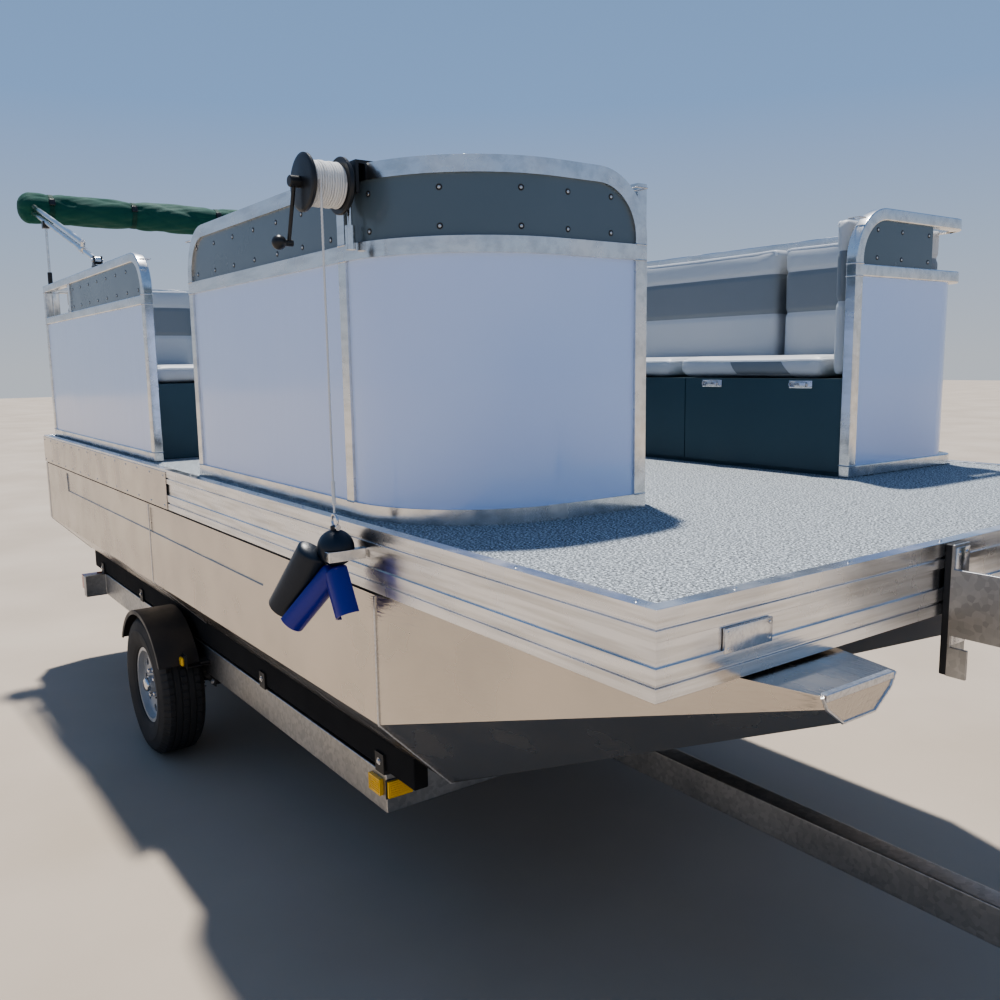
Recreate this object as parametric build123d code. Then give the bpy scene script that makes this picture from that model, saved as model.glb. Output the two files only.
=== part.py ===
from build123d import *
import math
import os

# A pontoon boat standing on its trailer. Lengths are in millimetres.
# +X points to the bow, +Y to port, +Z up. The origin is on the ground, under the middle of the
# tongue jack's foot, in the boat's middle plane.

# Stack of heights, from the ground up
TYRE_OD = 610.0
SPRING_STACK = 90.0          # wheel centre to the underside of the trailer's frame
FRAME_DEPTH = 120.0          # height of the trailer's side rails
BUNK_GAP = 10.0              # rail to bunk board
BUNK_DEPTH = 95.0
HULL_DEPTH = 526.0           # height of a pontoon
GASKET = 6.0                 # black strip between pontoon and deck rail
RAIL_DEPTH = 148.0           # height of the deck's edge rail

AXLE_Z = TYRE_OD / 2
FRAME_Z0 = AXLE_Z + SPRING_STACK
FRAME_Z1 = FRAME_Z0 + FRAME_DEPTH
BUNK_Z0 = FRAME_Z1 + BUNK_GAP
HULL_Z0 = BUNK_Z0 + BUNK_DEPTH
HULL_Z1 = HULL_Z0 + HULL_DEPTH
RAIL_Z0 = HULL_Z1 + GASKET
DECK_TOP = RAIL_Z0 + RAIL_DEPTH

# Plan of the deck
DECK_LENGTH = 4900.0
BEAM = 2310.0
BOW_X = -560.0               # bow edge of the deck, behind the tongue jack
DECK_SHEET = 22.0
RAIL_WEB = 10.0              # thickness of the edge rail's wall
RAIL_FLANGE = 40.0           # width of its lower flange
RAIL_FLANGE_T = 6.0
RAIL_LIP = 30.0              # width of the lip that laps over the deck sheet
RAIL_LIP_T = 3.0
# Grooves in the edge rail's outer face: distance below the deck top, height, depth
RAIL_GROOVES = ((26.0, 5.0, 4.0), (50.0, 42.0, 5.0), (119.0, 5.0, 4.0))
COVER_FROM = 2530.0          # the flat cover plate starts this far behind the bow edge
COVER_T = 3.0
COVER_TOP_GAP = 6.0          # below the deck top

# Cross channels under the deck
CHANNEL_COUNT = 12
CHANNEL_FLANGE = 50.0
CHANNEL_T = 6.0
CHANNEL_FIRST = 190.0        # the first channel's front, behind the bow edge
CHANNEL_LAST = 288.0         # the last channel's front, ahead of the stern edge
CHANNEL_FOOT = 80.0          # pads between the channels and the pontoons

# Pontoons: one section, tapered ahead of the knuckle to a small blunt nose
HULL_WIDTH = 694.0
SIDE_DEPTH = 321.0           # height of the upright side, above the 45 degree chine
FLAT_BOTTOM = 294.0
KNUCKLE = 915.0              # behind the bow edge
NOSE_AHEAD = 127.0           # ahead of the bow edge
NOSE_OFFSET = 245.0          # nose's outer corner, inboard of the hull's side
NOSE_TOP_W = 206.0
NOSE_MID_W = 180.0
NOSE_LOW_W = 90.0
NOSE_MID_DROP = 25.0         # below the hull's top
NOSE_DEPTH = 58.0
PANEL_FROM = 1600.0          # the pressed-in panel in each side, behind the bow edge
PANEL_TO = DECK_LENGTH - 550.0
PANEL_TOP = 14.0             # below the hull's top
PANEL_HEIGHT = 98.0
PANEL_DEPTH = 5.0
PANEL_SLOPE = 12.0

# Fences: square tubes with a white lower skin and a dark upper skin
TUBE = 38.0
FENCE_HEIGHT = 840.0
MID_RAIL_TOP = 665.0
FENCE_INSET = 55.0           # fence's outer face, in from the deck's side
FENCE_FRONT = 741.0          # bow fence's front face, behind the bow edge
STERN_INSET = 30.0
CORNER_R = 366.0             # plan radius of the starboard bow corner
PORT_CORNER_R = 75.0         # plan radius of the port bow corner
PORT_SKIN_R = 143.0          # the white sheet's wider bend in that corner
DARK_SHORT = 221.0           # port dark sheets stop this far short of that corner
ARCH_R = 160.0               # rounded top corners at the fences' ends
SKIN_T = 6.0
SKIN_INSET = 7.0             # skin's outer face, in from the tube's outer face
BOW_POST_Y = 708.0           # gate side of the bow posts, in from the deck's side
SIDE_GATE_FRONT = 2300.0     # behind the bow edge
SIDE_GATE_REAR = 2865.0
PORT_POSTS = (SIDE_GATE_FRONT, DECK_LENGTH - 1340.0)
WINDOW_POST = DECK_LENGTH - 710.0    # the upper bay behind this post is open
TIGHT = 0.3                  # running gap between soft or turned pieces

# Gates
LEAF_TUBE = 32.0
HINGE_OFF = 10.0             # hinge line, inboard of the fence's inner face
HINGE_SIDE = 6.0             # hinge line, out from the post's face
HINGE_D = 14.0
HINGE_PIN_D = 7.0
LEAF_START = 6.0             # first tube, past the hinge line
LEAF_END_GAP = 12.0
LEAF_Z0 = 45.0               # above the deck
LEAF_Z1 = 825.0
KNUCKLE_H = 60.0
KNUCKLE_ZS = (120.0, 420.0, 720.0)

# Seats, heights above the deck
SEAT_BASE_H = 312.0
CUSHION_T = 78.0
BACK_TOP = 818.0
BACK_T = 125.0
SEAT_WALL_GAP = 4.0          # seat to the fence's inner face
SEAT_ROUND = 16.0            # rounded edges of the cushions
TOE_H = 14.0                 # recess along the foot of a seat base
TOE_IN = 12.0
SEAM = 6.0                   # gap between neighbouring cushions
BASE_SEAM_W = 4.0            # joint between the panels of a seat base
BASE_SEAM_D = 4.0
BENCH_FRONT = FENCE_FRONT + TUBE + SEAT_WALL_GAP
BENCH_REAR = DECK_LENGTH - 1840.0
BENCH_DEPTH = 603.0
BENCH_OVERHANG = 8.0
BENCH_SEAT_SEAMS = (1505.0, 2283.0)      # behind the bow edge
BENCH_BACK_SEAMS = (1404.0, 2232.0)
BENCH_BASE_SEAMS = (1445.0, 2255.0)
END_BACK_T = 60.0
END_BACK_ROUND = 28.0
LOUNGE_FRONT = SIDE_GATE_REAR + 85.0
LOUNGE_BACK_FROM = DECK_LENGTH - 460.0
LOUNGE_REAR = DECK_LENGTH - 160.0
LOUNGE_SEAM = 0.5            # share of the seat's length ahead of its seam
LOUNGE_DEPTH = 660.0
LOUNGE_OVERHANG = 14.0

# Helm
CONSOLE_FRONT = 965.0        # behind the bow edge
CONSOLE_LEAN = 45.0          # the front leans back by this much
CONSOLE_REAR = 1335.0
CONSOLE_Y0 = 170.0           # in from the deck's starboard side
CONSOLE_Y1 = 690.0
CONSOLE_H = 770.0
CONSOLE_DASH_H = 560.0       # foot of the sloping dash
CONSOLE_DASH_RUN = 110.0     # the dash's length in plan
CONSOLE_WALL = 18.0
CONSOLE_ROUND = 14.0
KNEE_DROP = 120.0            # footwell's top, below the foot of the dash
SCREEN_H = 95.0
SCREEN_T = 6.0
SCREEN_BEND = 900.0          # plan radius of the screen
SCREEN_INSET = 30.0
WHEEL_Y = 430.0
WHEEL_D = 330.0
WHEEL_RIM_D = 24.0
WHEEL_STAND = 110.0          # dash to the wheel's middle
WHEEL_HUB_D = 46.0
WHEEL_CAP = 14.0             # hub, proud of the wheel's middle
WHEEL_SPOKE_D = 14.0
SPOKE_TURNS = (90, 210, 330)
BOSS_L = 24.0                # steering boss on the dash
THROTTLE_W = 44.0            # control box on the console's side
THROTTLE_L = 90.0
THROTTLE_H = 110.0
THROTTLE_TOP = 700.0
LEVER_D = 14.0
LEVER_L = 130.0
KNOB_D = 34.0
CHAIR_X = 1935.0
CHAIR_Y = 470.0
CHAIR_BASE_D = 240.0
CHAIR_BASE_T = 12.0
CHAIR_CONE_D = 130.0
CHAIR_CONE_H = 45.0
CHAIR_POST_D = 73.0
CHAIR_POST_H = 280.0
CHAIR_W = 430.0
CHAIR_DEPTH = 420.0
CHAIR_PAN_T = 20.0
CHAIR_PAN_ROUND = 60.0
CHAIR_CUSHION_T = 85.0
CHAIR_BACK_T = 68.0
CHAIR_BACK_W = 400.0
CHAIR_BACK_TOP = 860.0
CHAIR_BACK_BEHIND = 50.0     # back shell, behind the pan
CHAIR_SHELL_T = 12.0
CHAIR_SHELL_W = 240.0
CHAIR_SHELL_DROP = 150.0     # shell's top, below the back's top

# Canopy frame, folded and lying aft in its boot
BIMINI_X = DECK_LENGTH - 1258.0          # pivots, behind the bow edge
BIMINI_PIVOT_H = 28.0        # above the fence
BIMINI_LEG = 1560.0
BIMINI_RISE = 15.8           # degrees above the level, pointing aft
BIMINI_TUBE = 25.0
BOW_GAP = 36.0               # second bow, above the first
BOW_BEND = 80.0              # radius of the bows' corners
BOW_HINGE = 275.0            # second bow's hinge, from the pivot
JAW_D = 35.0
JAW_L = 60.0
LINK_D = 22.0
EYE_L = 26.0
EYE_D = 34.0
PIVOT_D = 8.0
CHEEK_T = 6.0
CHEEK_W = 36.0
BOOT_D = 190.0
BOOT_BACK = 20.0             # boot's middle, short of the bows' ends
BOOT_OUT = 72.0              # boot's end, outboard of the legs
BOOT_ROUND = 60.0
STRUT_X = DECK_LENGTH - 160.0
STRUT_D = 14.0
STRUT_POST_H = 66.0          # thicker foot of the strut
STRUT_POST_D = 24.0
SADDLE_L = 40.0

# Anchor gear on the starboard bow fence
REEL_X = 1050.0
REEL_DROP = 50.0             # reel's middle, below the fence's top
REEL_Y0 = -80.0              # outer face, in from the deck's side
REEL_Y1 = 30.0
REEL_FLANGE_D = 130.0
REEL_FLANGE_T = 14.0
REEL_FLANGE_LIP = 6.0
REEL_ROPE_D = 106.0
REEL_HUB_D = 44.0
REEL_AXLE_D = 16.0
CRANK_DROP = 130.0
CRANK_BACK = 45.0
CRANK_ARM_D = 9.0
CRANK_CAP_D = 26.0
CRANK_CAP_L = 26.0
CRANK_NECK_D = 16.0
CRANK_NECK_L = 24.0
CRANK_KNOB_D = 34.0
STEM_D = 12.0
STEM_DROP = 165.0            # stem's foot, below the fence's top
SOCKET_D = 24.0
SOCKET_H = 55.0
CLAMP_L = 60.0
CLAMP_T = 8.0
ROPE_D = 6.0
ROPE_Y = -55.0
DAVIT_X = 960.0
DAVIT_TUBE = 25.0
DAVIT_REACH = 95.0
DAVIT_DROP = 60.0
ANCHOR_TOP = 18.0            # shackle, above the deck
ANCHOR_SHANK_D = 20.0
ANCHOR_EYE_D = 36.0
ANCHOR_WIRE = 8.0
ANCHOR_DOME_D = 88.0
ANCHOR_DOME_DROP = 47.0      # dome's middle, below the deck
ANCHOR_ROOT_DROP = 92.0      # foot of the shank, below the deck
# Half-pipe flukes: radius, wall, length, root from the shank's foot, way it points, its open side
FLUKES = (
    (42.0, 5.0, 196.0, (-28.0, -34.0, 48.0), (-0.526, -0.230, -0.819), (-0.80, 0.58, -0.15)),
    (33.0, 4.0, 185.0, (0.0, 0.0, 0.0), (-0.496, -0.455, -0.781), (-0.946, -0.030, 0.290)),
    (34.0, 4.0, 122.0, (0.0, 0.0, 0.0), (0.487, 0.014, -0.907), (-0.301, 0.804, 0.043)),
)

# Trailer
RAIL_Y = 200.0               # side rail's outer face, in from the deck's side
FRAME_T = 50.0
FRAME_FRONT = 1260.0         # front cross tube's front face, behind the bow edge
FRAME_REAR = DECK_LENGTH - 300.0
CROSS_XS = (FRAME_FRONT, 2150.0, DECK_LENGTH - 1150.0, FRAME_REAR - FRAME_T)
REAR_CROSS_Y = 90.0          # the rear cross tube reaches out past the side rails
BUNK_T = 45.0
BUNK_FRONT = 1100.0
BUNK_REAR = DECK_LENGTH - 120.0
BUNK_CHEEK_T = 8.0
BUNK_CHEEK_H = 50.0
AXLE_X = DECK_LENGTH - 1800.0
AXLE_TUBE = 50.0
AXLE_PAST = 30.0             # axle tube's end, inboard of the tyre
SPINDLE_D = 30.0
SPINDLE_IN = 50.0            # spindle's end, in from the tyre's outer face
LEAF_W = 44.0
LEAF_T = 8.0
LEAF_HALVES = (335.0, 235.0, 140.0)      # half lengths, from the longest
LEAF_RISE = 22.0             # ends of the longest leaf, above its middle
EYE_OD = 28.0
HANGER_T = 5.0
U_BOLT_D = 12.0
U_BOLT_HALF = 34.0
U_PLATE_T = 8.0
TYRE_W = 175.0
TYRE_Y = 10.0                # tyre's outer face, in from the deck's side
TYRE_BULGE = 9.0
TYRE_SHOULDER = 24.0
TREAD_DROP = 5.0             # tread's edge, inside its crown
RIM_D = 330.0
RIM_LIP = 15.0
RIM_SINK = 14.0              # rim's edges, inside the tyre's faces
DISC_SINK = 40.0             # wheel disc, inside the outer face
DISC_T = 12.0
HUB_D = 74.0
HUB_PROUD = 22.0
VENT_COUNT = 8
VENT_D = 34.0
VENT_R = 112.0
FENDER_GAP = 22.0
FENDER_T = 5.0
FENDER_OUT = -2.0            # fender's outer edge, in from the deck's side
FENDER_IN = 165.0
FENDER_LIP = 14.0
FENDER_FOOT = AXLE_Z + 150.0
STAY_HALF = 30.0
STAY_T = 8.0
LAMP_H = 50.0
LAMP_TOP = 20.0              # below the frame's top
AMBER_L = 80.0
AMBER_T = 12.0
SIDE_LAMP_L = 70.0
RED_L = 150.0
RED_T = 40.0
RED_H = 80.0
TONGUE_W = 70.0
TONGUE_H = 100.0
TONGUE_AHEAD = 640.0         # coupler end, ahead of the jack

# Winch stand, with the stops that the bow rests against
WINCH_POST_X = 210.0         # ahead of the bow edge
POST_W = 60.0
POST_FOOT_L = 180.0
POST_FOOT_T = 10.0
STOP_BAR_DROP = 120.0        # crossbar's middle, below the deck
STOP_Y = 830.0               # stops' outer side, in from the deck's side
STOP_H = 276.0
STOP_W = 60.0
STOP_PLATE_T = 6.0
STOP_RUBBER = 14.0
STOP_WEB_T = 8.0
STOP_WEB_H = 140.0
STOP_TAB = 42.0
STOP_TAB_H = 62.0
DRUM_D = 60.0
DRUM_W = 86.0
DRUM_FLANGE_D = 104.0
DRUM_FLANGE_T = 4.0
DRUM_LIFT = 64.0             # drum's middle, above the crossbar
WINCH_SIDE_T = 6.0
GEAR_D = 118.0
GEAR_T = 10.0
HANDLE_L = 190.0
HANDLE_D = 22.0
HANDLE_T = 8.0
GRIP_D = 26.0
GRIP_L = 90.0
STRAP_W = 50.0
STRAP_T = 3.0
BOW_EYE_W = 60.0
BOW_EYE_T = 6.0
HOOK_W = 12.0
HOOK_L = 26.0

# Tongue jack and coupler
JACK_PAD_D = 150.0
JACK_PAD_T = 8.0
JACK_PAD_RIM = 22.0
JACK_LEG_D = 45.0
JACK_SLEEVE_D = 57.0
JACK_TOP = 330.0             # sleeve's top, above the tongue
JACK_CAP_H = 26.0
JACK_ARM = 150.0
JACK_GRIP_L = 95.0
BALL_R = 25.8
BALL_DEPTH = 36.0
COUPLER_WALL = 6.0
COUPLER_LAP = 120.0          # coupler's sleeve, over the tongue
COUPLER_HEAD_D = 92.0
COUPLER_AHEAD = 60.0         # ball socket, ahead of the tongue's end
LATCH_L = 105.0
LATCH_W = 22.0

# Outboard mount between the pontoons
POD_HALF = 300.0
POD_T = 45.0
POD_BOTTOM = 140.0           # above the pontoons' bottom
POD_WEB_T = 6.0
POD_WEB_L = 600.0
BOLT_D = 13.0
# Outboard bolt holes: half spacing, below the rail's foot
POD_BOLTS = ((163.5, 60.0), (125.5, 260.0))


def aft(distance):
    """X of a place this far behind the deck's bow edge."""
    return BOW_X - distance


def star(distance):
    """Y of a place this far in from the deck's starboard side."""
    return distance - BEAM / 2


def up(height):
    """Z of a place this far above the deck."""
    return DECK_TOP + height


def block(x0, x1, y0, y1, z0, z1):
    """Box between two corners."""
    middle = Pos((x0 + x1) / 2, (y0 + y1) / 2, (z0 + z1) / 2)
    return middle * Box(abs(x1 - x0), abs(y1 - y0), abs(z1 - z0))


def rod(start, end, diameter):
    """Round bar between two points."""
    line = Vector(*end) - Vector(*start)
    return Solid.make_cylinder(diameter / 2, line.length, Plane(start, z_dir=line))


def prism_y(points, y0, y1):
    """Plate cut to an outline of (x, z) points, from y0 to y1."""
    outline = Polyline(*[(x, y0, z) for x, z in points], close=True)
    return extrude(make_face(outline), amount=y1 - y0, dir=(0, 1, 0))


def pad(x0, x1, y0, y1, z0, z1, radius):
    """Cushion: a box with its upright and top edges rounded."""
    body = block(x0, x1, y0, y1, z0, z1)
    edges = body.edges().filter_by(Axis.Z) + body.edges().group_by(Axis.Z)[-1]
    return fillet(edges, radius)


def mirrored(shape):
    """The same piece on the other side of the boat."""
    return mirror(shape, about=Plane.XZ)


def save(node, *shapes):
    """Write one node; its solids are those of the given shapes."""
    solids = [solid for shape in shapes for solid in shape.solids()]
    body = solids[0] if len(solids) == 1 else Compound(solids)
    export_step(body, os.path.join("parts", node + ".step"))


def deck_ring(inset0, inset1, z0, z1):
    """Ring that follows the deck's edge, between two insets."""
    def plate(inset, low, high):
        return block(aft(inset), aft(DECK_LENGTH - inset), star(inset), -star(inset), low, high)
    return plate(inset0, z0, z1) - plate(inset1, z0 - 1, z1 + 1)


def build_pontoons():
    """Two chined pontoons with flat-faceted bows."""
    chine = (HULL_WIDTH - FLAT_BOTTOM) / 2

    def section(x, offset, width, mid_offset, mid_width, low_offset, low_width, mid_z, low_z):
        left = ((offset, HULL_Z1), (mid_offset, mid_z), (low_offset, low_z))
        right = (
            (low_offset + low_width, low_z),
            (mid_offset + mid_width, mid_z),
            (offset + width, HULL_Z1),
        )
        points = [(x, star(y), z) for y, z in left + right]
        return Wire.make_polygon(points, close=True)

    full = (0, HULL_WIDTH, 0, HULL_WIDTH, chine, FLAT_BOTTOM, HULL_Z1 - SIDE_DEPTH, HULL_Z0)
    nose_mid = NOSE_OFFSET + (NOSE_TOP_W - NOSE_MID_W) / 2
    nose_low = NOSE_OFFSET + (NOSE_TOP_W - NOSE_LOW_W) / 2
    nose = (
        NOSE_OFFSET, NOSE_TOP_W, nose_mid, NOSE_MID_W, nose_low, NOSE_LOW_W,
        HULL_Z1 - NOSE_MID_DROP, HULL_Z1 - NOSE_DEPTH,
    )
    body = Solid.make_loft([section(aft(DECK_LENGTH), *full), section(aft(KNUCKLE), *full)], ruled=True)
    bow = Solid.make_loft([section(aft(KNUCKLE), *full), section(aft(-NOSE_AHEAD), *nose)], ruled=True)
    hull = Part() + body + bow
    top = HULL_Z1 - PANEL_TOP
    low = top - PANEL_HEIGHT
    pressed = (
        (aft(PANEL_FROM), top),
        (aft(PANEL_FROM + PANEL_SLOPE), low),
        (aft(PANEL_TO - PANEL_SLOPE), low),
        (aft(PANEL_TO), top),
    )
    for side in (star(0), star(HULL_WIDTH)):
        hull = hull - prism_y(pressed, side - PANEL_DEPTH, side + PANEL_DEPTH)
    save("pontoon_starboard", hull)
    save("pontoon_port", mirrored(hull))
    strip = block(aft(20), aft(DECK_LENGTH - 20), star(4), star(RAIL_FLANGE), HULL_Z1, RAIL_Z0)
    strip = strip & block(aft(KNUCKLE - 60), aft(DECK_LENGTH), star(0), star(100), HULL_Z1, RAIL_Z0)
    save("hull_gaskets", strip, mirrored(strip))


def build_deck():
    """Cross channels, deck sheet, ribbed edge rail and its cover plates."""
    sheet_z = DECK_TOP - DECK_SHEET
    channels = []
    reach = BEAM / 2 - RAIL_WEB
    floor = RAIL_Z0 + RAIL_FLANGE_T
    pitch = (DECK_LENGTH - CHANNEL_FIRST - CHANNEL_LAST) / (CHANNEL_COUNT - 1)
    for index in range(CHANNEL_COUNT):
        x = aft(CHANNEL_FIRST + index * pitch)
        piece = block(x, x + CHANNEL_FLANGE, -reach, reach, floor, sheet_z)
        piece = piece - block(
            x + CHANNEL_T, x + CHANNEL_FLANGE + 1, -reach - 1, reach + 1,
            floor + CHANNEL_T, sheet_z - CHANNEL_T,
        )
        if x < aft(KNUCKLE):
            for share in (1 / 3, 2 / 3):
                for side in (-1, 1):
                    middle = side * (BEAM / 2 - share * HULL_WIDTH)
                    y0 = middle - CHANNEL_FOOT / 2
                    piece = piece + block(x, x + CHANNEL_FLANGE, y0, y0 + CHANNEL_FOOT, HULL_Z1, floor)
        channels.append(piece)
    save("deck_channels", *channels)
    save(
        "deck_sheet",
        block(
            aft(RAIL_WEB), aft(DECK_LENGTH - RAIL_WEB), star(RAIL_WEB), -star(RAIL_WEB),
            sheet_z, DECK_TOP,
        ),
    )
    rail = deck_ring(0, RAIL_WEB, RAIL_Z0, DECK_TOP + RAIL_LIP_T)
    rail = rail + deck_ring(0, RAIL_LIP, DECK_TOP, DECK_TOP + RAIL_LIP_T)
    rail = rail + deck_ring(0, RAIL_FLANGE, RAIL_Z0, floor)
    for drop, height, depth in RAIL_GROOVES:
        rail = rail - deck_ring(-1, depth, up(-drop - height), up(-drop))
    save("deck_rail", rail)
    cover = block(
        aft(COVER_FROM), aft(DECK_LENGTH), star(-COVER_T), star(0), RAIL_Z0, up(-COVER_TOP_GAP)
    )
    save("rail_covers", cover, mirrored(cover))


def corner_wall(bend, x_rear, y_end, t0, t1, z0, z1):
    """Wall along the side, round the bow corner and across the front, t0 to t1 inside the outer face."""
    side = star(FENCE_INSET)
    front = aft(FENCE_FRONT)
    cx = front - bend
    cy = side + bend
    half = math.sqrt(0.5)

    def arc(radius):
        return (cx, cy - radius), (cx + radius * half, cy - radius * half), (cx + radius, cy)

    a0, a1, a2 = arc(bend - t0)
    b0, b1, b2 = arc(bend - t1)
    edges = [
        ThreePointArc(a0, a1, a2),
        Line(a2, (front - t0, y_end)),
        Line((front - t0, y_end), (front - t1, y_end)),
        Line((front - t1, y_end), b2),
        ThreePointArc(b2, b1, b0),
    ]
    if x_rear < cx:
        edges.append(Line(b0, (x_rear, side + t1)))
        edges.append(Line((x_rear, side + t1), (x_rear, side + t0)))
        edges.append(Line((x_rear, side + t0), a0))
    else:
        edges.append(Line(b0, a0))
    return Pos(0, 0, z0) * extrude(make_face(edges), amount=z1 - z0, dir=(0, 0, 1))


def corner_waste(radius):
    """What a rounded top corner loses: local X outwards, Z up, the arc's centre at the origin."""
    square = Pos(radius / 2 + 1, 0, radius / 2 + 1) * Box(radius + 2, 4 * TUBE, radius + 2)
    return square - Rot(X=90) * Cylinder(radius, 6 * TUBE)


def arch_piece():
    """Quarter bend of square tube that joins a top rail to its end post."""
    ring = Rot(X=90) * (Cylinder(ARCH_R, TUBE) - Cylinder(ARCH_R - TUBE, TUBE + 2))
    return ring & (Pos(ARCH_R / 2, 0, ARCH_R / 2) * Box(ARCH_R, 2 * TUBE, ARCH_R))


def rear_arch(x_rear):
    """Place of an arch at a side fence's rear end, whose end post ends at x_rear."""
    return Pos(x_rear + ARCH_R, star(FENCE_INSET + TUBE / 2), up(FENCE_HEIGHT - ARCH_R)) * Rot(Z=180)


def front_arch(x_front):
    """Place of an arch at a side fence's front end."""
    return Pos(x_front - ARCH_R, star(FENCE_INSET + TUBE / 2), up(FENCE_HEIGHT - ARCH_R))


def bow_arch():
    """Place of the arch beside the bow gate."""
    x = aft(FENCE_FRONT + TUBE / 2)
    return Pos(x, star(BOW_POST_Y - ARCH_R), up(FENCE_HEIGHT - ARCH_R)) * Rot(Z=90)


def bow_fence(rear, rounded, posts, bend, skin_bend):
    """Frame, white skins and dark skins of one bow fence, drawn for the starboard side."""
    x_rear = aft(rear)
    y_end = star(BOW_POST_Y)
    top = up(FENCE_HEIGHT)
    side_in = star(FENCE_INSET + TUBE)
    corner_post = aft(FENCE_FRONT + CORNER_R)
    rear_cut = ARCH_R if rounded else 0.0
    frame = corner_wall(bend, x_rear, y_end, 0, TUBE, up(0), up(TUBE))
    frame = frame + corner_wall(bend, x_rear, y_end, 0, TUBE, up(MID_RAIL_TOP - TUBE), up(MID_RAIL_TOP))
    frame = frame + corner_wall(bend, x_rear + rear_cut, y_end - ARCH_R, 0, TUBE, top - TUBE, top)
    front = aft(FENCE_FRONT)
    post_top = top - ARCH_R
    frame = frame + block(front - TUBE, front, y_end - TUBE, y_end, up(0), post_top)
    frame = frame + bow_arch() * arch_piece()
    rear_top = post_top if rounded else top
    frame = frame + block(x_rear, x_rear + TUBE, side_in - TUBE, side_in, up(0), rear_top)
    if rounded:
        frame = frame + rear_arch(x_rear) * arch_piece()
    stations = sorted([aft(post) for post in posts] + [corner_post - TUBE])
    for x in stations:
        frame = frame + block(x, x + TUBE, side_in - TUBE, side_in, up(0), top)

    inside0 = SKIN_INSET
    inside1 = SKIN_INSET + SKIN_T
    waste = corner_waste(ARCH_R - TUBE)
    whites = []
    darks = []
    bays = []
    left = x_rear + TUBE
    for x in stations:
        bays.append((left, x))
        left = x + TUBE
    y0 = star(FENCE_INSET + inside0)
    y1 = star(FENCE_INSET + inside1)
    for x0, x1 in bays:
        whites.append(block(x0, x1, y0, y1, up(TUBE), up(MID_RAIL_TOP - TUBE)))
        dark = block(x0, x1, y0, y1, up(MID_RAIL_TOP), top - TUBE)
        if rounded and x0 == x_rear + TUBE:
            dark = dark - rear_arch(x_rear) * waste
        darks.append(dark)
    whites.append(
        corner_wall(skin_bend, left, y_end - TUBE, inside0, inside1, up(TUBE), up(MID_RAIL_TOP - TUBE))
    )
    if skin_bend == bend:
        dark = corner_wall(bend, left, y_end - TUBE, inside0, inside1, up(MID_RAIL_TOP), top - TUBE)
    else:
        darks.append(block(left, front - DARK_SHORT, y0, y1, up(MID_RAIL_TOP), top - TUBE))
        dark = block(
            front - inside1, front - inside0, star(FENCE_INSET + DARK_SHORT), y_end - TUBE,
            up(MID_RAIL_TOP), top - TUBE,
        )
    darks.append(dark - bow_arch() * waste)
    return frame, whites, darks


def rear_fence():
    """Starboard fence behind the side gate, with its open bay at the stern."""
    x0 = aft(DECK_LENGTH - STERN_INSET)
    x1 = aft(SIDE_GATE_REAR)
    y0 = star(FENCE_INSET)
    y1 = y0 + TUBE
    top = up(FENCE_HEIGHT)
    window = aft(WINDOW_POST)
    frame = block(x0, x1, y0, y1, up(0), up(TUBE))
    frame = frame + block(x0, x1, y0, y1, up(MID_RAIL_TOP - TUBE), up(MID_RAIL_TOP))
    frame = frame + block(x0, x1 - ARCH_R, y0, y1, top - TUBE, top)
    frame = frame + block(x0, x0 + TUBE, y0, y1, up(0), top)
    frame = frame + block(x1 - TUBE, x1, y0, y1, up(0), top - ARCH_R)
    frame = frame + front_arch(x1) * arch_piece()
    frame = frame + block(window - TUBE, window, y0, y1, up(MID_RAIL_TOP - 1), top - 1)
    s0 = y0 + SKIN_INSET
    s1 = s0 + SKIN_T
    white = block(x0 + TUBE, x1 - TUBE, s0, s1, up(TUBE), up(MID_RAIL_TOP - TUBE))
    dark = block(window, x1 - TUBE, s0, s1, up(MID_RAIL_TOP), top - TUBE)
    dark = dark - front_arch(x1) * corner_waste(ARCH_R - TUBE)
    return frame, [white], [dark]


def stern_fence():
    """Fence across the stern, open above its middle rail."""
    x0 = aft(DECK_LENGTH - STERN_INSET)
    x1 = x0 + TUBE
    y1 = BEAM / 2 - FENCE_INSET - TUBE
    top = up(FENCE_HEIGHT)
    frame = block(x0, x1, -y1, y1, up(0), up(TUBE))
    frame = frame + block(x0, x1, -y1, y1, up(MID_RAIL_TOP - TUBE), up(MID_RAIL_TOP))
    frame = frame + block(x0, x1, -y1, y1, top - TUBE, top)
    for y in (-y1, -TUBE / 2, y1 - TUBE):
        frame = frame + block(x0, x1, y, y + TUBE, up(0), top)
    whites = []
    for y0, y2 in ((-y1 + TUBE, -TUBE / 2), (TUBE / 2, y1 - TUBE)):
        whites.append(
            block(
                x0 + SKIN_INSET, x0 + SKIN_INSET + SKIN_T, y0, y2, up(TUBE), up(MID_RAIL_TOP - TUBE)
            )
        )
    return frame, whites


def build_fences():
    """All fences; the gates are made apart."""
    front_frame, whites, darks = bow_fence(SIDE_GATE_FRONT, True, (), CORNER_R, CORNER_R)
    port_frame, port_whites, port_darks = bow_fence(
        DECK_LENGTH - STERN_INSET, False, PORT_POSTS, PORT_CORNER_R, PORT_SKIN_R
    )
    rear_frame, rear_whites, rear_darks = rear_fence()
    stern_frame, stern_whites = stern_fence()
    for piece in gate_hinges():
        front_frame = front_frame + piece
    save("fence_starboard_front", front_frame)
    save("fence_starboard_rear", rear_frame)
    save("fence_port", mirrored(port_frame))
    save("fence_stern", stern_frame)
    port_whites = [mirrored(skin) for skin in port_whites]
    port_darks = [mirrored(skin) for skin in port_darks]
    save("fence_skins_white", *whites, *port_whites, *rear_whites, *stern_whites)
    save("fence_skins_dark", *darks, *port_darks, *rear_darks)


def bow_hinge():
    """Plan position of the bow gate's hinge line."""
    return aft(FENCE_FRONT + TUBE + HINGE_OFF), star(BOW_POST_Y + HINGE_SIDE)


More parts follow.
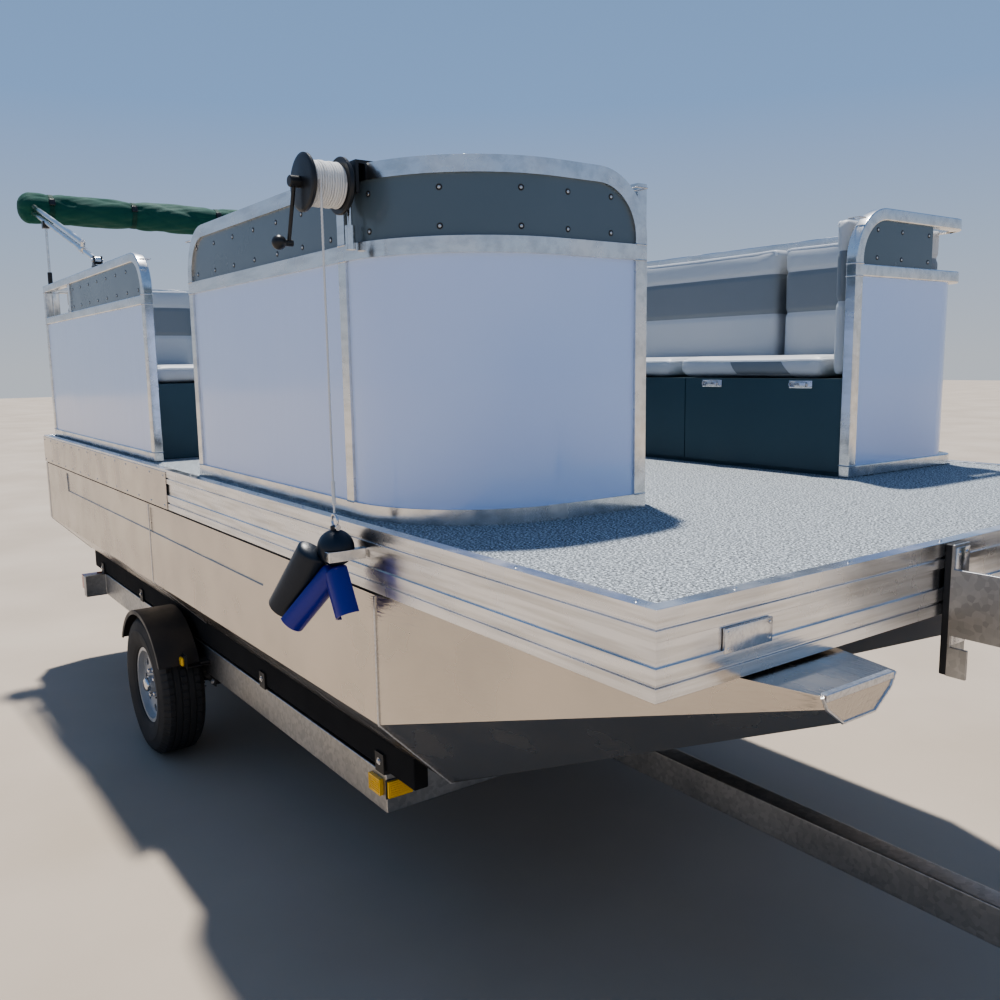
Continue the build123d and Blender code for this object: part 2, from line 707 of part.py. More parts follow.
def side_hinge():
    """Plan position of the side gate's hinge line."""
    return aft(SIDE_GATE_FRONT + HINGE_SIDE), star(FENCE_INSET + TUBE + HINGE_OFF)


def gate_leaf(length):
    """Leaf drawn along +X from its hinge line at the origin, thickness in +Y; heights above the deck."""
    x0 = LEAF_START
    x1 = LEAF_START + length
    y0 = HINGE_OFF + (TUBE - LEAF_TUBE) / 2
    y1 = y0 + LEAF_TUBE
    mid = MID_RAIL_TOP
    frame = block(x0, x1, y0, y1, up(LEAF_Z0), up(LEAF_Z1))
    frame = frame - block(
        x0 + LEAF_TUBE, x1 - LEAF_TUBE, y0 - 1, y1 + 1, up(LEAF_Z0 + LEAF_TUBE), up(mid - LEAF_TUBE)
    )
    frame = frame - block(
        x0 + LEAF_TUBE, x1 - LEAF_TUBE, y0 - 1, y1 + 1, up(mid), up(LEAF_Z1 - LEAF_TUBE)
    )
    for height in KNUCKLE_ZS:
        half = KNUCKLE_H / 2 - TIGHT
        knuckle = Pos(0, 0, up(height)) * Cylinder(HINGE_D / 2, 2 * half)
        strap = block(0, x0 + 20, HINGE_D / 2 - 4, y0, up(height - 13), up(height + 13))
        bore = Pos(0, 0, up(height)) * Cylinder(HINGE_PIN_D / 2 + TIGHT, 3 * half)
        frame = frame + strap + knuckle - bore
    s0 = y0 + (LEAF_TUBE - SKIN_T) / 2
    white = block(
        x0 + LEAF_TUBE, x1 - LEAF_TUBE, s0, s0 + SKIN_T, up(LEAF_Z0 + LEAF_TUBE), up(mid - LEAF_TUBE)
    )
    dark = block(
        x0 + LEAF_TUBE, x1 - LEAF_TUBE, s0, s0 + SKIN_T, up(mid), up(LEAF_Z1 - LEAF_TUBE)
    )
    return frame, white, dark


def build_gates():
    """Bow gate and side gate, both standing open and folded inboard."""
    bow_hinge_x, bow_hinge_y = bow_hinge()
    opening = BEAM - 2 * BOW_POST_Y
    frame, white, dark = gate_leaf(opening - HINGE_SIDE - LEAF_START - LEAF_END_GAP)
    place = Pos(bow_hinge_x, bow_hinge_y, 0) * Rot(Z=180)
    mirror_y = Plane.XZ
    pieces = [place * mirror(piece, about=mirror_y) for piece in (frame, white, dark)]
    save("bow_gate_frame", pieces[0])
    save("bow_gate_skins", pieces[1], pieces[2])

    side_hinge_x, side_hinge_y = side_hinge()
    length = SIDE_GATE_REAR - SIDE_GATE_FRONT - HINGE_SIDE - LEAF_START - LEAF_END_GAP
    frame, white, dark = gate_leaf(length)
    place = Pos(side_hinge_x, side_hinge_y, 0) * Rot(Z=90)
    save("side_gate_frame", place * frame)
    save("side_gate_skins", place * white, place * dark)


def fixed_hinges(x, y, strap):
    """Pins and outer knuckles of one gate's hinges; strap is a function from two heights to a plate."""
    pieces = []
    for height in KNUCKLE_ZS:
        pieces.append(rod((x, y, up(height - KNUCKLE_H)), (x, y, up(height + KNUCKLE_H)), HINGE_PIN_D))
        for z in (height - KNUCKLE_H, height + KNUCKLE_H / 2):
            pieces.append(rod((x, y, up(z)), (x, y, up(z + KNUCKLE_H / 2)), HINGE_D))
            pieces.append(strap(up(z), up(z + KNUCKLE_H / 2)))
    return pieces


def gate_hinges():
    """Fixed halves of both gates' hinges, on the starboard bow fence's two end posts."""
    x, y = bow_hinge()
    post = x + HINGE_OFF
    pieces = fixed_hinges(x, y, lambda z0, z1: block(post - 4, post, y - TUBE + HINGE_SIDE, y, z0, z1))
    x2, y2 = side_hinge()
    wall = y2 - HINGE_OFF
    pieces = pieces + fixed_hinges(
        x2, y2, lambda z0, z1: block(x2, x2 + TUBE - HINGE_SIDE, wall, wall + 4, z0, z1)
    )
    return pieces


def corner_room():
    """Space inside the port bow fence, up to the seats' gap from it."""
    gap = TUBE + SEAT_WALL_GAP
    side = star(FENCE_INSET + gap)
    front = aft(FENCE_FRONT) - gap
    radius = PORT_SKIN_R - gap
    rear = aft(DECK_LENGTH)
    low = up(-1)
    high = up(2 * FENCE_HEIGHT)
    room = block(rear, front - radius, side, 0, low, high)
    room = room + block(rear, front, side + radius, 0, low, high)
    room = room + Pos(front - radius, side + radius, low + (high - low) / 2) * Cylinder(radius, high - low)
    return mirrored(room)


def seat_base(x0, x1, y_in, y_out, seams):
    """Moulded seat base with a toe recess and panel joints along its inboard face."""
    way = 1 if y_out > y_in else -1
    base = block(x0, x1, y_in, y_out, up(0), up(SEAT_BASE_H))
    base = base - block(x0 - 1, x1 + 1, y_in - way, y_in + way * TOE_IN, up(-1), up(TOE_H))
    for seam in seams:
        x = aft(seam)
        base = base - block(
            x - BASE_SEAM_W / 2, x + BASE_SEAM_W / 2, y_in - way, y_in + way * BASE_SEAM_D,
            up(-1), up(SEAT_BASE_H + 1),
        )
    return base


def cushion_row(x0, x1, seams, y0, y1, z0, z1, radius):
    """Cushions side by side from x1 aft to x0, parted at the seams."""
    ends = [x1] + [aft(seam) for seam in seams] + [x0]
    row = []
    for index in range(len(ends) - 1):
        front = ends[index] - (SEAM / 2 if index else TIGHT)
        rear = ends[index + 1] + (SEAM / 2 if index + 2 < len(ends) else 0)
        row.append(pad(rear, front, y0, y1, z0, z1, radius))
    return row


def build_seats():
    """Port bench with its end back, and the starboard aft lounge."""
    room = corner_room()
    wall = star(FENCE_INSET + TUBE + SEAT_WALL_GAP)
    seat_z0 = up(SEAT_BASE_H)
    seat_z1 = up(SEAT_BASE_H + CUSHION_T)
    back_z1 = up(BACK_TOP)
    y_out = -wall
    y_in = y_out - BENCH_DEPTH
    front = aft(BENCH_FRONT)
    rear = aft(BENCH_REAR)
    save("bench_base", seat_base(rear, front, y_in, y_out, BENCH_BASE_SEAMS) & room)
    seat_front = front - END_BACK_T
    save(
        "bench_cushions",
        *cushion_row(
            rear, seat_front, BENCH_SEAT_SEAMS, y_in - BENCH_OVERHANG, y_out - BACK_T - TIGHT,
            seat_z0, seat_z1, SEAT_ROUND,
        ),
    )
    backs = cushion_row(
        rear, seat_front, BENCH_BACK_SEAMS, y_out - BACK_T, y_out, seat_z0, back_z1, SEAT_ROUND
    )
    end_back = pad(seat_front, front, y_in, y_out, seat_z0, back_z1, END_BACK_ROUND)
    save("bench_backs", *[back & room for back in backs], end_back & room)

    y_out = wall
    y_in = wall + LOUNGE_DEPTH
    front = aft(LOUNGE_FRONT)
    rear = aft(LOUNGE_REAR)
    back_x = aft(LOUNGE_BACK_FROM)
    seam = LOUNGE_FRONT + (LOUNGE_BACK_FROM - LOUNGE_FRONT) * LOUNGE_SEAM
    save("lounge_base", seat_base(rear, front, y_in, y_out, (seam,)))
    save(
        "lounge_cushion",
        *cushion_row(
            back_x + TIGHT, front + LOUNGE_OVERHANG, (seam,), y_out, y_in + LOUNGE_OVERHANG,
            seat_z0, seat_z1, SEAT_ROUND,
        ),
    )
    save(
        "lounge_back",
        pad(back_x - BACK_T, back_x, y_out, y_in + LOUNGE_OVERHANG, seat_z0, back_z1, SEAT_ROUND),
    )


def steering_line():
    """Middle of the sloping dash and the direction square to it."""
    x = aft(CONSOLE_REAR - CONSOLE_DASH_RUN / 2)
    middle = Vector(x, star(WHEEL_Y), up((CONSOLE_H + CONSOLE_DASH_H) / 2))
    return middle, Vector(CONSOLE_DASH_H - CONSOLE_H, 0, CONSOLE_DASH_RUN).normalized()


def build_helm():
    """Console, screen, throttle box and steering wheel."""
    front = aft(CONSOLE_FRONT)
    rear = aft(CONSOLE_REAR)
    brow = rear + CONSOLE_DASH_RUN
    lean = front - CONSOLE_LEAN
    outline = (
        (front, up(0)), (lean, up(CONSOLE_H)), (brow, up(CONSOLE_H)),
        (rear, up(CONSOLE_DASH_H)), (rear, up(0)),
    )
    y0 = star(CONSOLE_Y0)
    y1 = star(CONSOLE_Y1)
    console = prism_y(outline, y0, y1)
    console = fillet(console.edges().filter_by(Axis.Y).group_by(Axis.Z)[-1], CONSOLE_ROUND)
    footwell = block(
        rear - 1, lean - CONSOLE_WALL, y0 + CONSOLE_WALL, y1 - CONSOLE_WALL,
        up(CONSOLE_WALL), up(CONSOLE_DASH_H - KNEE_DROP),
    )
    dash, along = steering_line()
    boss = rod(dash - along * BOSS_L / 2, dash + along * BOSS_L, WHEEL_HUB_D)
    save("helm_console", console - footwell + boss)
    middle = (y0 + y1) / 2
    bend = Pos(lean - SCREEN_INSET - SCREEN_BEND, middle, up(CONSOLE_H + SCREEN_H / 2))
    ring = bend * (Cylinder(SCREEN_BEND, SCREEN_H) - Cylinder(SCREEN_BEND - SCREEN_T, SCREEN_H + 2))
    span = block(brow, front, y0 + SCREEN_INSET, y1 - SCREEN_INSET, up(CONSOLE_H), up(CONSOLE_H + SCREEN_H))
    save("helm_screen", ring & span)

    box_x = brow - THROTTLE_L
    box_z0 = up(THROTTLE_TOP - THROTTLE_H)
    box = block(box_x, box_x + THROTTLE_L, y0 - THROTTLE_W, y0, box_z0, up(THROTTLE_TOP))
    lever_x = box_x + THROTTLE_L / 2
    lever_y = y0 - THROTTLE_W / 2
    knob_z = up(THROTTLE_TOP + LEVER_L)
    lever = rod((lever_x, lever_y, up(THROTTLE_TOP) - LEVER_D), (lever_x, lever_y, knob_z), LEVER_D)
    save("throttle", box + lever + Pos(lever_x, lever_y, knob_z) * Sphere(KNOB_D / 2))

    centre = dash + along * WHEEL_STAND
    ring_plane = Plane(centre, x_dir=(0, 1, 0), z_dir=along)
    rim_r = (WHEEL_D - WHEEL_RIM_D) / 2
    wheel = ring_plane * Torus(rim_r, WHEEL_RIM_D / 2)
    wheel = wheel + rod(dash + along * (BOSS_L + TIGHT), centre + along * WHEEL_CAP, WHEEL_HUB_D)
    for turn in SPOKE_TURNS:
        angle = math.radians(turn)
        tip = centre + ring_plane.x_dir * (math.cos(angle) * rim_r)
        tip = tip + ring_plane.y_dir * (math.sin(angle) * rim_r)
        wheel = wheel + rod(centre, tip, WHEEL_SPOKE_D)
    save("steering_wheel", wheel)


def build_chair():
    """Swivel chair on its pedestal."""
    cx = aft(CHAIR_X)
    cy = star(CHAIR_Y)
    post_r = CHAIR_POST_D / 2
    section = (
        (0, 0), (CHAIR_BASE_D / 2, 0), (CHAIR_BASE_D / 2, CHAIR_BASE_T), (CHAIR_CONE_D / 2, CHAIR_BASE_T),
        (post_r, CHAIR_CONE_H), (post_r, CHAIR_POST_H), (0, CHAIR_POST_H),
    )
    outline = Polyline(*[(radius, 0, height) for radius, height in section], close=True)
    save("chair_pedestal", Pos(cx, cy, up(0)) * revolve(make_face(outline), Axis.Z))
    pan_z0 = up(CHAIR_POST_H + TIGHT)
    pan_z1 = pan_z0 + CHAIR_PAN_T
    half_l = CHAIR_DEPTH / 2
    half_w = CHAIR_W / 2
    pan = block(cx - half_l, cx + half_l, cy - half_w, cy + half_w, pan_z0, pan_z1)
    pan = fillet(pan.edges().filter_by(Axis.Z), CHAIR_PAN_ROUND)
    shell_x = cx - half_l - CHAIR_BACK_BEHIND
    shell_y = CHAIR_SHELL_W / 2
    shell = block(
        shell_x, shell_x + CHAIR_SHELL_T, cy - shell_y, cy + shell_y,
        pan_z0, up(CHAIR_BACK_TOP - CHAIR_SHELL_DROP),
    )
    foot = block(shell_x, cx, cy - shell_y, cy + shell_y, pan_z0, pan_z1)
    save("chair_frame", pan + shell + foot)
    seat_z1 = pan_z1 + CHAIR_CUSHION_T
    back_x = shell_x + CHAIR_SHELL_T
    seat = pad(
        back_x + TIGHT, cx + half_l, cy - half_w, cy + half_w, pan_z1, seat_z1, CHAIR_PAN_T
    )
    back_y = CHAIR_BACK_W / 2
    back = pad(
        back_x, back_x + CHAIR_BACK_T, cy - back_y, cy + back_y,
        seat_z1 + TIGHT, up(CHAIR_BACK_TOP), CHAIR_PAN_T,
    )
    save("chair_cushions", seat, back)


def canopy_point(distance, lift, y):
    """Place on the folded canopy frame: along its legs from the pivot, above them, and across."""
    rise = math.radians(BIMINI_RISE)
    x = aft(BIMINI_X) - distance * math.cos(rise) + lift * math.sin(rise)
    z = up(FENCE_HEIGHT + BIMINI_PIVOT_H) + distance * math.sin(rise) + lift * math.cos(rise)
    return x, y, z


def canopy_bow(start, lift, diameter):
    """One bow: two legs and a cross tube with bent corners."""
    y_leg = BEAM / 2 - FENCE_INSET - TUBE / 2
    corners = (
        canopy_point(start, lift, -y_leg), canopy_point(BIMINI_LEG, lift, -y_leg),
        canopy_point(BIMINI_LEG, lift, y_leg), canopy_point(start, lift, y_leg),
    )
    path = FilletPolyline(*corners, radius=BOW_BEND)
    section = Plane(path @ 0, z_dir=path % 0) * Circle(diameter / 2)
    return sweep(section, path=path)


def build_bimini():
    """Folded canopy frame and its boot, on mounts on the fences' top rails."""
    y_leg = BEAM / 2 - FENCE_INSET - TUBE / 2
    px, _, pz = canopy_point(0, 0, 0)
    frame = canopy_bow(0, 0, BIMINI_TUBE) + canopy_bow(BOW_HINGE, BOW_GAP, BIMINI_TUBE)
    for y in (-y_leg, y_leg):
        jaw = rod(
            canopy_point(BOW_HINGE - JAW_L / 2, 0, y), canopy_point(BOW_HINGE + JAW_L / 2, 0, y), JAW_D
        )
        link = rod(canopy_point(BOW_HINGE, 0, y), canopy_point(BOW_HINGE, BOW_GAP, y), LINK_D)
        eye = rod((px, y - EYE_L / 2, pz), (px, y + EYE_L / 2, pz), EYE_D)
        bore = rod((px, y - EYE_L, pz), (px, y + EYE_L, pz), PIVOT_D + 2 * TIGHT)
        frame = frame + jaw + link + eye - bore
    save("bimini_frame", frame)
    reach = y_leg + BOOT_OUT
    run = BIMINI_LEG - BOOT_BACK
    boot = rod(
        canopy_point(run, BOW_GAP / 2, -reach), canopy_point(run, BOW_GAP / 2, reach), BOOT_D
    )
    boot = fillet(boot.edges().filter_by(GeomType.CIRCLE), BOOT_ROUND)
    for lift, start in ((0, BIMINI_LEG / 2), (BOW_GAP, BIMINI_LEG / 2)):
        boot = boot - canopy_bow(start, lift, BIMINI_TUBE + 2 * TIGHT)
    save("bimini_boot", boot)

    body = Part()
    top = up(FENCE_HEIGHT)
    rise = math.radians(BIMINI_RISE)
    for y in (-y_leg, y_leg):
        for turn in (-1, 1):
            inner = y + turn * (EYE_L / 2 + TIGHT)
            body = body + block(
                px - CHEEK_W / 2, px + CHEEK_W / 2, inner, inner + turn * CHEEK_T, top, pz + CHEEK_W / 2
            )
        pin = EYE_L / 2 + CHEEK_T
        body = body + rod((px, y - pin, pz), (px, y + pin, pz), PIVOT_D)
        body = body + block(px - CHEEK_W, px + CHEEK_W, y - TUBE / 2, y + TUBE / 2, top, top + CHEEK_T)
        sx = aft(STRUT_X)
        seat = canopy_point((px - sx) / math.cos(rise), -BIMINI_TUBE / 2, y)
        body = body + rod((sx, y, top), (sx, y, seat[2] - SADDLE_L / 2), STRUT_D)
        body = body + rod((sx, y, top), (sx, y, top + STRUT_POST_H), STRUT_POST_D)
        saddle = block(
            sx - SADDLE_L / 2, sx + SADDLE_L / 2, y - JAW_D / 2, y + JAW_D / 2,
            seat[2] - SADDLE_L * 0.6, seat[2] + BIMINI_TUBE / 2,
        )
        leg = rod(canopy_point(0, 0, y), canopy_point(BIMINI_LEG, 0, y), BIMINI_TUBE + 2 * TIGHT)
        body = body + (saddle - leg)
    save("bimini_mounts", body)


def half_pipe(root, radius, wall, length, heading, opening):
    """Open trough from a root point along a heading, its open side facing the opening's direction."""
    place = Plane(root, x_dir=Vector(*opening).cross(Vector(*heading)), z_dir=heading)
    pipe = Pos(0, 0, length / 2) * (Cylinder(radius, length) - Cylinder(radius - wall, length + 2))
    away = 1 if place.y_dir.dot(Vector(*opening)) > 0 else -1
    waste = Pos(0, away * radius, length / 2) * Box(3 * radius, 2 * radius, length + 4)
    nose = Pos(0, 0, wall / 2) * Cylinder(radius, wall)
    return place * ((pipe + nose) - waste)


def build_reel():
    """Rope reel with its crank, on a stem that stands in a socket on the fence."""
    x = aft(REEL_X)
    z = up(FENCE_HEIGHT - REEL_DROP)
    y0 = star(REEL_Y0)
    y1 = star(REEL_Y1)
    face = star(FENCE_INSET)
    stem_y = (y1 + face) / 2
    stem_z = up(FENCE_HEIGHT - STEM_DROP)
    axle = rod((x, y0, z), (x, face, z), REEL_AXLE_D)
    stem = rod((x, stem_y, stem_z), (x, stem_y, z), STEM_D)
    socket = rod((x, stem_y, stem_z - SOCKET_H / 2), (x, stem_y, stem_z + SOCKET_H / 2), SOCKET_D)
    clamp = block(
        x - CLAMP_L / 2, x + CLAMP_L / 2, face - CLAMP_T, face,
        z - REEL_AXLE_D, up(FENCE_HEIGHT) + CLAMP_T,
    )
    hook = block(
        x - CLAMP_L / 2, x + CLAMP_L / 2, face - CLAMP_T, face + TUBE,
        up(FENCE_HEIGHT), up(FENCE_HEIGHT) + CLAMP_T,
    )
    save("reel_bracket", axle + stem + socket + clamp + hook)

    width = y1 - y0
    bore = REEL_AXLE_D / 2 + TIGHT
    flange = REEL_FLANGE_D / 2
    hub = REEL_HUB_D / 2
    cap = CRANK_CAP_D / 2
    lip = REEL_FLANGE_LIP
    edge = REEL_FLANGE_T - 2
    section = (
        (0, -CRANK_CAP_L), (cap - 2, -CRANK_CAP_L), (cap, 2 - CRANK_CAP_L), (cap, 0), (hub, 0),
        (flange - lip, lip / 2), (flange, lip), (flange, edge), (flange - 2, REEL_FLANGE_T),
        (hub, REEL_FLANGE_T), (hub, width - REEL_FLANGE_T), (flange - 2, width - REEL_FLANGE_T),
        (flange, width - edge), (flange, width - lip), (flange - lip, width), (bore, width),
        (bore, -TIGHT), (0, -TIGHT),
    )
    outline = Polyline(*[(radius, 0, depth) for radius, depth in section], close=True)
    spool = Pos(x, y0, z) * Rot(X=-90) * revolve(make_face(outline), Axis.Z)
    arm_y = y0 - CRANK_CAP_L / 2
    end = (x - CRANK_BACK, arm_y, z - CRANK_DROP)
    spool = spool + rod((x, arm_y, z), end, CRANK_ARM_D)
    neck_y = arm_y - CRANK_NECK_L
    spool = spool + rod((end[0], arm_y + CRANK_ARM_D, end[2]), (end[0], neck_y, end[2]), CRANK_NECK_D)
    spool = spool + Pos(end[0], neck_y, end[2]) * Sphere(CRANK_KNOB_D / 2)
    save("reel_spool", spool)
    winding = rod((x, y0 + REEL_FLANGE_T + TIGHT, z), (x, y1 - REEL_FLANGE_T - TIGHT, z), REEL_ROPE_D)
    save("reel_rope", winding - rod((x, y0, z), (x, y1, z), REEL_HUB_D + 2 * TIGHT))


def build_anchor():
    """Hanging rope, three-fluke anchor, and the short davit that holds the rope off the hull."""
    rope_y = star(ROPE_Y)
    rope_x = aft(REEL_X) + REEL_ROPE_D / 2 + ROPE_D / 2 + TIGHT
    reel_z = up(FENCE_HEIGHT - REEL_DROP)
    shackle_z = up(ANCHOR_TOP)
    eye_top = shackle_z + ANCHOR_EYE_D / 2 + TIGHT
    save("anchor_rope", rod((rope_x, rope_y, eye_top), (rope_x, rope_y, reel_z), ROPE_D))
    davit_x = aft(DAVIT_X)
    half = DAVIT_TUBE / 2
    arm_z = up(-DAVIT_DROP)
    save(
        "anchor_davit",
        block(davit_x - half, davit_x + half, star(-DAVIT_REACH), star(0), arm_z - half, arm_z + half),
    )
    wire = ANCHOR_WIRE / 2
    eye = Pos(rope_x, rope_y, shackle_z) * Rot(X=90) * Torus(ANCHOR_EYE_D / 2 - wire, wire)
    foot = up(-ANCHOR_ROOT_DROP)
    neck = shackle_z - ANCHOR_EYE_D / 2 + ANCHOR_WIRE
    shank = rod((rope_x, rope_y, neck), (rope_x, rope_y, foot), ANCHOR_SHANK_D)
    dome = Pos(rope_x, rope_y, up(-ANCHOR_DOME_DROP)) * Sphere(ANCHOR_DOME_D / 2)
    dome = dome - block(
        davit_x - half - 5 * TIGHT, rope_x + ANCHOR_DOME_D, rope_y - ANCHOR_DOME_D, rope_y + ANCHOR_DOME_D,
        up(-ANCHOR_ROOT_DROP) - half, arm_z + half + 5 * TIGHT,
    )
    anchor = eye + shank + dome
    for radius, wall, length, offset, heading, opening in FLUKES:
        root = (rope_x + offset[0], rope_y + offset[1], foot + offset[2])
        anchor = anchor + half_pipe(root, radius, wall, length, heading, opening)
    save("anchor", anchor)


def leaf_arc(half, rise, top, y0, y1):
    """One spring leaf, bent up at its ends; its middle's top face is at the given height."""
    ax = aft(AXLE_X)
    upper = ThreePointArc((ax - half, y0, top + rise), (ax, y0, top), (ax + half, y0, top + rise))
    low = top - LEAF_T
    lower = ThreePointArc((ax + half, y0, low + rise), (ax, y0, low), (ax - half, y0, low + rise))
    ends = (Line(upper @ 1, lower @ 0), Line(lower @ 1, upper @ 0))
    return extrude(make_face([upper, ends[0], lower, ends[1]]), amount=y1 - y0, dir=(0, 1, 0))


def leaf_spring():
    """Leaf pack with its eyes, hangers and U-bolts, drawn for the starboard side."""
    ax = aft(AXLE_X)
    y0 = star(RAIL_Y) + (FRAME_T - LEAF_W) / 2
    y1 = y0 + LEAF_W
    seat = AXLE_Z + AXLE_TUBE / 2
    top = seat + LEAF_T * len(LEAF_HALVES)
    low = AXLE_Z - AXLE_TUBE / 2 - U_PLATE_T
    spring = Part()
    for index, half in enumerate(LEAF_HALVES):
        rise = LEAF_RISE * (half / LEAF_HALVES[0]) ** 2
        spring = spring + leaf_arc(half, rise, top - index * LEAF_T, y0, y1)
    for side in (-1, 1):
        eye_x = ax + side * LEAF_HALVES[0]
        eye_z = top + LEAF_RISE - LEAF_T / 2
        spring = spring + rod((eye_x, y0, eye_z), (eye_x, y1, eye_z), EYE_OD)
        for y in (y0, y1 - HANGER_T):
            spring = spring + block(
                eye_x - EYE_OD, eye_x + EYE_OD, y, y + HANGER_T, eye_z - EYE_OD / 2, FRAME_Z0
            )
        bolt_x = ax + side * U_BOLT_HALF
        for y in (y0 - U_BOLT_D / 2, y1 + U_BOLT_D / 2):
            spring = spring + rod((bolt_x, y, low - U_PLATE_T), (bolt_x, y, top + U_PLATE_T), U_BOLT_D)
    plate_half = U_BOLT_HALF + U_BOLT_D
    for z in (top, low):
        spring = spring + block(
            ax - plate_half, ax + plate_half, y0 - U_BOLT_D, y1 + U_BOLT_D, z, z + U_PLATE_T
        )
    return spring


def fender():
    """Rounded wheel guard with a turned-in lip and two stays, drawn for the starboard side."""
    ax = aft(AXLE_X)
    inside = TYRE_OD / 2 + FENDER_GAP
    outside = inside + FENDER_T
    reach = 2 * TYRE_OD
    y0 = star(FENDER_OUT)
    y1 = star(FENDER_IN)
    guard = rod((ax, y0, AXLE_Z), (ax, y1, AXLE_Z), 2 * outside)
    guard = guard - rod((ax, y0 + FENDER_T, AXLE_Z), (ax, y1 + 1, AXLE_Z), 2 * inside)
    guard = guard - rod((ax, y0 - 1, AXLE_Z), (ax, y1, AXLE_Z), 2 * (inside - FENDER_LIP))
    guard = guard & block(ax - reach, ax + reach, y0, y1, FENDER_FOOT, AXLE_Z + reach)
    stay_x = math.sqrt(outside ** 2 - (FENDER_FOOT - AXLE_Z) ** 2)
    for side in (-1, 1):
        x = ax + side * stay_x
        guard = guard + block(
            x - STAY_HALF, x + STAY_HALF, y1 - FENDER_T, star(RAIL_Y), FENDER_FOOT, FENDER_FOOT + STAY_T
        )
    return guard


def build_lamps():
    """Amber lamps at the front corners and red tail lamps on the rear cross tube."""
    y0 = star(RAIL_Y)
    top = FRAME_Z1 - LAMP_TOP
    front_x = aft(FRAME_FRONT)
    amber = block(front_x, front_x + AMBER_T, y0, y0 + AMBER_L, top - LAMP_H, top)
    side_x = front_x - LAMP_TOP - SIDE_LAMP_L
    side_lamp = block(side_x, side_x + SIDE_LAMP_L, y0 - AMBER_T, y0, top - LAMP_H, top)
    save("lamps_amber", amber, side_lamp, mirrored(amber), mirrored(side_lamp))
    rear_x = aft(FRAME_REAR)
    red = block(
        rear_x - RED_T, rear_x, star(REAR_CROSS_Y), star(REAR_CROSS_Y) + RED_L,
        FRAME_Z1 - RED_H, FRAME_Z1,
    )
    save("lamps_red", red, mirrored(red))


def build_bunks():
    """Carpeted bunk boards and the brackets that carry them on the cross tubes."""
    bunks = []
    brackets = []
    for y in (RAIL_Y, RAIL_Y + FLAT_BOTTOM - BUNK_T):
        bunk = block(aft(BUNK_REAR), aft(BUNK_FRONT), star(y), star(y + BUNK_T), BUNK_Z0, HULL_Z0)
        bunks.extend([bunk, mirrored(bunk)])
        for x in CROSS_XS:
            rear = aft(x + FRAME_T)
            front = aft(x)
            foot = block(
                rear, front, star(y - BUNK_CHEEK_T), star(y + BUNK_T + BUNK_CHEEK_T),
                FRAME_Z1, BUNK_Z0 + BUNK_CHEEK_H,
            )
            foot = foot - block(
                rear - 1, front + 1, star(y), star(y + BUNK_T), BUNK_Z0, BUNK_Z0 + BUNK_CHEEK_H + 1
            )
            brackets.extend([foot, mirrored(foot)])
    save("trailer_bunks", *bunks)
    save("bunk_brackets", *brackets)


def build_trailer():
    """Frame, tongue, axle and what hangs on them."""
    y0 = star(RAIL_Y)
    rail = block(aft(FRAME_REAR), aft(FRAME_FRONT), y0, y0 + FRAME_T, FRAME_Z0, FRAME_Z1)
    frame = rail + mirrored(rail)
    for x in CROSS_XS:
        reach = star(REAR_CROSS_Y) if x == CROSS_XS[-1] else y0
        frame = frame + block(aft(x + FRAME_T), aft(x), reach, -reach, FRAME_Z0, FRAME_Z1)
    save("trailer_frame", frame)
    tongue_z0 = FRAME_Z0 - TONGUE_H
    save(
        "trailer_tongue",
        block(
            aft(CROSS_XS[1] + FRAME_T), TONGUE_AHEAD, -TONGUE_W / 2, TONGUE_W / 2, tongue_z0, FRAME_Z0
        ),
    )
    build_bunks()
    ax = aft(AXLE_X)
    half = AXLE_TUBE / 2
    tube_end = star(TYRE_Y + TYRE_W + AXLE_PAST)
    spindle_end = star(TYRE_Y + SPINDLE_IN)
    axle = block(ax - half, ax + half, tube_end, -tube_end, AXLE_Z - half, AXLE_Z + half)
    for side in (-1, 1):
        axle = axle + rod((ax, side * tube_end, AXLE_Z), (ax, side * spindle_end, AXLE_Z), SPINDLE_D)
    save("trailer_axle", axle)
    spring = leaf_spring()
    save("trailer_springs", spring, mirrored(spring))
    guard = fender()
    save("fenders", guard, mirrored(guard))
    build_lamps()
    build_wheels()
    build_winch()
    build_jack()
    build_coupler()


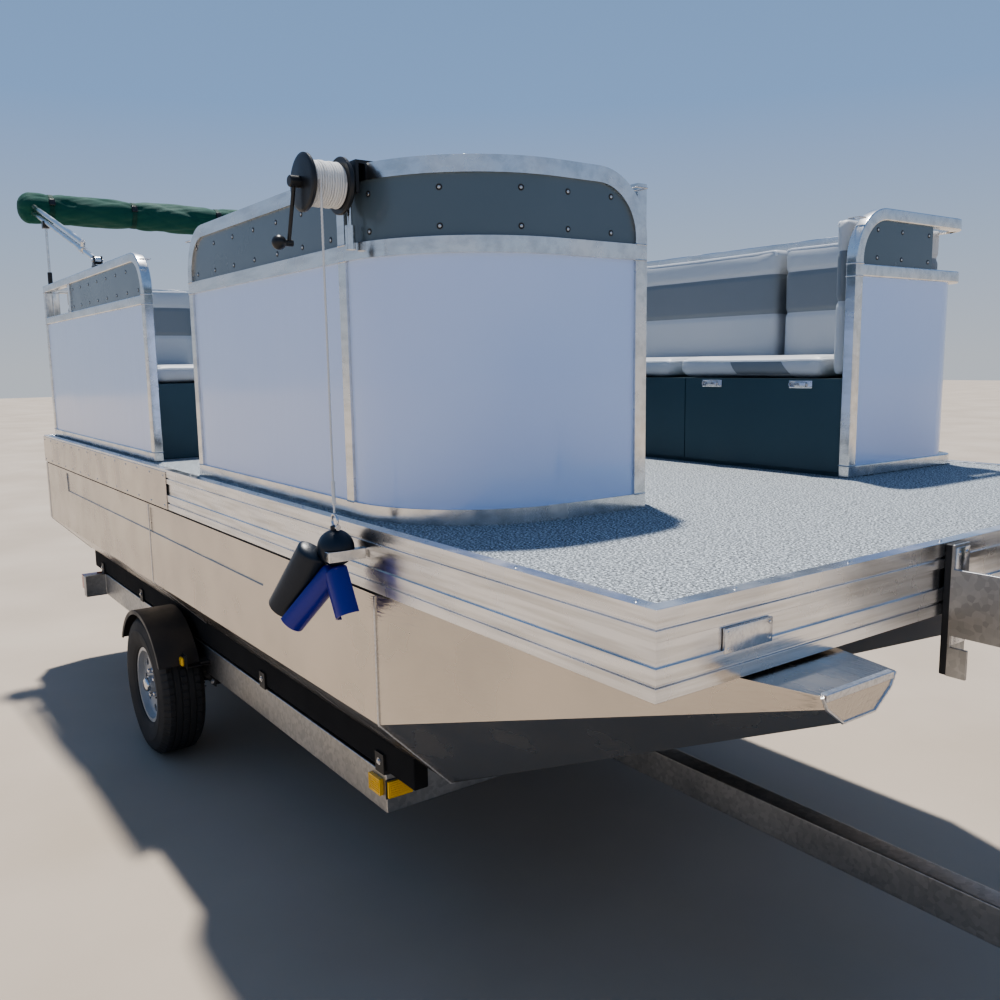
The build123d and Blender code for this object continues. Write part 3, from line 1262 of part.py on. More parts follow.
def build_wheels():
    """The two trailer wheels."""
    ax = aft(AXLE_X)
    radius = TYRE_OD / 2
    inner = RIM_D / 2
    edge = radius - TREAD_DROP
    wall = edge - inner
    side = [
        (inner, RIM_SINK - 2), (inner + wall * 0.18, TYRE_BULGE * 0.3), (inner + wall * 0.5, -TYRE_BULGE),
        (edge - TYRE_SHOULDER, 0), (edge - TYRE_SHOULDER * 0.35, TYRE_SHOULDER * 0.4),
        (edge, TYRE_SHOULDER), (radius - TREAD_DROP * 0.2, TYRE_W * 0.3),
    ]
    section = side + [(radius, TYRE_W / 2)] + [(r, TYRE_W - depth) for r, depth in reversed(side)]
    outline = Polyline(*[(r, 0, depth) for r, depth in section], close=True)
    tyre = revolve(make_face(outline), Axis.Z)
    place = Pos(ax, star(TYRE_Y), AXLE_Z) * Rot(X=-90)
    tyre = place * tyre
    save("tyre_starboard", tyre)
    save("tyre_port", mirrored(tyre))

    barrel = inner - TIGHT
    bore = SPINDLE_D / 2 + TIGHT
    hub = HUB_D / 2
    cap = DISC_SINK - HUB_PROUD
    inside = barrel - RIM_LIP
    section = (
        (0, cap), (hub, cap), (hub, DISC_SINK), (inside, DISC_SINK), (inside, RIM_SINK), (barrel, RIM_SINK),
        (barrel, TYRE_W - RIM_SINK), (inside, TYRE_W - RIM_SINK), (inside, DISC_SINK + DISC_T),
        (hub, DISC_SINK + DISC_T), (hub, TYRE_W - RIM_SINK), (bore, TYRE_W - RIM_SINK),
        (bore, SPINDLE_IN - 2), (0, SPINDLE_IN - 2),
    )
    outline = Polyline(*[(r, 0, depth) for r, depth in section], close=True)
    rim = revolve(make_face(outline), Axis.Z)
    for index in range(VENT_COUNT):
        angle = 2 * math.pi * index / VENT_COUNT
        vent = Pos(VENT_R * math.cos(angle), VENT_R * math.sin(angle), DISC_SINK + DISC_T / 2)
        rim = rim - vent * Cylinder(VENT_D / 2, 2 * DISC_T)
    rim = place * rim
    save("rim_starboard", rim)
    save("rim_port", mirrored(rim))


def build_winch():
    """Winch stand with the two padded stops that the bow rests against, and the winch."""
    post_x = BOW_X + WINCH_POST_X
    middle_x = post_x + POST_W / 2
    half = POST_W / 2
    bar_z = up(-STOP_BAR_DROP)
    stand = block(post_x, post_x + POST_W, -half, half, FRAME_Z0, bar_z)
    stand = stand + block(
        middle_x - POST_FOOT_L / 2, middle_x + POST_FOOT_L / 2, -TONGUE_W / 2, TONGUE_W / 2,
        FRAME_Z0, FRAME_Z0 + POST_FOOT_T,
    )
    stand = stand + block(post_x, post_x + POST_W, star(STOP_Y), -star(STOP_Y), bar_z - half, bar_z + half)
    plate_x = BOW_X + STOP_RUBBER
    low = up(-STOP_H)
    pads = []
    for side in (1, -1):
        y = side * star(STOP_Y)
        web = block(
            plate_x, post_x, y, y + side * STOP_WEB_T, bar_z - STOP_WEB_H / 2, bar_z + STOP_WEB_H / 2
        )
        plate = block(plate_x, plate_x + STOP_PLATE_T, y, y + side * STOP_W, low, up(0))
        tab = block(plate_x, plate_x + STOP_TAB, y, y + side * STOP_PLATE_T, low, low + STOP_TAB_H)
        stand = stand + web + plate + tab
        pads.append(block(BOW_X, plate_x, y, y + side * STOP_W, low, up(0)))
    save("winch_stand", stand)
    save("bow_stop_pads", *pads)

    bar_top = bar_z + half
    drum_z = bar_top + DRUM_LIFT
    reach = DRUM_W / 2
    winch = rod((middle_x, -reach, drum_z), (middle_x, reach, drum_z), DRUM_D)
    wide = reach + WINCH_SIDE_T
    winch = winch + block(post_x, post_x + POST_W, -wide, wide, bar_top, bar_top + WINCH_SIDE_T)
    for side in (-1, 1):
        y = side * reach
        winch = winch + block(post_x, post_x + POST_W, y, y + side * WINCH_SIDE_T, bar_top, drum_z + half)
        flange_y = y - side * DRUM_FLANGE_T
        winch = winch + rod((middle_x, flange_y, drum_z), (middle_x, y, drum_z), DRUM_FLANGE_D)
    gear_y = reach + WINCH_SIDE_T
    winch = winch + rod((middle_x, gear_y, drum_z), (middle_x, gear_y + GEAR_T, drum_z), GEAR_D)
    handle_y = gear_y + GEAR_T + HANDLE_T
    end_x = middle_x + HANDLE_L * 0.6
    end_z = drum_z + HANDLE_L * 0.8
    across_x = HANDLE_D * 0.4
    across_z = HANDLE_D * 0.3
    bar = (
        (middle_x - across_x, drum_z + across_z), (end_x - across_x, end_z + across_z),
        (end_x + across_x, end_z - across_z), (middle_x + across_x, drum_z - across_z),
    )
    winch = winch + prism_y(bar, handle_y, handle_y + HANDLE_T)
    winch = winch + rod((middle_x, gear_y, drum_z), (middle_x, handle_y + 2 * HANDLE_T, drum_z), GRIP_D)
    winch = winch + rod((end_x, handle_y, end_z), (end_x, handle_y + GRIP_L, end_z), GRIP_D)
    strap_z = drum_z - DRUM_D / 2
    strap_x = BOW_X + BOW_EYE_T + HOOK_L
    winch = winch + block(strap_x, middle_x, -STRAP_W / 2, STRAP_W / 2, strap_z, strap_z + STRAP_T)
    winch = winch + block(
        BOW_X + BOW_EYE_T, strap_x, -HOOK_W / 2, HOOK_W / 2, strap_z - STRAP_T, strap_z + 2 * STRAP_T
    )
    winch = winch + block(
        BOW_X, BOW_X + BOW_EYE_T, -BOW_EYE_W / 2, BOW_EYE_W / 2,
        strap_z - BOW_EYE_W / 2, strap_z + BOW_EYE_W / 2,
    )
    save("winch", winch)


def build_jack():
    """Tongue jack, whose foot stands on the origin."""
    section = (
        (0, 0), (JACK_PAD_D / 2, 0), (JACK_PAD_D / 2, JACK_PAD_T), (JACK_LEG_D, JACK_PAD_T),
        (JACK_LEG_D / 2, JACK_PAD_RIM), (JACK_LEG_D / 2, FRAME_Z0 - TONGUE_H), (0, FRAME_Z0 - TONGUE_H),
    )
    outline = Polyline(*[(radius, 0, height) for radius, height in section], close=True)
    save("jack_leg", revolve(make_face(outline), Axis.Z))
    top = FRAME_Z0 + JACK_TOP
    head = rod((0, 0, FRAME_Z0), (0, 0, top), JACK_SLEEVE_D)
    head = head + rod((0, 0, FRAME_Z0), (0, 0, FRAME_Z0 + POST_FOOT_T), 2 * JACK_SLEEVE_D)
    cap_z = top + JACK_CAP_H
    head = head + rod((0, 0, top), (0, 0, cap_z), JACK_LEG_D)
    arm_z = cap_z - HANDLE_D / 2
    head = head + rod((0, 0, arm_z), (-JACK_ARM, 0, arm_z), HANDLE_D)
    head = head + rod((-JACK_ARM, 0, arm_z - HANDLE_D / 2), (-JACK_ARM, 0, arm_z + JACK_GRIP_L), GRIP_D)
    save("jack_head", head)


def build_coupler():
    """Ball coupler: a sleeve over the tongue's end, a rounded head with the socket, and a latch."""
    x0 = TONGUE_AHEAD
    ball_x = x0 + COUPLER_AHEAD
    low = FRAME_Z0 - TONGUE_H
    beside = TONGUE_W / 2
    wall = COUPLER_WALL
    sleeve = block(x0 - COUPLER_LAP, ball_x, -beside - wall, beside + wall, low - wall, FRAME_Z0 + wall)
    sleeve = sleeve - block(x0 - COUPLER_LAP - 1, x0, -beside, beside, low, FRAME_Z0)
    rest = block(x0, ball_x + COUPLER_HEAD_D, -TONGUE_W, TONGUE_W, low - 2 * wall, FRAME_Z0 - TONGUE_H / 2)
    head = Pos(ball_x, 0, FRAME_Z0 + wall - TONGUE_H / 4 - wall / 2) * Cylinder(
        COUPLER_HEAD_D / 2, TONGUE_H / 2 + wall
    )
    latch = block(
        ball_x - LATCH_L, ball_x, -LATCH_W / 2, LATCH_W / 2, FRAME_Z0 + wall, FRAME_Z0 + wall + LATCH_W
    )
    body = sleeve - rest + head + latch
    socket_z = FRAME_Z0 - TONGUE_H / 2
    save("coupler", body - rod((ball_x, 0, socket_z - 1), (ball_x, 0, socket_z + BALL_DEPTH), 2 * BALL_R))


def build_motor_pod():
    """Mount for an outboard, between the pontoons at the stern."""
    x0 = aft(DECK_LENGTH)
    x1 = x0 + POD_T
    low = HULL_Z0 + POD_BOTTOM
    plate = block(x0, x1, -POD_HALF, POD_HALF, low, RAIL_Z0)
    for half, drop in POD_BOLTS:
        for y in (-half, half):
            plate = plate - rod((x0 - 1, y, RAIL_Z0 - drop), (x1 + 1, y, RAIL_Z0 - drop), BOLT_D)
    deck_z = RAIL_Z0 + RAIL_FLANGE_T
    side = ((x1, deck_z), (x0 + POD_WEB_L, deck_z), (x1, low))
    for y in (-POD_HALF, POD_HALF - POD_WEB_T):
        plate = plate + prism_y(side, y, y + POD_WEB_T)
    save("motor_pod", plate)


os.makedirs("parts", exist_ok=True)
build_pontoons()
build_deck()
build_fences()
build_gates()
build_seats()
build_helm()
build_chair()
build_bimini()
build_reel()
build_anchor()
build_trailer()
build_motor_pod()
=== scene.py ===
"""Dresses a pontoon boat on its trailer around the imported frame.

Lengths are metres in the frame's own axes: +X to the bow, +Y to port, +Z up. Distances "behind the
bow", "in from the side" and "above the deck" are turned into places by the Layout, which is read
from the frame. Surfaces are grids of points worked out with numpy as whole arrays.
"""

from __future__ import annotations

import logging
import math
from collections.abc import Sequence
from dataclasses import dataclass, replace
from enum import Enum

import bmesh
import bpy
import numpy as np
from mathutils import Matrix, Vector
from mathutils.bvhtree import BVHTree

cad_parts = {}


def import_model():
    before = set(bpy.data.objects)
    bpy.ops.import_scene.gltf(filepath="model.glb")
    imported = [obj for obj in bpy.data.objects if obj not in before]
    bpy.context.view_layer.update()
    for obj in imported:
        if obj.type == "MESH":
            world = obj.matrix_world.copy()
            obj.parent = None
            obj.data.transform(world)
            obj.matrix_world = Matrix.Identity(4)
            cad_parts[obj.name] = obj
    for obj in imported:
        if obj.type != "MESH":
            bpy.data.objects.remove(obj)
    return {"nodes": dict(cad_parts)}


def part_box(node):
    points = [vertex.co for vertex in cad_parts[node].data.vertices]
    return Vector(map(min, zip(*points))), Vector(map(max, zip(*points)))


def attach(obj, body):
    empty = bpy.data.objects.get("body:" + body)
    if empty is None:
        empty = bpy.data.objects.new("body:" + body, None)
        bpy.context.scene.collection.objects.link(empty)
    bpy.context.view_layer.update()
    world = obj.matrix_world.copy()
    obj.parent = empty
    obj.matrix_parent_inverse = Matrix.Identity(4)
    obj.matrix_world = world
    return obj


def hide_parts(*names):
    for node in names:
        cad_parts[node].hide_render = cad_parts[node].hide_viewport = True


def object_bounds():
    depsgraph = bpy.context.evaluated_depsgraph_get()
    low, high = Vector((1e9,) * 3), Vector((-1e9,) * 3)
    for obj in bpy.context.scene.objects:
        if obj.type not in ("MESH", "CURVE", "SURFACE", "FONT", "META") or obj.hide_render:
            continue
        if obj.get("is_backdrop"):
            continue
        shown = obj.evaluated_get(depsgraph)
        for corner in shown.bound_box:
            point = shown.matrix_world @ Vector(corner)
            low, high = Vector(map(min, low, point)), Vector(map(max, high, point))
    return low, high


LOG = logging.getLogger("pontoon_boat")
TAU = 2 * math.pi

Array = np.ndarray
Point = tuple[float, float, float]
Colour = tuple[float, float, float]


# Shapes worked out as arrays

# Signs of a rectangle's four quarters, in turning order
QUARTERS = ((1, 1), (-1, 1), (-1, -1), (1, -1))


@dataclass
class Shape:
    """Points and the faces between them.

    Attributes:
        points: one row per point.
        faces: arrays of point numbers, one row per face; all faces of an array have as many corners.
    """

    points: Array
    faces: list[Array]

    def __add__(self, other: Shape) -> Shape:
        """Both shapes together."""
        moved = [rows + len(self.points) for rows in other.faces]
        return Shape(np.vstack([self.points, other.points]), self.faces + moved)

    def at(self, places: Array) -> Shape:
        """A copy at each place.

        Args:
            places: one 4 x 4 matrix, or a stack of them.

        Returns:
            The copies as one shape: every point times every matrix.
        """
        places = np.asarray(places, float).reshape(-1, 4, 4)
        turned = np.einsum("kij,nj->kni", places[:, :3, :3], self.points) + places[:, None, :3, 3]
        shifts = np.arange(len(places))[:, None, None] * len(self.points)
        faces = [(rows[None] + shifts).reshape(-1, rows.shape[1]) for rows in self.faces]
        return Shape(turned.reshape(-1, 3), faces)

    def both_sides(self) -> Shape:
        """The shape with its reflection in the boat's middle plane."""
        return self + Shape(self.points * np.array([1.0, -1.0, 1.0]), self.faces)

    def capped(self, count: int) -> Shape:
        """The shape with a face across its first and its last ring of so many points."""
        ring = np.arange(count)
        return Shape(self.points, [*self.faces, np.stack([ring, ring + len(self.points) - count])])


def joined(shapes: Sequence[Shape]) -> Shape:
    """All the shapes as one."""
    total = shapes[0]
    for shape in shapes[1:]:
        total = total + shape
    return total


def grid(points: Array, wrap_rows: bool = False, wrap_cols: bool = False) -> Shape:
    """Surface over a grid of points.

    Each face joins the points (i, j), (i+1, j), (i+1, j+1) and (i, j+1).

    Args:
        points: array of rows x columns x 3.
        wrap_rows: the last row joins the first.
        wrap_cols: the last column joins the first.

    Returns:
        The open or wrapped surface.
    """
    rows, cols = points.shape[:2]
    number = np.arange(rows * cols).reshape(rows, cols)
    if wrap_rows:
        number = np.vstack([number, number[:1]])
    if wrap_cols:
        number = np.hstack([number, number[:, :1]])
    corners = (number[:-1, :-1], number[1:, :-1], number[1:, 1:], number[:-1, 1:])
    quads = np.stack(corners, axis=-1).reshape(-1, 4)
    return Shape(points.reshape(-1, 3), [quads])


def unit(vectors: Array) -> Array:
    """The vectors divided by their lengths."""
    return vectors / np.linalg.norm(vectors, axis=-1, keepdims=True)


def turns_of(steps: int) -> Array:
    """Equal steps of a full turn, in radians."""
    return np.arange(steps) / steps * TAU


def circle(radius: float, steps: int = 12) -> Array:
    """Closed round profile: (r cos t, r sin t) for equal steps of t."""
    return radius * np.stack([np.cos(turns_of(steps)), np.sin(turns_of(steps))], axis=-1)


def about_y(x: float, y: Array | float, z: float, radius: Array | float, turn: Array) -> Array:
    """Points round a line along Y through (x, z): (x + r cos t, y, z + r sin t)."""
    places = np.broadcast_arrays(x + radius * np.cos(turn), y, z + radius * np.sin(turn))
    return np.stack(places, axis=-1)


def directions(rise: Array, turn: Array) -> Array:
    """Unit directions (cos r cos t, cos r sin t, sin r) for every rise r and turn t."""
    r, t = np.meshgrid(rise, turn, indexing="ij")
    return np.stack([np.cos(r) * np.cos(t), np.cos(r) * np.sin(t), np.sin(r)], axis=-1)


def measured(path: Array) -> Array:
    """Distance along the path at which each of its points lies."""
    return np.concatenate([[0], np.cumsum(np.linalg.norm(np.diff(path, axis=0), axis=1))])


def spaced(corners: Array, per_metre: float) -> tuple[Array, Array]:
    """Points evenly spaced along the straight legs between corners.

    Args:
        corners: one row per corner.
        per_metre: points a metre.

    Returns:
        The points, and the distance along the path of each.
    """
    along = measured(corners)
    steps = np.linspace(0, along[-1], int(along[-1] * per_metre))
    return np.stack([np.interp(steps, along, column) for column in corners.T], axis=-1), steps


def sweep(
    path: Array, profile: Array, up: Point = (0, 0, 1), scale: Array | None = None,
    closed: bool = False, twist: Array | None = None,
) -> Shape:
    """Closed profile carried along a path.

    At each path point the profile's first axis is the tangent crossed with up, and its second is
    that side crossed with the tangent. Each ring is path + scale * (a * side + b * lift).

    Args:
        path: n x 3 points.
        profile: m x 2 points, a closed outline.
        up: a direction that the path never runs along.
        scale: size of the profile at each path point.
        closed: the path's end joins its start.
        twist: turn of the profile at each path point, in radians.

    Returns:
        The tube, capped at both ends unless it is closed.
    """
    path = np.asarray(path, float)
    if closed:
        tangent = unit(np.roll(path, -1, axis=0) - np.roll(path, 1, axis=0))
    else:
        tangent = unit(np.gradient(path, axis=0))
    side = unit(np.cross(tangent, np.asarray(up, float)))
    lift = np.cross(side, tangent)
    size = np.ones(len(path)) if scale is None else scale
    across = np.broadcast_to(profile[:, 0], (len(path), len(profile)))
    upward = np.broadcast_to(profile[:, 1], (len(path), len(profile)))
    if twist is not None:
        cos, sin = np.cos(twist)[:, None], np.sin(twist)[:, None]
        across, upward = across * cos - upward * sin, across * sin + upward * cos
    rings = path[:, None] + size[:, None, None] * (
        across[..., None] * side[:, None] + upward[..., None] * lift[:, None]
    )
    tube = grid(rings, wrap_rows=closed, wrap_cols=True)
    return tube if closed else tube.capped(len(profile))


def lathe(profile: Sequence[tuple[float, float]], turns: int = 32) -> Shape:
    """Profile of (radius, height) turned about Z: (r cos t, r sin t, h).

    Args:
        profile: from the bottom of the axis out and back to the top of the axis, or a closed loop
            that keeps clear of it.
        turns: steps round the axis.

    Returns:
        The turned surface; points on the axis are merged when it is made.
    """
    radius, height = np.asarray(profile, float)[:, :, None].transpose(1, 0, 2)
    turn = turns_of(turns)
    rings = np.broadcast_arrays(radius * np.cos(turn), radius * np.sin(turn), height)
    return grid(np.stack(rings, axis=-1), wrap_rows=bool(radius.min() > 0), wrap_cols=True)


def slab(low: Point, high: Point, radius: float, steps: int = 5) -> Shape:
    """Box with rounded edges and corners.

    It is a ball of directions d whose eight octants are pushed apart: each point is the middle plus
    sign(octant) * (half size - radius) plus radius * d.

    Args:
        low: lowest corner.
        high: highest corner.
        radius: rounding of every edge.
        steps: points along each rounded corner.

    Returns:
        A closed shape.
    """
    low_corner, high_corner = np.asarray(low, float), np.asarray(high, float)
    middle, half = (low_corner + high_corner) / 2, (high_corner - low_corner) / 2
    quarter = np.linspace(0, math.pi / 2, steps)
    turn = np.concatenate([quarter + index * math.pi / 2 for index in range(4)])
    ball = directions(np.concatenate([quarter - math.pi / 2, quarter]), turn)
    signs = np.empty_like(ball)
    signs[..., :2] = np.repeat(QUARTERS, steps, axis=0)
    signs[..., 2] = np.repeat([-1, 1], steps)[:, None]
    points = middle + signs * (half - radius) + radius * ball
    return grid(points, wrap_cols=True).capped(len(turn))


def places(origins: Array, axis: Point | Array) -> Array:
    """Matrices that put a shape's Z along an axis at each origin.

    The X of each place is the frame's X crossed with the axis, or its Y where the axis runs along X.

    Args:
        origins: k x 3 points.
        axis: one direction for all, or k of them.

    Returns:
        k x 4 x 4 matrices.
    """
    origins = np.atleast_2d(np.asarray(origins, float))
    lift = unit(np.broadcast_to(np.asarray(axis, float), origins.shape))
    spare = np.where(np.abs(lift[:, :1]) < 0.8, [[1.0, 0.0, 0.0]], [[0.0, 1.0, 0.0]])
    first = unit(np.cross(spare, lift))
    out = np.zeros((len(origins), 4, 4))
    out[:, :3, 0] = first
    out[:, :3, 1] = np.cross(lift, first)
    out[:, :3, 2] = lift
    out[:, :3, 3] = origins
    out[:, 3, 3] = 1
    return out


def spots(xs: Sequence[float], ys: Sequence[float], zs: Sequence[float]) -> Array:
    """Every combination of the three lists, one point a row."""
    return np.stack(np.meshgrid(xs, ys, zs, indexing="ij"), axis=-1).reshape(-1, 3)


def rounded_loop(half_a: float, half_b: float, radius: float, steps: int = 10) -> Array:
    """Closed rounded rectangle in its own plane.

    It is a circle whose quarters are moved apart by the half sizes less the radius. A stretch more
    than 2.5 times as long as most is a straight side, which is divided evenly.

    Args:
        half_a: half of its first size.
        half_b: half of its second size.
        radius: rounding of its corners.
        steps: points on each corner, and half of those on a side.

    Returns:
        The outline as n x 2 points.
    """
    apart = np.array([half_a, half_b]) - radius
    corners = circle(radius, 4 * steps) + np.repeat(QUARTERS, steps, axis=0) * apart
    leg = np.roll(corners, -1, axis=0) - corners
    gap = np.linalg.norm(leg, axis=1)
    count = np.where(gap > 2.5 * np.median(gap), steps * 2, 1)
    start = np.repeat(np.arange(len(corners)), count)
    share = (np.arange(len(start)) - (np.cumsum(count) - count)[start]) / count[start]
    return corners[start] + share[:, None] * leg[start]


# Small fastenings, drawn on the origin with their seat at z = 0 and their head along +Z


def screw_head(radius: float = 0.005) -> Shape:
    """Pan head: a low dome with a rolled edge."""
    edge = [(0.0, -0.001), (radius, -0.001), (radius, radius * 0.25), (radius * 0.75, radius * 0.5)]
    return lathe([*edge, (0.0, radius * 0.6)], turns=8)


def hex_bolt(flats: float = 0.017, height: float = 0.009) -> Shape:
    """Hexagon head on a round washer.

    Args:
        flats: size across two opposite flats.
        height: height of the head.

    Returns:
        The head and its washer.
    """
    corner = flats / math.sqrt(3)
    rim = [(0.0, 0.0), (corner, 0.0), (corner, height * 0.85), (corner * 0.85, height), (0.0, height)]
    washer = lathe([(0.0, -0.001), (corner * 1.45, -0.001), (corner * 1.45, 0.002), (0.0, 0.002)], 16)
    return lathe(rim, turns=6) + washer


# Finishes


class Texture(Enum):
    """Kinds of fine surface detail."""

    SMOOTH = "moulded or painted, nearly smooth"
    ROLLED = "rolled sheet with broad waves"
    BRUSHED = "drawn along its length"
    SPECKLE = "flecked floor"
    GRAIN = "leather grain"
    WEAVE = "crossing threads"
    SPANGLE = "crystal patches of zinc"
    RUBBER = "dull rubber"
    FIBRE = "short standing fibres"


class Wiring:
    """Adds nodes to one material or sky and joins them up."""

    def __init__(self, owner: bpy.types.Material | bpy.types.World, output: str = "Object") -> None:
        """Clears the owner's tree and adds its coordinates.

        Args:
            owner: the material or the sky.
            output: kind of coordinates.
        """
        owner.use_nodes = True
        self.tree = owner.node_tree
        self.tree.nodes.clear()
        self.place = self.add("TexCoord").outputs[output]

    def add(self, kind: str, inputs: dict | None = None, **settings: object) -> bpy.types.Node:
        """Adds a node.

        Args:
            kind: node type without its "ShaderNode" prefix.
            inputs: values or sockets for its inputs, by name or number.
            settings: the node's own properties.

        Returns:
            The node.
        """
        node = self.tree.nodes.new("ShaderNode" + kind)
        for name, value in settings.items():
            setattr(node, name, value)
        for name, value in (inputs or {}).items():
            if isinstance(value, bpy.types.NodeSocket):
                self.tree.links.new(value, node.inputs[name])
            else:
                node.inputs[name].default_value = value
        return node

    def stretched(self, scale: Point) -> bpy.types.NodeSocket:
        """Object coordinates multiplied axis by axis."""
        return self.add("Mapping", {"Vector": self.place, "Scale": scale}).outputs["Vector"]

    def noise(
        self, scale: float, detail: float = 2.0, where: bpy.types.NodeSocket | None = None
    ) -> bpy.types.NodeSocket:
        """Smooth noise with so many waves per metre."""
        inputs = {"Vector": where or self.place, "Scale": scale, "Detail": detail}
        return self.add("TexNoise", inputs).outputs["Fac"]

    def cells(self, scale: float, output: str = "Distance") -> bpy.types.NodeSocket:
        """Voronoi cells, so many per metre."""
        return self.add("TexVoronoi", {"Vector": self.place, "Scale": scale}).outputs[output]

    def span(
        self, value: bpy.types.NodeSocket, low: float, high: float, to_low: float, to_high: float
    ) -> bpy.types.NodeSocket:
        """Maps low..high to to_low..to_high, clamped."""
        inputs = {0: value, 1: low, 2: high, 3: to_low, 4: to_high}
        return self.add("MapRange", inputs, clamp=True).outputs[0]

    def mix(
        self, share: bpy.types.NodeSocket, first: object, second: object
    ) -> bpy.types.NodeSocket:
        """Colour between two colours or sockets."""
        inputs = {0: share, 6: _rgba(first), 7: _rgba(second)}
        return self.add("Mix", inputs, data_type="RGBA").outputs[2]

    def sum(self, kind: str, *values: object) -> bpy.types.NodeSocket:
        """One arithmetic step of the named kind."""
        return self.add("Math", dict(enumerate(values)), operation=kind).outputs[0]


def _rgba(colour: object) -> object:
    """A colour with full opacity, or the socket as it is."""
    return colour if isinstance(colour, bpy.types.NodeSocket) else (*colour, 1.0)


@dataclass(frozen=True)
class Finish:
    """One surface finish.

    Attributes:
        name: the material's name.
        colour: base colour.
        texture: kind of fine detail.
        second: colour of the detail's other part, such as flecks or worn places.
        metallic: 0 or 1.
        roughness: middle roughness.
        scatter: how far the roughness strays.
        depth: height of the fine relief in metres.
        scale: waves, threads or cells of the detail per metre.
        along: stretch of the detail on each axis.
        coat: clear coat weight.
        sheen: cloth sheen weight.
        clear: share of light let through.
        bands: (bottom, top) heights that take the second colour.
        dust: colour of the dust on a banded finish.
    """

    name: str
    colour: Colour
    texture: Texture = Texture.SMOOTH
    second: Colour | None = None
    metallic: float = 0.0
    roughness: float = 0.4
    scatter: float = 0.08
    depth: float = 0.0003
    scale: float = 400.0
    along: Point = (1.0, 1.0, 1.0)
    coat: float = 0.0
    sheen: float = 0.0
    clear: float = 0.0
    bands: tuple[tuple[float, float], ...] = ()
    dust: Colour = (0.50, 0.49, 0.47)

    def relief(self, wires: Wiring) -> bpy.types.NodeSocket:
        """Height of the fine detail.

        Args:
            wires: the material's nodes.

        Returns:
            The height, mostly 0 to 1.
        """
        if self.texture is Texture.ROLLED:
            broad = wires.noise(2.6, 1.0)
            fine = wires.noise(self.scale, 3.0, wires.stretched(self.along))
            return wires.sum("MULTIPLY_ADD", broad, 6.0, fine)
        if self.texture is Texture.GRAIN:
            return wires.sum("MULTIPLY_ADD", wires.noise(9.0), 1.5, wires.cells(self.scale))
        if self.texture is Texture.WEAVE:
            waves = [
                wires.add(
                    "TexWave", {"Vector": wires.place, "Scale": self.scale, "Distortion": 0.4},
                    bands_direction=axis,
                ).outputs["Fac"]
                for axis in ("X", "Y", "Z")
            ]
            return wires.sum("ADD", wires.sum("MULTIPLY", waves[0], waves[1]), waves[2])
        if self.texture is Texture.SPANGLE:
            return wires.cells(self.scale)
        if self.texture is Texture.SPECKLE:
            return wires.noise(self.scale, 3.0)
        return wires.noise(self.scale, 4.0, wires.stretched(self.along))

    def paint(self, wires: Wiring) -> bpy.types.NodeSocket:
        """Colour with its variation: flecks, spangles, worn places and bands.

        Args:
            wires: the material's nodes.

        Returns:
            The colour.
        """
        second = self.second or tuple(0.82 * part for part in self.colour)
        if self.texture is Texture.SPECKLE:
            soft = wires.mix(wires.span(wires.noise(1.3, 3.0), 0.35, 0.65, 0.0, 0.35), self.colour, second)
            light = tuple(min(1.0, 2.3 * part + 0.16) for part in self.colour)
            dark = tuple(0.2 * part for part in self.colour)
            bright = wires.span(wires.noise(self.scale, 1.0), 0.55, 0.60, 0.0, 1.0)
            deep = wires.span(wires.noise(self.scale * 0.83, 1.0), 0.54, 0.59, 0.0, 1.0)
            return wires.mix(bright, wires.mix(deep, soft, dark), light)
        if self.texture is Texture.SPANGLE:
            cell = wires.cells(self.scale, "Color")
            return wires.mix(wires.span(cell, 0.2, 0.8, 0.0, 1.0), self.colour, second)
        if self.bands:
            height = wires.add("SeparateXYZ", {0: wires.place}).outputs["Z"]
            inside = None
            for low, high in self.bands:
                above = wires.sum("GREATER_THAN", height, low)
                below = wires.sum("LESS_THAN", height, high)
                band = wires.sum("MULTIPLY", above, below)
                inside = band if inside is None else wires.sum("MAXIMUM", inside, band)
            worn = wires.span(wires.noise(5.0, 4.0), 0.3, 0.75, 0.0, 0.10)
            dusty = wires.mix(worn, self.colour, self.dust)
            return wires.mix(inside, dusty, second)
        if self.texture is Texture.BRUSHED:
            streaks = wires.noise(self.scale * 0.3, 4.0, wires.stretched(self.along))
            return wires.mix(wires.span(streaks, 0.42, 0.66, 0.0, 0.85), self.colour, second)
        share = wires.span(wires.noise(3.1, 5.0), 0.32, 0.72, 0.0, 0.55)
        return wires.mix(share, self.colour, second)

    def material(self) -> bpy.types.Material:
        """The finish as a material, made once."""
        known = bpy.data.materials.get(self.name)
        if known:
            return known
        made = bpy.data.materials.new(self.name)
        wires = Wiring(made)
        rough_low = max(0.02, self.roughness - self.scatter)
        rough_high = min(1.0, self.roughness + self.scatter)
        blotch = wires.noise(self.scale * 0.02 + 3.0, 4.0)
        bump = wires.add(
            "Bump", {"Height": self.relief(wires), "Distance": self.depth, "Strength": 1.0}
        )
        inputs = {
            "Base Color": self.paint(wires),
            "Roughness": wires.span(blotch, 0.3, 0.7, rough_low, rough_high),
            "Normal": bump.outputs["Normal"],
            "Metallic": self.metallic,
            "Coat Weight": self.coat,
            "Coat Roughness": 0.08,
            "Sheen Weight": self.sheen,
            "Transmission Weight": self.clear,
        }
        shader = wires.add("BsdfPrincipled", inputs)
        wires.add("OutputMaterial", {"Surface": shader.outputs[0]})
        return made


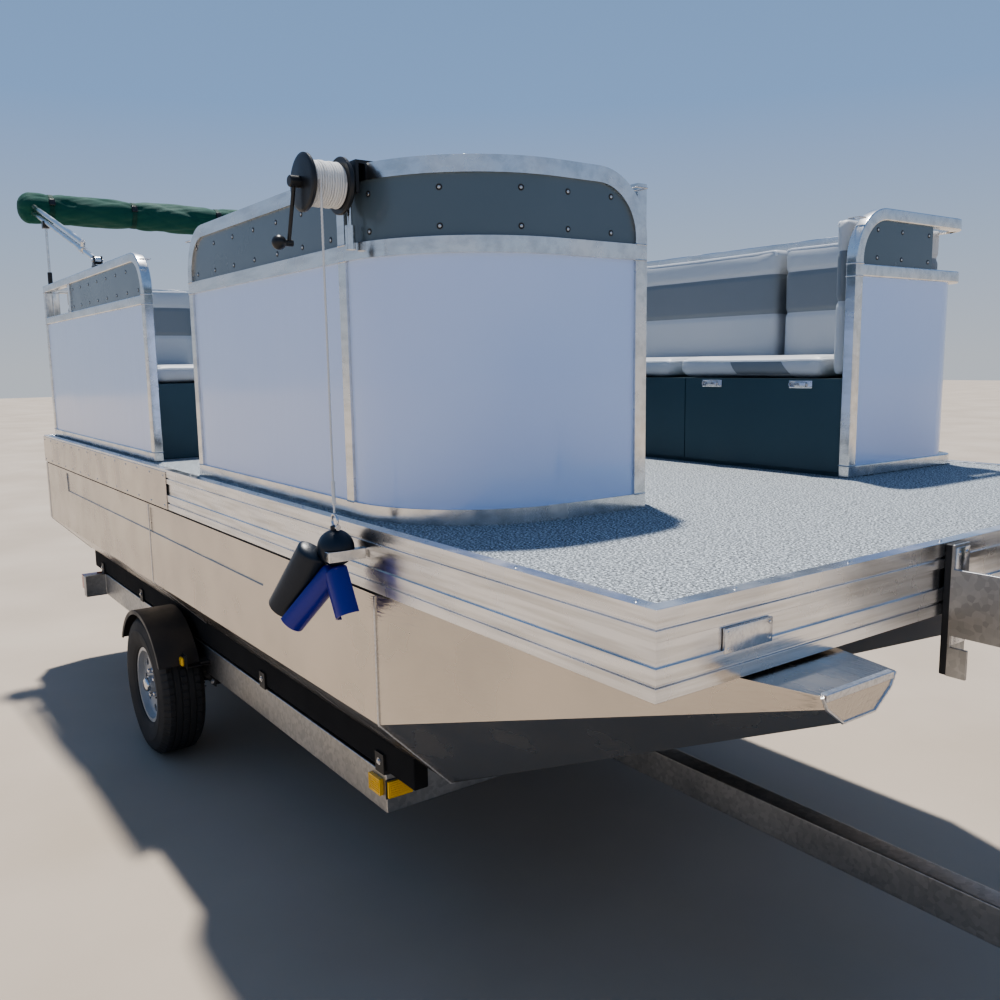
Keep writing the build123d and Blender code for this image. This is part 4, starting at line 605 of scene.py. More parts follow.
@dataclass(frozen=True)
class Palette:
    """Every finish on the boat and its trailer."""

    # Pontoon sheet with a warm tan metal colour: partly the mill finish's own tone, partly a painted
    # reflection of warm sunlit ground.
    hull: Finish = Finish(
        "mill_sheet", (0.62, 0.565, 0.505), Texture.ROLLED, (0.47, 0.43, 0.39), metallic=1.0,
        roughness=0.23, scatter=0.08, depth=0.0010, scale=160.0, along=(0.05, 1.0, 1.0),
    )
    rail: Finish = Finish(
        "bright_tube", (0.78, 0.77, 0.755), Texture.BRUSHED, (0.63, 0.625, 0.615), metallic=1.0,
        roughness=0.22, scatter=0.10, depth=0.00008, scale=300.0, along=(0.08, 0.4, 0.4),
    )
    edge_rail: Finish = Finish(
        "extruded_edge", (0.81, 0.81, 0.82), Texture.BRUSHED, (0.60, 0.59, 0.58), metallic=1.0,
        roughness=0.26, scatter=0.10, depth=0.00018, scale=240.0, along=(0.05, 0.05, 1.0),
    )
    channel: Finish = Finish(
        "mill_extrusion", (0.62, 0.63, 0.64), Texture.BRUSHED, (0.52, 0.52, 0.53), metallic=1.0,
        roughness=0.42, depth=0.0001, scale=200.0, along=(1.0, 0.06, 1.0),
    )
    deck: Finish = Finish(
        "flecked_floor", (0.215, 0.238, 0.255), Texture.SPECKLE, (0.18, 0.205, 0.225), roughness=0.74,
        depth=0.0010, scale=190.0,
    )
    # White sheets given a blue-lavender base colour: painted light, standing in for the blue skylight on the
    # sheets in shade.
    skin_white: Finish = Finish(
        "white_sheet_painted_skylight", (0.60, 0.71, 0.97), Texture.ROLLED, (0.55, 0.67, 0.95), roughness=0.13,
        scatter=0.03, depth=0.0005, scale=60.0, along=(0.3, 0.3, 0.02), coat=0.5,
    )
    skin_dark: Finish = Finish(
        "dark_sheet", (0.115, 0.155, 0.185), Texture.ROLLED, (0.095, 0.13, 0.16), roughness=0.24,
        scatter=0.05, depth=0.0003, scale=90.0, along=(0.3, 0.3, 0.1), coat=0.2,
    )
    rubber: Finish = Finish(
        "black_rubber", (0.022, 0.022, 0.023), Texture.RUBBER, (0.04, 0.04, 0.04), roughness=0.62,
        depth=0.0002, scale=500.0,
    )
    tyre: Finish = Finish(
        "tyre_rubber", (0.024, 0.024, 0.025), Texture.RUBBER, (0.055, 0.05, 0.045), roughness=0.72,
        depth=0.0003, scale=260.0,
    )
    vinyl: Finish = Finish(
        "light_vinyl", (0.56, 0.57, 0.58), Texture.GRAIN, (0.48, 0.49, 0.50), roughness=0.44,
        depth=0.00025, scale=620.0, sheen=0.05,
    )
    vinyl_dark: Finish = Finish(
        "dark_vinyl", (0.215, 0.235, 0.250), Texture.GRAIN, (0.185, 0.205, 0.220), roughness=0.42,
        depth=0.00025, scale=620.0, sheen=0.05,
    )
    piping: Finish = Finish(
        "white_piping", (0.80, 0.81, 0.82), Texture.GRAIN, (0.72, 0.73, 0.74), roughness=0.38,
        depth=0.0001, scale=900.0,
    )
    seat_base: Finish = Finish(
        "teal_panel", (0.030, 0.072, 0.092), Texture.SMOOTH, (0.024, 0.058, 0.076), roughness=0.42,
        depth=0.0002, scale=320.0,
    )
    console: Finish = Finish(
        "white_gelcoat", (0.78, 0.80, 0.82), Texture.SMOOTH, (0.73, 0.75, 0.77), roughness=0.18,
        scatter=0.05, depth=0.00012, scale=14.0, coat=0.4,
    )
    screen: Finish = Finish(
        "tinted_acrylic", (0.20, 0.23, 0.25), Texture.SMOOTH, (0.17, 0.20, 0.22), roughness=0.06,
        scatter=0.02, depth=0.00003, scale=20.0, clear=0.75,
    )
    moulding: Finish = Finish(
        "black_moulding", (0.018, 0.019, 0.021), Texture.SMOOTH, (0.035, 0.036, 0.038),
        roughness=0.34, depth=0.0002, scale=700.0,
    )
    chair_metal: Finish = Finish(
        "powder_coat", (0.045, 0.048, 0.052), Texture.SMOOTH, (0.07, 0.07, 0.075), roughness=0.46,
        depth=0.00015, scale=900.0,
    )
    boot: Finish = Finish(
        "green_canvas", (0.003, 0.088, 0.062), Texture.WEAVE, (0.002, 0.064, 0.046), roughness=0.8,
        depth=0.00035, scale=120.0, sheen=0.05,
    )
    webbing: Finish = Finish(
        "green_webbing", (0.003, 0.06, 0.042), Texture.WEAVE, (0.003, 0.05, 0.028), roughness=0.7,
        depth=0.0004, scale=300.0,
    )
    rope: Finish = Finish(
        "white_line", (0.80, 0.79, 0.76), Texture.FIBRE, (0.66, 0.65, 0.62), roughness=0.8,
        depth=0.0004, scale=900.0, sheen=0.1,
    )
    anchor_blue: Finish = Finish(
        "blue_dip_coat", (0.010, 0.012, 0.27), Texture.SMOOTH, (0.007, 0.006, 0.17), roughness=0.32,
        depth=0.0008, scale=55.0, coat=0.25,
    )
    # The anchor's blue dip coat painted dark navy: painted shade on the first fluke, the shank and the domed
    # head, which lie in shade.
    anchor_blue_painted_shade: Finish = Finish(
        "blue_dip_coat_painted_shade", (0.005, 0.011, 0.022), Texture.SMOOTH, (0.010, 0.020, 0.036), roughness=0.36,
        depth=0.0008, scale=55.0,
    )
    galvanised: Finish = Finish(
        "zinc_coat", (0.47, 0.465, 0.46), Texture.SPANGLE, (0.37, 0.37, 0.37), metallic=1.0,
        roughness=0.40, scatter=0.08, depth=0.00012, scale=75.0,
    )
    black_steel: Finish = Finish(
        "black_paint", (0.020, 0.020, 0.021), Texture.SMOOTH, (0.07, 0.06, 0.052), roughness=0.45,
        scatter=0.12, depth=0.00025, scale=380.0,
    )
    carpet: Finish = Finish(
        "bunk_carpet", (0.006, 0.006, 0.007), Texture.FIBRE, (0.016, 0.015, 0.015), roughness=1.0,
        depth=0.0025, scale=520.0,
    )
    wheel_paint: Finish = Finish(
        "silver_paint", (0.56, 0.57, 0.58), Texture.SMOOTH, (0.46, 0.46, 0.46), metallic=0.6,
        roughness=0.34, depth=0.0002, scale=300.0,
    )
    amber: Finish = Finish(
        "amber_lens", (0.98, 0.56, 0.012), Texture.SMOOTH, (0.92, 0.48, 0.008), roughness=0.16,
        scatter=0.03, depth=0.00005, scale=60.0, coat=0.5,
    )
    red: Finish = Finish(
        "red_lens", (0.52, 0.012, 0.010), Texture.SMOOTH, (0.42, 0.008, 0.007), roughness=0.14,
        scatter=0.03, depth=0.00005, scale=60.0, clear=0.25, coat=0.5,
    )
    steel: Finish = Finish(
        "bright_steel", (0.72, 0.72, 0.73), Texture.BRUSHED, (0.58, 0.58, 0.60), metallic=1.0,
        roughness=0.24, depth=0.00004, scale=500.0,
    )
    weld: Finish = Finish(
        "weld_metal", (0.66, 0.66, 0.67), Texture.BRUSHED, (0.50, 0.50, 0.51), metallic=1.0,
        roughness=0.36, depth=0.0002, scale=600.0,
    )
    dial: Finish = Finish(
        "dial_face", (0.82, 0.82, 0.80), Texture.SMOOTH, (0.76, 0.76, 0.74), roughness=0.35,
        depth=0.00002, scale=100.0,
    )


PALETTE = Palette()


# From shapes to pieces of the scene


@dataclass(frozen=True)
class Layout:
    """Where the deck lies in the frame.

    Attributes:
        bow: x of the deck's bow edge.
        stern: x of the deck's stern edge.
        half_beam: half of the deck's width.
        deck: height of the floor.
        hull_top: height of the pontoons' top.
        hull_low: height of the pontoons' bottom.
    """

    bow: float
    stern: float
    half_beam: float
    deck: float
    hull_top: float
    hull_low: float

    @classmethod
    def read(cls) -> Layout:
        """Reads the deck and the pontoons from the frame."""
        low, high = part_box("deck_rail")
        hull_low, hull_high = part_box("pontoon_starboard")
        return cls(high.x, low.x, high.y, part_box("deck_sheet")[1].z, hull_high.z, hull_low.z)

    def aft(self, distance: float) -> float:
        """The x of a distance behind the bow edge."""
        return self.bow - distance

    def star(self, inset: float) -> float:
        """The y of a distance in from the starboard side."""
        return inset - self.half_beam

    def up(self, height: float) -> float:
        """The z of a height above the floor."""
        return self.deck + height

    def split(self, solid: bpy.types.Object, finish: Finish, low: float, high: float) -> None:
        """Gives the faces of a dressed solid between two heights another finish.

        Args:
            solid: the dressed solid.
            finish: the other material.
            low: lower height above the floor.
            high: upper height above the floor.
        """
        mesh = solid.data
        mesh.materials.append(finish.material())
        corner = np.zeros(len(mesh.polygons) * 3, np.int32)
        mesh.polygons.foreach_get("vertices", corner)
        middle = read_points(mesh)[:, 2][corner.reshape(-1, 3)].mean(axis=1)
        which = (middle > self.up(low)) & (middle < self.up(high))
        mesh.polygons.foreach_set("material_index", which.astype(np.int32))


def mesh_of(name: str, shape: Shape, smooth: float) -> bpy.types.Mesh:
    """Turns a shape into a mesh with merged doubles and outward faces.

    Args:
        name: the mesh's name.
        shape: points and faces.
        smooth: edges sharper than this angle in degrees stay sharp.

    Returns:
        The mesh.
    """
    mesh = bpy.data.meshes.new(name)
    faces = [row for rows in shape.faces for row in rows.tolist()]
    mesh.from_pydata(shape.points.tolist(), [], faces)
    work = bmesh.new()
    work.from_mesh(mesh)
    bmesh.ops.remove_doubles(work, verts=work.verts, dist=2e-6)
    bmesh.ops.dissolve_degenerate(work, edges=work.edges, dist=1e-6)
    bmesh.ops.recalc_face_normals(work, faces=work.faces)
    work.to_mesh(mesh)
    work.free()
    mesh.shade_smooth()
    mesh.set_sharp_from_angle(angle=math.radians(smooth))
    return mesh


def make(
    name: str, shape: Shape, finish: Finish, body: str = "boat",
    replaces: Sequence[str] = (), smooth: float = 35.0,
) -> bpy.types.Object:
    """Makes a piece from a shape and fixes it to a body.

    Args:
        name: the piece's name.
        shape: its surface in the frame's own place.
        finish: its material.
        body: the body that it rides on.
        replaces: solids that it stands for.
        smooth: edges sharper than this angle in degrees stay sharp.

    Returns:
        The piece.
    """
    piece = bpy.data.objects.new(name, mesh_of(name, shape, smooth))
    bpy.context.scene.collection.objects.link(piece)
    piece.data.materials.append(finish.material())
    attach(piece, body)
    if replaces:
        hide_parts(*replaces)
    LOG.info("made %s with %d faces", name, len(piece.data.polygons))
    return piece


def dress(nodes: dict, name: str, finish: Finish, edge: float = 0.0015) -> None:
    """Gives a solid its finish and eased edges.

    Args:
        nodes: the frame's objects by name.
        name: the solid's node.
        finish: its material.
        edge: width of the rounding of its sharp edges; none where it is 0.
    """
    solid = nodes[name]
    solid.data.materials.clear()
    solid.data.materials.append(finish.material())
    if edge <= 0:
        return
    weld = solid.modifiers.new("Joined", "WELD")
    weld.merge_threshold = 1e-5
    bevel = solid.modifiers.new("Eased", "BEVEL")
    bevel.width = edge
    bevel.segments = 2
    bevel.limit_method = "ANGLE"
    bevel.angle_limit = math.radians(32)
    bevel.harden_normals = False
    even = solid.modifiers.new("Even", "WEIGHTED_NORMAL")
    even.keep_sharp = False


def dress_all(nodes: dict, finishes: dict[str, tuple[Finish, float]]) -> None:
    """Gives every named solid its finish and the width of its eased edges."""
    for name, (finish, edge) in finishes.items():
        dress(nodes, name, finish, edge)


def read_points(mesh: bpy.types.Mesh, what: str = "co") -> Array:
    """All of a mesh's vertex places or normals, one row each."""
    rows = np.zeros(len(mesh.vertices) * 3, np.float32)
    mesh.vertices.foreach_get(what, rows)
    return rows.reshape(-1, 3).astype(float)


def write_points(mesh: bpy.types.Mesh, points: Array) -> None:
    """Moves all of a mesh's vertices."""
    mesh.vertices.foreach_set("co", points.astype(np.float32).ravel())
    mesh.update()


def settle(piece: bpy.types.Object) -> None:
    """Turns a piece's modifiers into its mesh.

    Args:
        piece: the piece with its modifiers.
    """
    bpy.context.view_layer.update()
    graph = bpy.context.evaluated_depsgraph_get()
    done = bpy.data.meshes.new_from_object(piece.evaluated_get(graph))
    old = piece.data
    piece.modifiers.clear()
    piece.data = done
    bpy.data.meshes.remove(old)
    done.name = piece.name


def surface_of(piece: bpy.types.Object) -> BVHTree:
    """The piece's surface, ready to be searched."""
    work = bmesh.new()
    work.from_mesh(piece.data)
    tree = BVHTree.FromBMesh(work)
    work.free()
    return tree


# Upholstery and cloth


@dataclass(frozen=True)
class Room:
    """Inside of a rounded bow corner that seats have to stay in.

    Attributes:
        centre: x and y of the corner's arc.
        radius: radius of the arc, already less the seats' gap.
    """

    centre: tuple[float, float]
    radius: float

    def kept(self, points: Array) -> Array:
        """Brings points beyond the arc, in its quarter, back onto it along its radius.

        Args:
            points: n x 3 points.

        Returns:
            The points, some of them moved.
        """
        away = points[:, :2] - np.array(self.centre)
        reach = np.linalg.norm(away, axis=1)
        out = (away[:, 0] > 0) & (away[:, 1] > 0) & (reach > self.radius)
        moved = points.copy()
        moved[out, :2] = np.array(self.centre) + away[out] * (self.radius / reach[out])[:, None]
        return moved


@dataclass(frozen=True)
class Cushion:
    """One upholstered pad.

    Attributes:
        name: the piece's name.
        node: solid that it stands for.
        low: lowest corner of the space it fills.
        high: highest corner of that space.
        finish: its cover.
        body: the body that it rides on.
        edge: rounding of its foam's edges.
        swell: room left on each side for the cover to swell into.
        cap: farthest that a point of the cover may move.
        voxel: size of the mesh's squares before they are divided once.
        channels: heights of sewn channels round it.
        welts: (axis, side) of the faces that have piping round them.
        welt: radius of the piping.
        room: rounded corner that it stays in.
        top_welt: the piping is kept to the pad's top 40 mm.
        fill: how full it is, from 0 to 1; not used.
    """

    name: str
    node: str
    low: Point
    high: Point
    finish: Finish
    body: str = "boat"
    edge: float = 0.026
    swell: float = 0.007
    cap: float = 0.012
    voxel: float = 0.014
    channels: tuple[float, ...] = ()
    welts: tuple[tuple[int, int], ...] = ()
    welt: float = 0.0048
    room: Room | None = None
    top_welt: bool = False
    fill: float = 0.75

    def blank(self) -> bpy.types.Object:
        """The pad before its cover is blown up: a rounded slab with an even mesh."""
        low = np.asarray(self.low) + self.swell
        high = np.asarray(self.high) - self.swell
        radius = min(self.edge, float((high - low).min()) * 0.49)
        pad = slab(low, high, radius)
        piece = make(self.name, pad, self.finish, self.body, (self.node,))
        remesh = piece.modifiers.new("Even", "REMESH")
        remesh.mode = "VOXEL"
        remesh.voxel_size = self.voxel
        remesh.use_smooth_shade = True
        settle(piece)
        return piece

    def fitted(self, points: Array) -> Array:
        """Points kept inside the pad's space and its rounded corner."""
        kept = np.clip(points, np.asarray(self.low) + 0.0004, np.asarray(self.high) - 0.0004)
        return self.room.kept(kept) if self.room else kept

    def finished(self, piece: bpy.types.Object) -> None:
        """Divides the mesh once, presses in the sewn channels and adds the piping.

        A channel lowers each point by 0.0055 * exp(-(distance to the channel / 0.010)^2) against its
        normal.

        Args:
            piece: the pad after its cover is blown up.
        """
        write_points(piece.data, self.fitted(read_points(piece.data)))
        finer = piece.modifiers.new("Finer", "SUBSURF")
        finer.levels = finer.render_levels = 1
        settle(piece)
        points, normals = read_points(piece.data), read_points(piece.data, "normal")
        for height in self.channels:
            press = 0.0055 * np.exp(-(((points[:, 2] - height) / 0.010) ** 2))
            points = points - normals * press[:, None]
        write_points(piece.data, self.fitted(points))
        piece.data.shade_smooth()
        self.piping(piece)

    def loop(self, axis: int, side: int) -> Array:
        """Rounded rectangle just inside one face of the pad's space.

        Args:
            axis: the axis that the face looks along.
            side: 1 or -1, the way that it looks.

        Returns:
            The rectangle as n x 3 points.
        """
        low, high = np.asarray(self.low), np.asarray(self.high)
        others = [index for index in range(3) if index != axis]
        half = (high - low) / 2 - 0.010
        flat = rounded_loop(*half[others], 0.028)
        path = np.tile((low + high) / 2, (len(flat), 1))
        path[:, others] += flat
        path[:, axis] += side * (half[axis] + 0.004)
        return path

    def piping(self, piece: bpy.types.Object) -> None:
        """Lays a round welt on the cover along each chosen face's edge.

        Args:
            piece: the finished pad.
        """
        if not self.welts:
            return
        tree = surface_of(piece)
        rolls = []
        for axis, side in self.welts:
            path = self.loop(axis, side)
            if self.room:
                path = self.room.kept(path)
            laid = smoothed(np.array([tree.find_nearest(Vector(point))[0] for point in path]))
            up = tuple(np.eye(3)[axis])
            if self.top_welt:
                low = int(np.argmin(laid[:, 2]))
                laid = np.roll(laid, -low, axis=0)
                laid = laid[laid[:, 2] > self.high[2] - 0.04]
            rolls.append(sweep(laid, circle(self.welt, 8), up=up, closed=not self.top_welt))
        make(self.name + "_piping", joined(rolls), PALETTE.piping, self.body)


def smoothed(path: Array) -> Array:
    """Closed path averaged three times with its neighbours: (before + 2 here + after) / 4."""
    for _ in range(3):
        path = (np.roll(path, 1, axis=0) + 2 * path + np.roll(path, -1, axis=0)) / 4
    return path


def inflate(pads: Sequence[tuple[bpy.types.Object, float]], frames: int = 20) -> None:
    """Blows up the covers of the pads together, without gravity, and keeps the result as mesh.

    A point moves by its simulated move, shortened to the pad's cap.

    Args:
        pads: pieces and the farthest that a point of each may move.
        frames: steps of the simulation.
    """
    scene = bpy.context.scene
    for piece, _ in pads:
        cloth = piece.modifiers.new("Cover", "CLOTH")
        cloth.settings.quality = 4
        cloth.settings.use_pressure = True
        cloth.settings.uniform_pressure_force = 4.0
        cloth.settings.effector_weights.gravity = 0.0
        cloth.collision_settings.use_collision = False
        cloth.point_cache.frame_start = 1
        cloth.point_cache.frame_end = frames
    for step in range(1, frames + 1):
        scene.frame_set(step)
    graph = bpy.context.evaluated_depsgraph_get()
    for piece, cap in pads:
        start = read_points(piece.data)
        blown = bpy.data.meshes.new_from_object(piece.evaluated_get(graph))
        move = read_points(blown) - start
        bpy.data.meshes.remove(blown)
        piece.modifiers.clear()
        length = np.linalg.norm(move, axis=1, keepdims=True)
        short = np.minimum(1.0, cap / np.maximum(length, 1e-9))
        write_points(piece.data, start + move * short)
    scene.frame_set(1)


# Sub-assemblies


@dataclass(frozen=True)
class Studio:
    """Camera, floor and light.

    Attributes:
        eye: place of the camera.
        right: the camera's own X.
        lift: the camera's own Y.
        ahead: way that the camera looks.
        lens: focal length in millimetres.
        sensor: width of the sensor in millimetres.
        sun: way that the sunlight travels.
        sun_colour: colour of the sunlight.
        sky: (height, colour) stops of the sky, from level upwards.
        floor: half width of the floor.
        tones: both colours of the floor.
    """

    eye: Point = (0.41688, -2.14867, 1.68123)
    right: Point = (0.58586, 0.81029, -0.014595)
    lift: Point = (-0.11106, 0.09811, 0.98896)
    ahead: Point = (-0.80278, 0.57777, -0.14746)
    lens: float = 33.37
    sensor: float = 36.0
    sun: Point = (0.282, -0.135, -0.84)
    sun_colour: Colour = (1.0, 0.955, 0.88)
    sky: tuple[tuple[float, Colour], ...] = (
        (0.0, (0.56, 0.60, 0.65)), (0.25, (0.27, 0.42, 0.69)), (0.9, (0.15, 0.25, 0.46)),
    )
    floor: float = 60.0
    tones: tuple[Colour, Colour] = ((0.42, 0.355, 0.285), (0.48, 0.415, 0.345))

    def camera(self) -> None:
        """Puts the camera where the photograph was taken from."""
        data = bpy.data.cameras.new("photo_view")
        data.lens, data.sensor_width = self.lens, self.sensor
        data.clip_start, data.clip_end = 0.05, 200.0
        camera = bpy.data.objects.new("photo_view", data)
        back = [-part for part in self.ahead]
        camera.matrix_world = Matrix([*zip(self.right, self.lift, back, self.eye), (0, 0, 0, 1)])
        bpy.context.scene.collection.objects.link(camera)
        bpy.context.scene.camera = camera

    def ground(self) -> None:
        """A plain pale floor."""
        reach = (-self.floor, self.floor)
        mesh = mesh_of("floor", grid(spots(reach, reach, (0.0,)).reshape(2, 2, 3)), 30)
        if mesh.polygons[0].normal.z < 0:
            mesh.flip_normals()
        floor = bpy.data.objects.new("floor", mesh)
        bpy.context.scene.collection.objects.link(floor)
        made = bpy.data.materials.new("pale_floor")
        wires = Wiring(made)
        tone = wires.mix(wires.span(wires.noise(0.8, 5.0), 0.35, 0.65, 0.0, 1.0), *self.tones)
        shader = wires.add("BsdfPrincipled", {"Base Color": tone, "Roughness": 0.92})
        wires.add("OutputMaterial", {"Surface": shader.outputs[0]})
        mesh.materials.append(made)
        floor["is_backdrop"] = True

    def light(self) -> None:
        """High soft sun from astern to port, and a sky that is paler near the ground."""
        lamp = bpy.data.lights.new("soft_sun", "SUN")
        lamp.energy, lamp.angle, lamp.color = 5.2, math.radians(2.5), self.sun_colour
        sun = bpy.data.objects.new("soft_sun", lamp)
        sun.rotation_mode = "QUATERNION"
        sun.rotation_quaternion = Vector(self.sun).to_track_quat("-Z", "Y")
        bpy.context.scene.collection.objects.link(sun)
        world = bpy.data.worlds.new("pale_sky")
        bpy.context.scene.world = world
        wires = Wiring(world, "Generated")
        ramp = wires.add("ValToRGB", {0: wires.add("SeparateXYZ", {0: wires.place}).outputs["Z"]})
        glow = wires.add("Background", {"Color": ramp.outputs[0], "Strength": 0.85})
        wires.add("OutputWorld", {"Surface": glow.outputs[0]})
        stops = ramp.color_ramp.elements
        level, middle, top = self.sky
        stops[0].position, stops[0].color = level[0], _rgba(level[1])
        stops[1].position, stops[1].color = top[0], _rgba(top[1])
        stops.new(middle[0]).color = _rgba(middle[1])
        bpy.context.scene.view_settings.look = "AgX - Medium High Contrast"


@dataclass(frozen=True)
class Nose:
    """Small blunt end of a pontoon's taper.

    Attributes:
        ahead: how far it reaches beyond the deck's bow edge.
        offset: its outer corner's distance in from the hull's side.
        top_width: width at its top edge.
        mid_width: width at its middle break.
        low_width: width at its bottom edge.
        mid_drop: how far the break lies below the top.
        depth: height of the face.
        bead: radius of the weld bead round it.
        strip_half: half length of the capping strip.
        strip_height: height of the capping strip.
        strip_proud: how far the strip stands out of the face.
    """

    ahead: float = 0.127
    offset: float = 0.245
    top_width: float = 0.206
    mid_width: float = 0.180
    low_width: float = 0.090
    mid_drop: float = 0.025
    depth: float = 0.058
    bead: float = 0.0030
    strip_half: float = 0.095
    strip_height: float = 0.012
    strip_proud: float = 0.0035

    def outline(self) -> Array:
        """Corners of the face's sides and bottom, as (across, up) from the middle of its top edge."""
        half = [(self.top_width / 2, -0.0015), (self.mid_width / 2, -self.mid_drop)]
        half = np.array([*half, (self.low_width / 2, -self.depth)])
        return np.vstack([half, half[::-1] * [-1.0, 1.0]])


@dataclass(frozen=True)
class Hull:
    """Pontoons, deck and edge rail.

    Attributes:
        layout: where the deck lies.
        width: width of a pontoon.
        side: depth of its upright side.
        flat: width of its flat bottom.
        nose: the pontoons' blunt front ends.
        seams: distances behind the bow of the pontoons' welded joints.
        bead: radius of their weld beads.
        plate: (in from the side, below the floor) of the blank plate's middle, and its half sizes.
        plate_rim: its rivets' distance from its edges.
        screw_pitch: spacing of the edge rail's screws.
        screw: radius of those screws and of the cover plates' rivets.
        lip: distance of those screws from the rail's edge.
        cover_front: cover plates' first rivets, behind the bow.
        bung_rise: drain plugs' height above the pontoons' bottom.
    """

    layout: Layout
    width: float = 0.694
    side: float = 0.321
    flat: float = 0.294
    nose: Nose = Nose()
    seams: tuple[float, ...] = (0.915, 2.80, 4.86)
    bead: float = 0.0026
    plate: tuple[float, float, float, float] = (0.218, 0.077, 0.061, 0.022)
    plate_rim: float = 0.008
    screw_pitch: float = 0.305
    screw: float = 0.0042
    lip: float = 0.016
    cover_front: float = 2.56
    bung_rise: float = 0.05

    def dress(self, nodes: dict) -> None:
        """Finishes the solids of the hull and the deck.

        Args:
            nodes: the frame's objects by name.
        """
        dress_all(
            nodes,
            {
                "pontoon_starboard": (PALETTE.hull, 0.0025), "pontoon_port": (PALETTE.hull, 0.0025),
                "rail_covers": (PALETTE.hull, 0.0008), "deck_rail": (PALETTE.edge_rail, 0.0009),
                "hull_gaskets": (PALETTE.rubber, 0.0008), "deck_channels": (PALETTE.channel, 0.0015),
                "motor_pod": (PALETTE.channel, 0.0018), "deck_sheet": (PALETTE.deck, 0.0),
            },
        )

    def section(self) -> Array:
        """Outline of the starboard pontoon in y and z, from its outer top edge round to its inner."""
        at = self.layout
        top, knee = at.hull_top - 0.004, at.hull_top - self.side
        step = (self.width - self.flat) / 2
        rows = [(0.0, top), (0.0, knee), (step, at.hull_low), (step + self.flat, at.hull_low)]
        rows += [(self.width, knee), (self.width, top)]
        return np.array([(at.star(inset), z) for inset, z in rows])

    def weld_seams(self) -> None:
        """Rippled weld beads round both pontoons.

        The path is the section's outline with 160 points a metre, and the bead's size is
        1 + 0.18 sin(420 * metres along it).
        """
        outline, steps = spaced(self.section(), 160)
        size = 1 + 0.18 * np.sin(steps * 420)
        profile = circle(self.bead, 6) * np.array([1.0, 1.5])
        beads = []
        for distance in self.seams:
            path = np.column_stack([np.full(len(steps), self.layout.aft(distance)), outline])
            beads.append(sweep(path, profile, up=(1, 0, 0), scale=size))
        make("hull_weld_seams", joined(beads).both_sides(), PALETTE.weld)

    def nose_trim(self) -> None:
        """Weld bead round each blunt nose, with a bright capping strip along its top edge.

        The bead has 260 points a metre and its size is 1 + 0.15 sin(620 * metres along it).
        """
        at, nose = self.layout, self.nose
        x, y = at.bow + nose.ahead, at.star(nose.offset + nose.top_width / 2)
        outline, steps = spaced(nose.outline(), 260)
        path = np.column_stack([np.full(len(steps), x), outline + [y, at.hull_top]])
        bead = sweep(path, circle(nose.bead, 6), up=(1, 0, 0), scale=1 + 0.15 * np.sin(steps * 620))
        low = (x - 0.010, y - nose.strip_half, at.hull_top - nose.strip_height)
        strip = slab(low, (x + nose.strip_proud, y + nose.strip_half, at.hull_top + 0.0018), 0.0014, 2)
        make("nose_trim", (bead + strip).both_sides(), PALETTE.weld)

    def blank_plate(self) -> None:
        """Plain plate on the bow's edge rail, held by four rivets."""
        inset, drop, half_y, half_z = self.plate
        y, z, x = self.layout.star(inset), self.layout.up(-drop), self.layout.bow
        plate = slab((x - 0.004, y - half_y, z - half_z), (x + 0.0022, y + half_y, z + half_z), 0.0016, 3)
        a, b = half_y - self.plate_rim, half_z - self.plate_rim
        corners = spots((x + 0.002,), (y - a, y + a), (z - b, z + b))
        rivets = screw_head(0.0028).at(places(corners, (1, 0, 0)))
        make("bow_blank_plate", plate + rivets, PALETTE.steel)

    def fasteners(self) -> None:
        """Screws in the edge rail's lip, and rivets in its cover plates."""
        at = self.layout
        head = screw_head(self.screw)
        count = int((at.bow - at.stern) / self.screw_pitch)
        xs = np.linspace(at.stern + 0.06, at.bow - 0.06, count)
        top = (at.deck + 0.003,)
        side = spots(xs, (at.star(self.lip), -at.star(self.lip)), top)
        ys = np.linspace(at.star(0.20), -at.star(0.20), 7)
        ends = spots((at.bow - self.lip, at.stern + self.lip), ys, top)
        heads = head.at(places(np.vstack([side, ends]), (0, 0, 1)))
        make("edge_rail_screws", heads, PALETTE.steel)
        rows = np.linspace(at.aft(self.cover_front), at.stern + 0.03, 14)
        out = spots(rows, (-at.half_beam - 0.003,), (at.hull_top + 0.020, at.deck - 0.022))
        rivets = head.at(places(out, (0, -1, 0))).both_sides()
        make("cover_plate_rivets", rivets, PALETTE.steel)

    def bungs(self) -> None:
        """Drain plugs low on the pontoons' sterns."""
        at = self.layout
        flange = [(0, -0.001), (0.020, -0.001), (0.020, 0.005), (0.012, 0.008)]
        plug = lathe([*flange, (0.012, 0.016), (0.0, 0.017)], 24)
        spot = (at.stern, at.star(self.width / 2), at.hull_low + self.bung_rise)
        plugs = plug.at(places(spot, (-1, 0, 0))).both_sides()
        make("drain_plugs", plugs, PALETTE.steel)

    def build(self, nodes: dict) -> None:
        """Dresses the hull and adds its small pieces.

        Args:
            nodes: the frame's objects by name.
        """
        self.dress(nodes)
        self.weld_seams()
        self.nose_trim()
        self.blank_plate()
        self.fasteners()
        self.bungs()


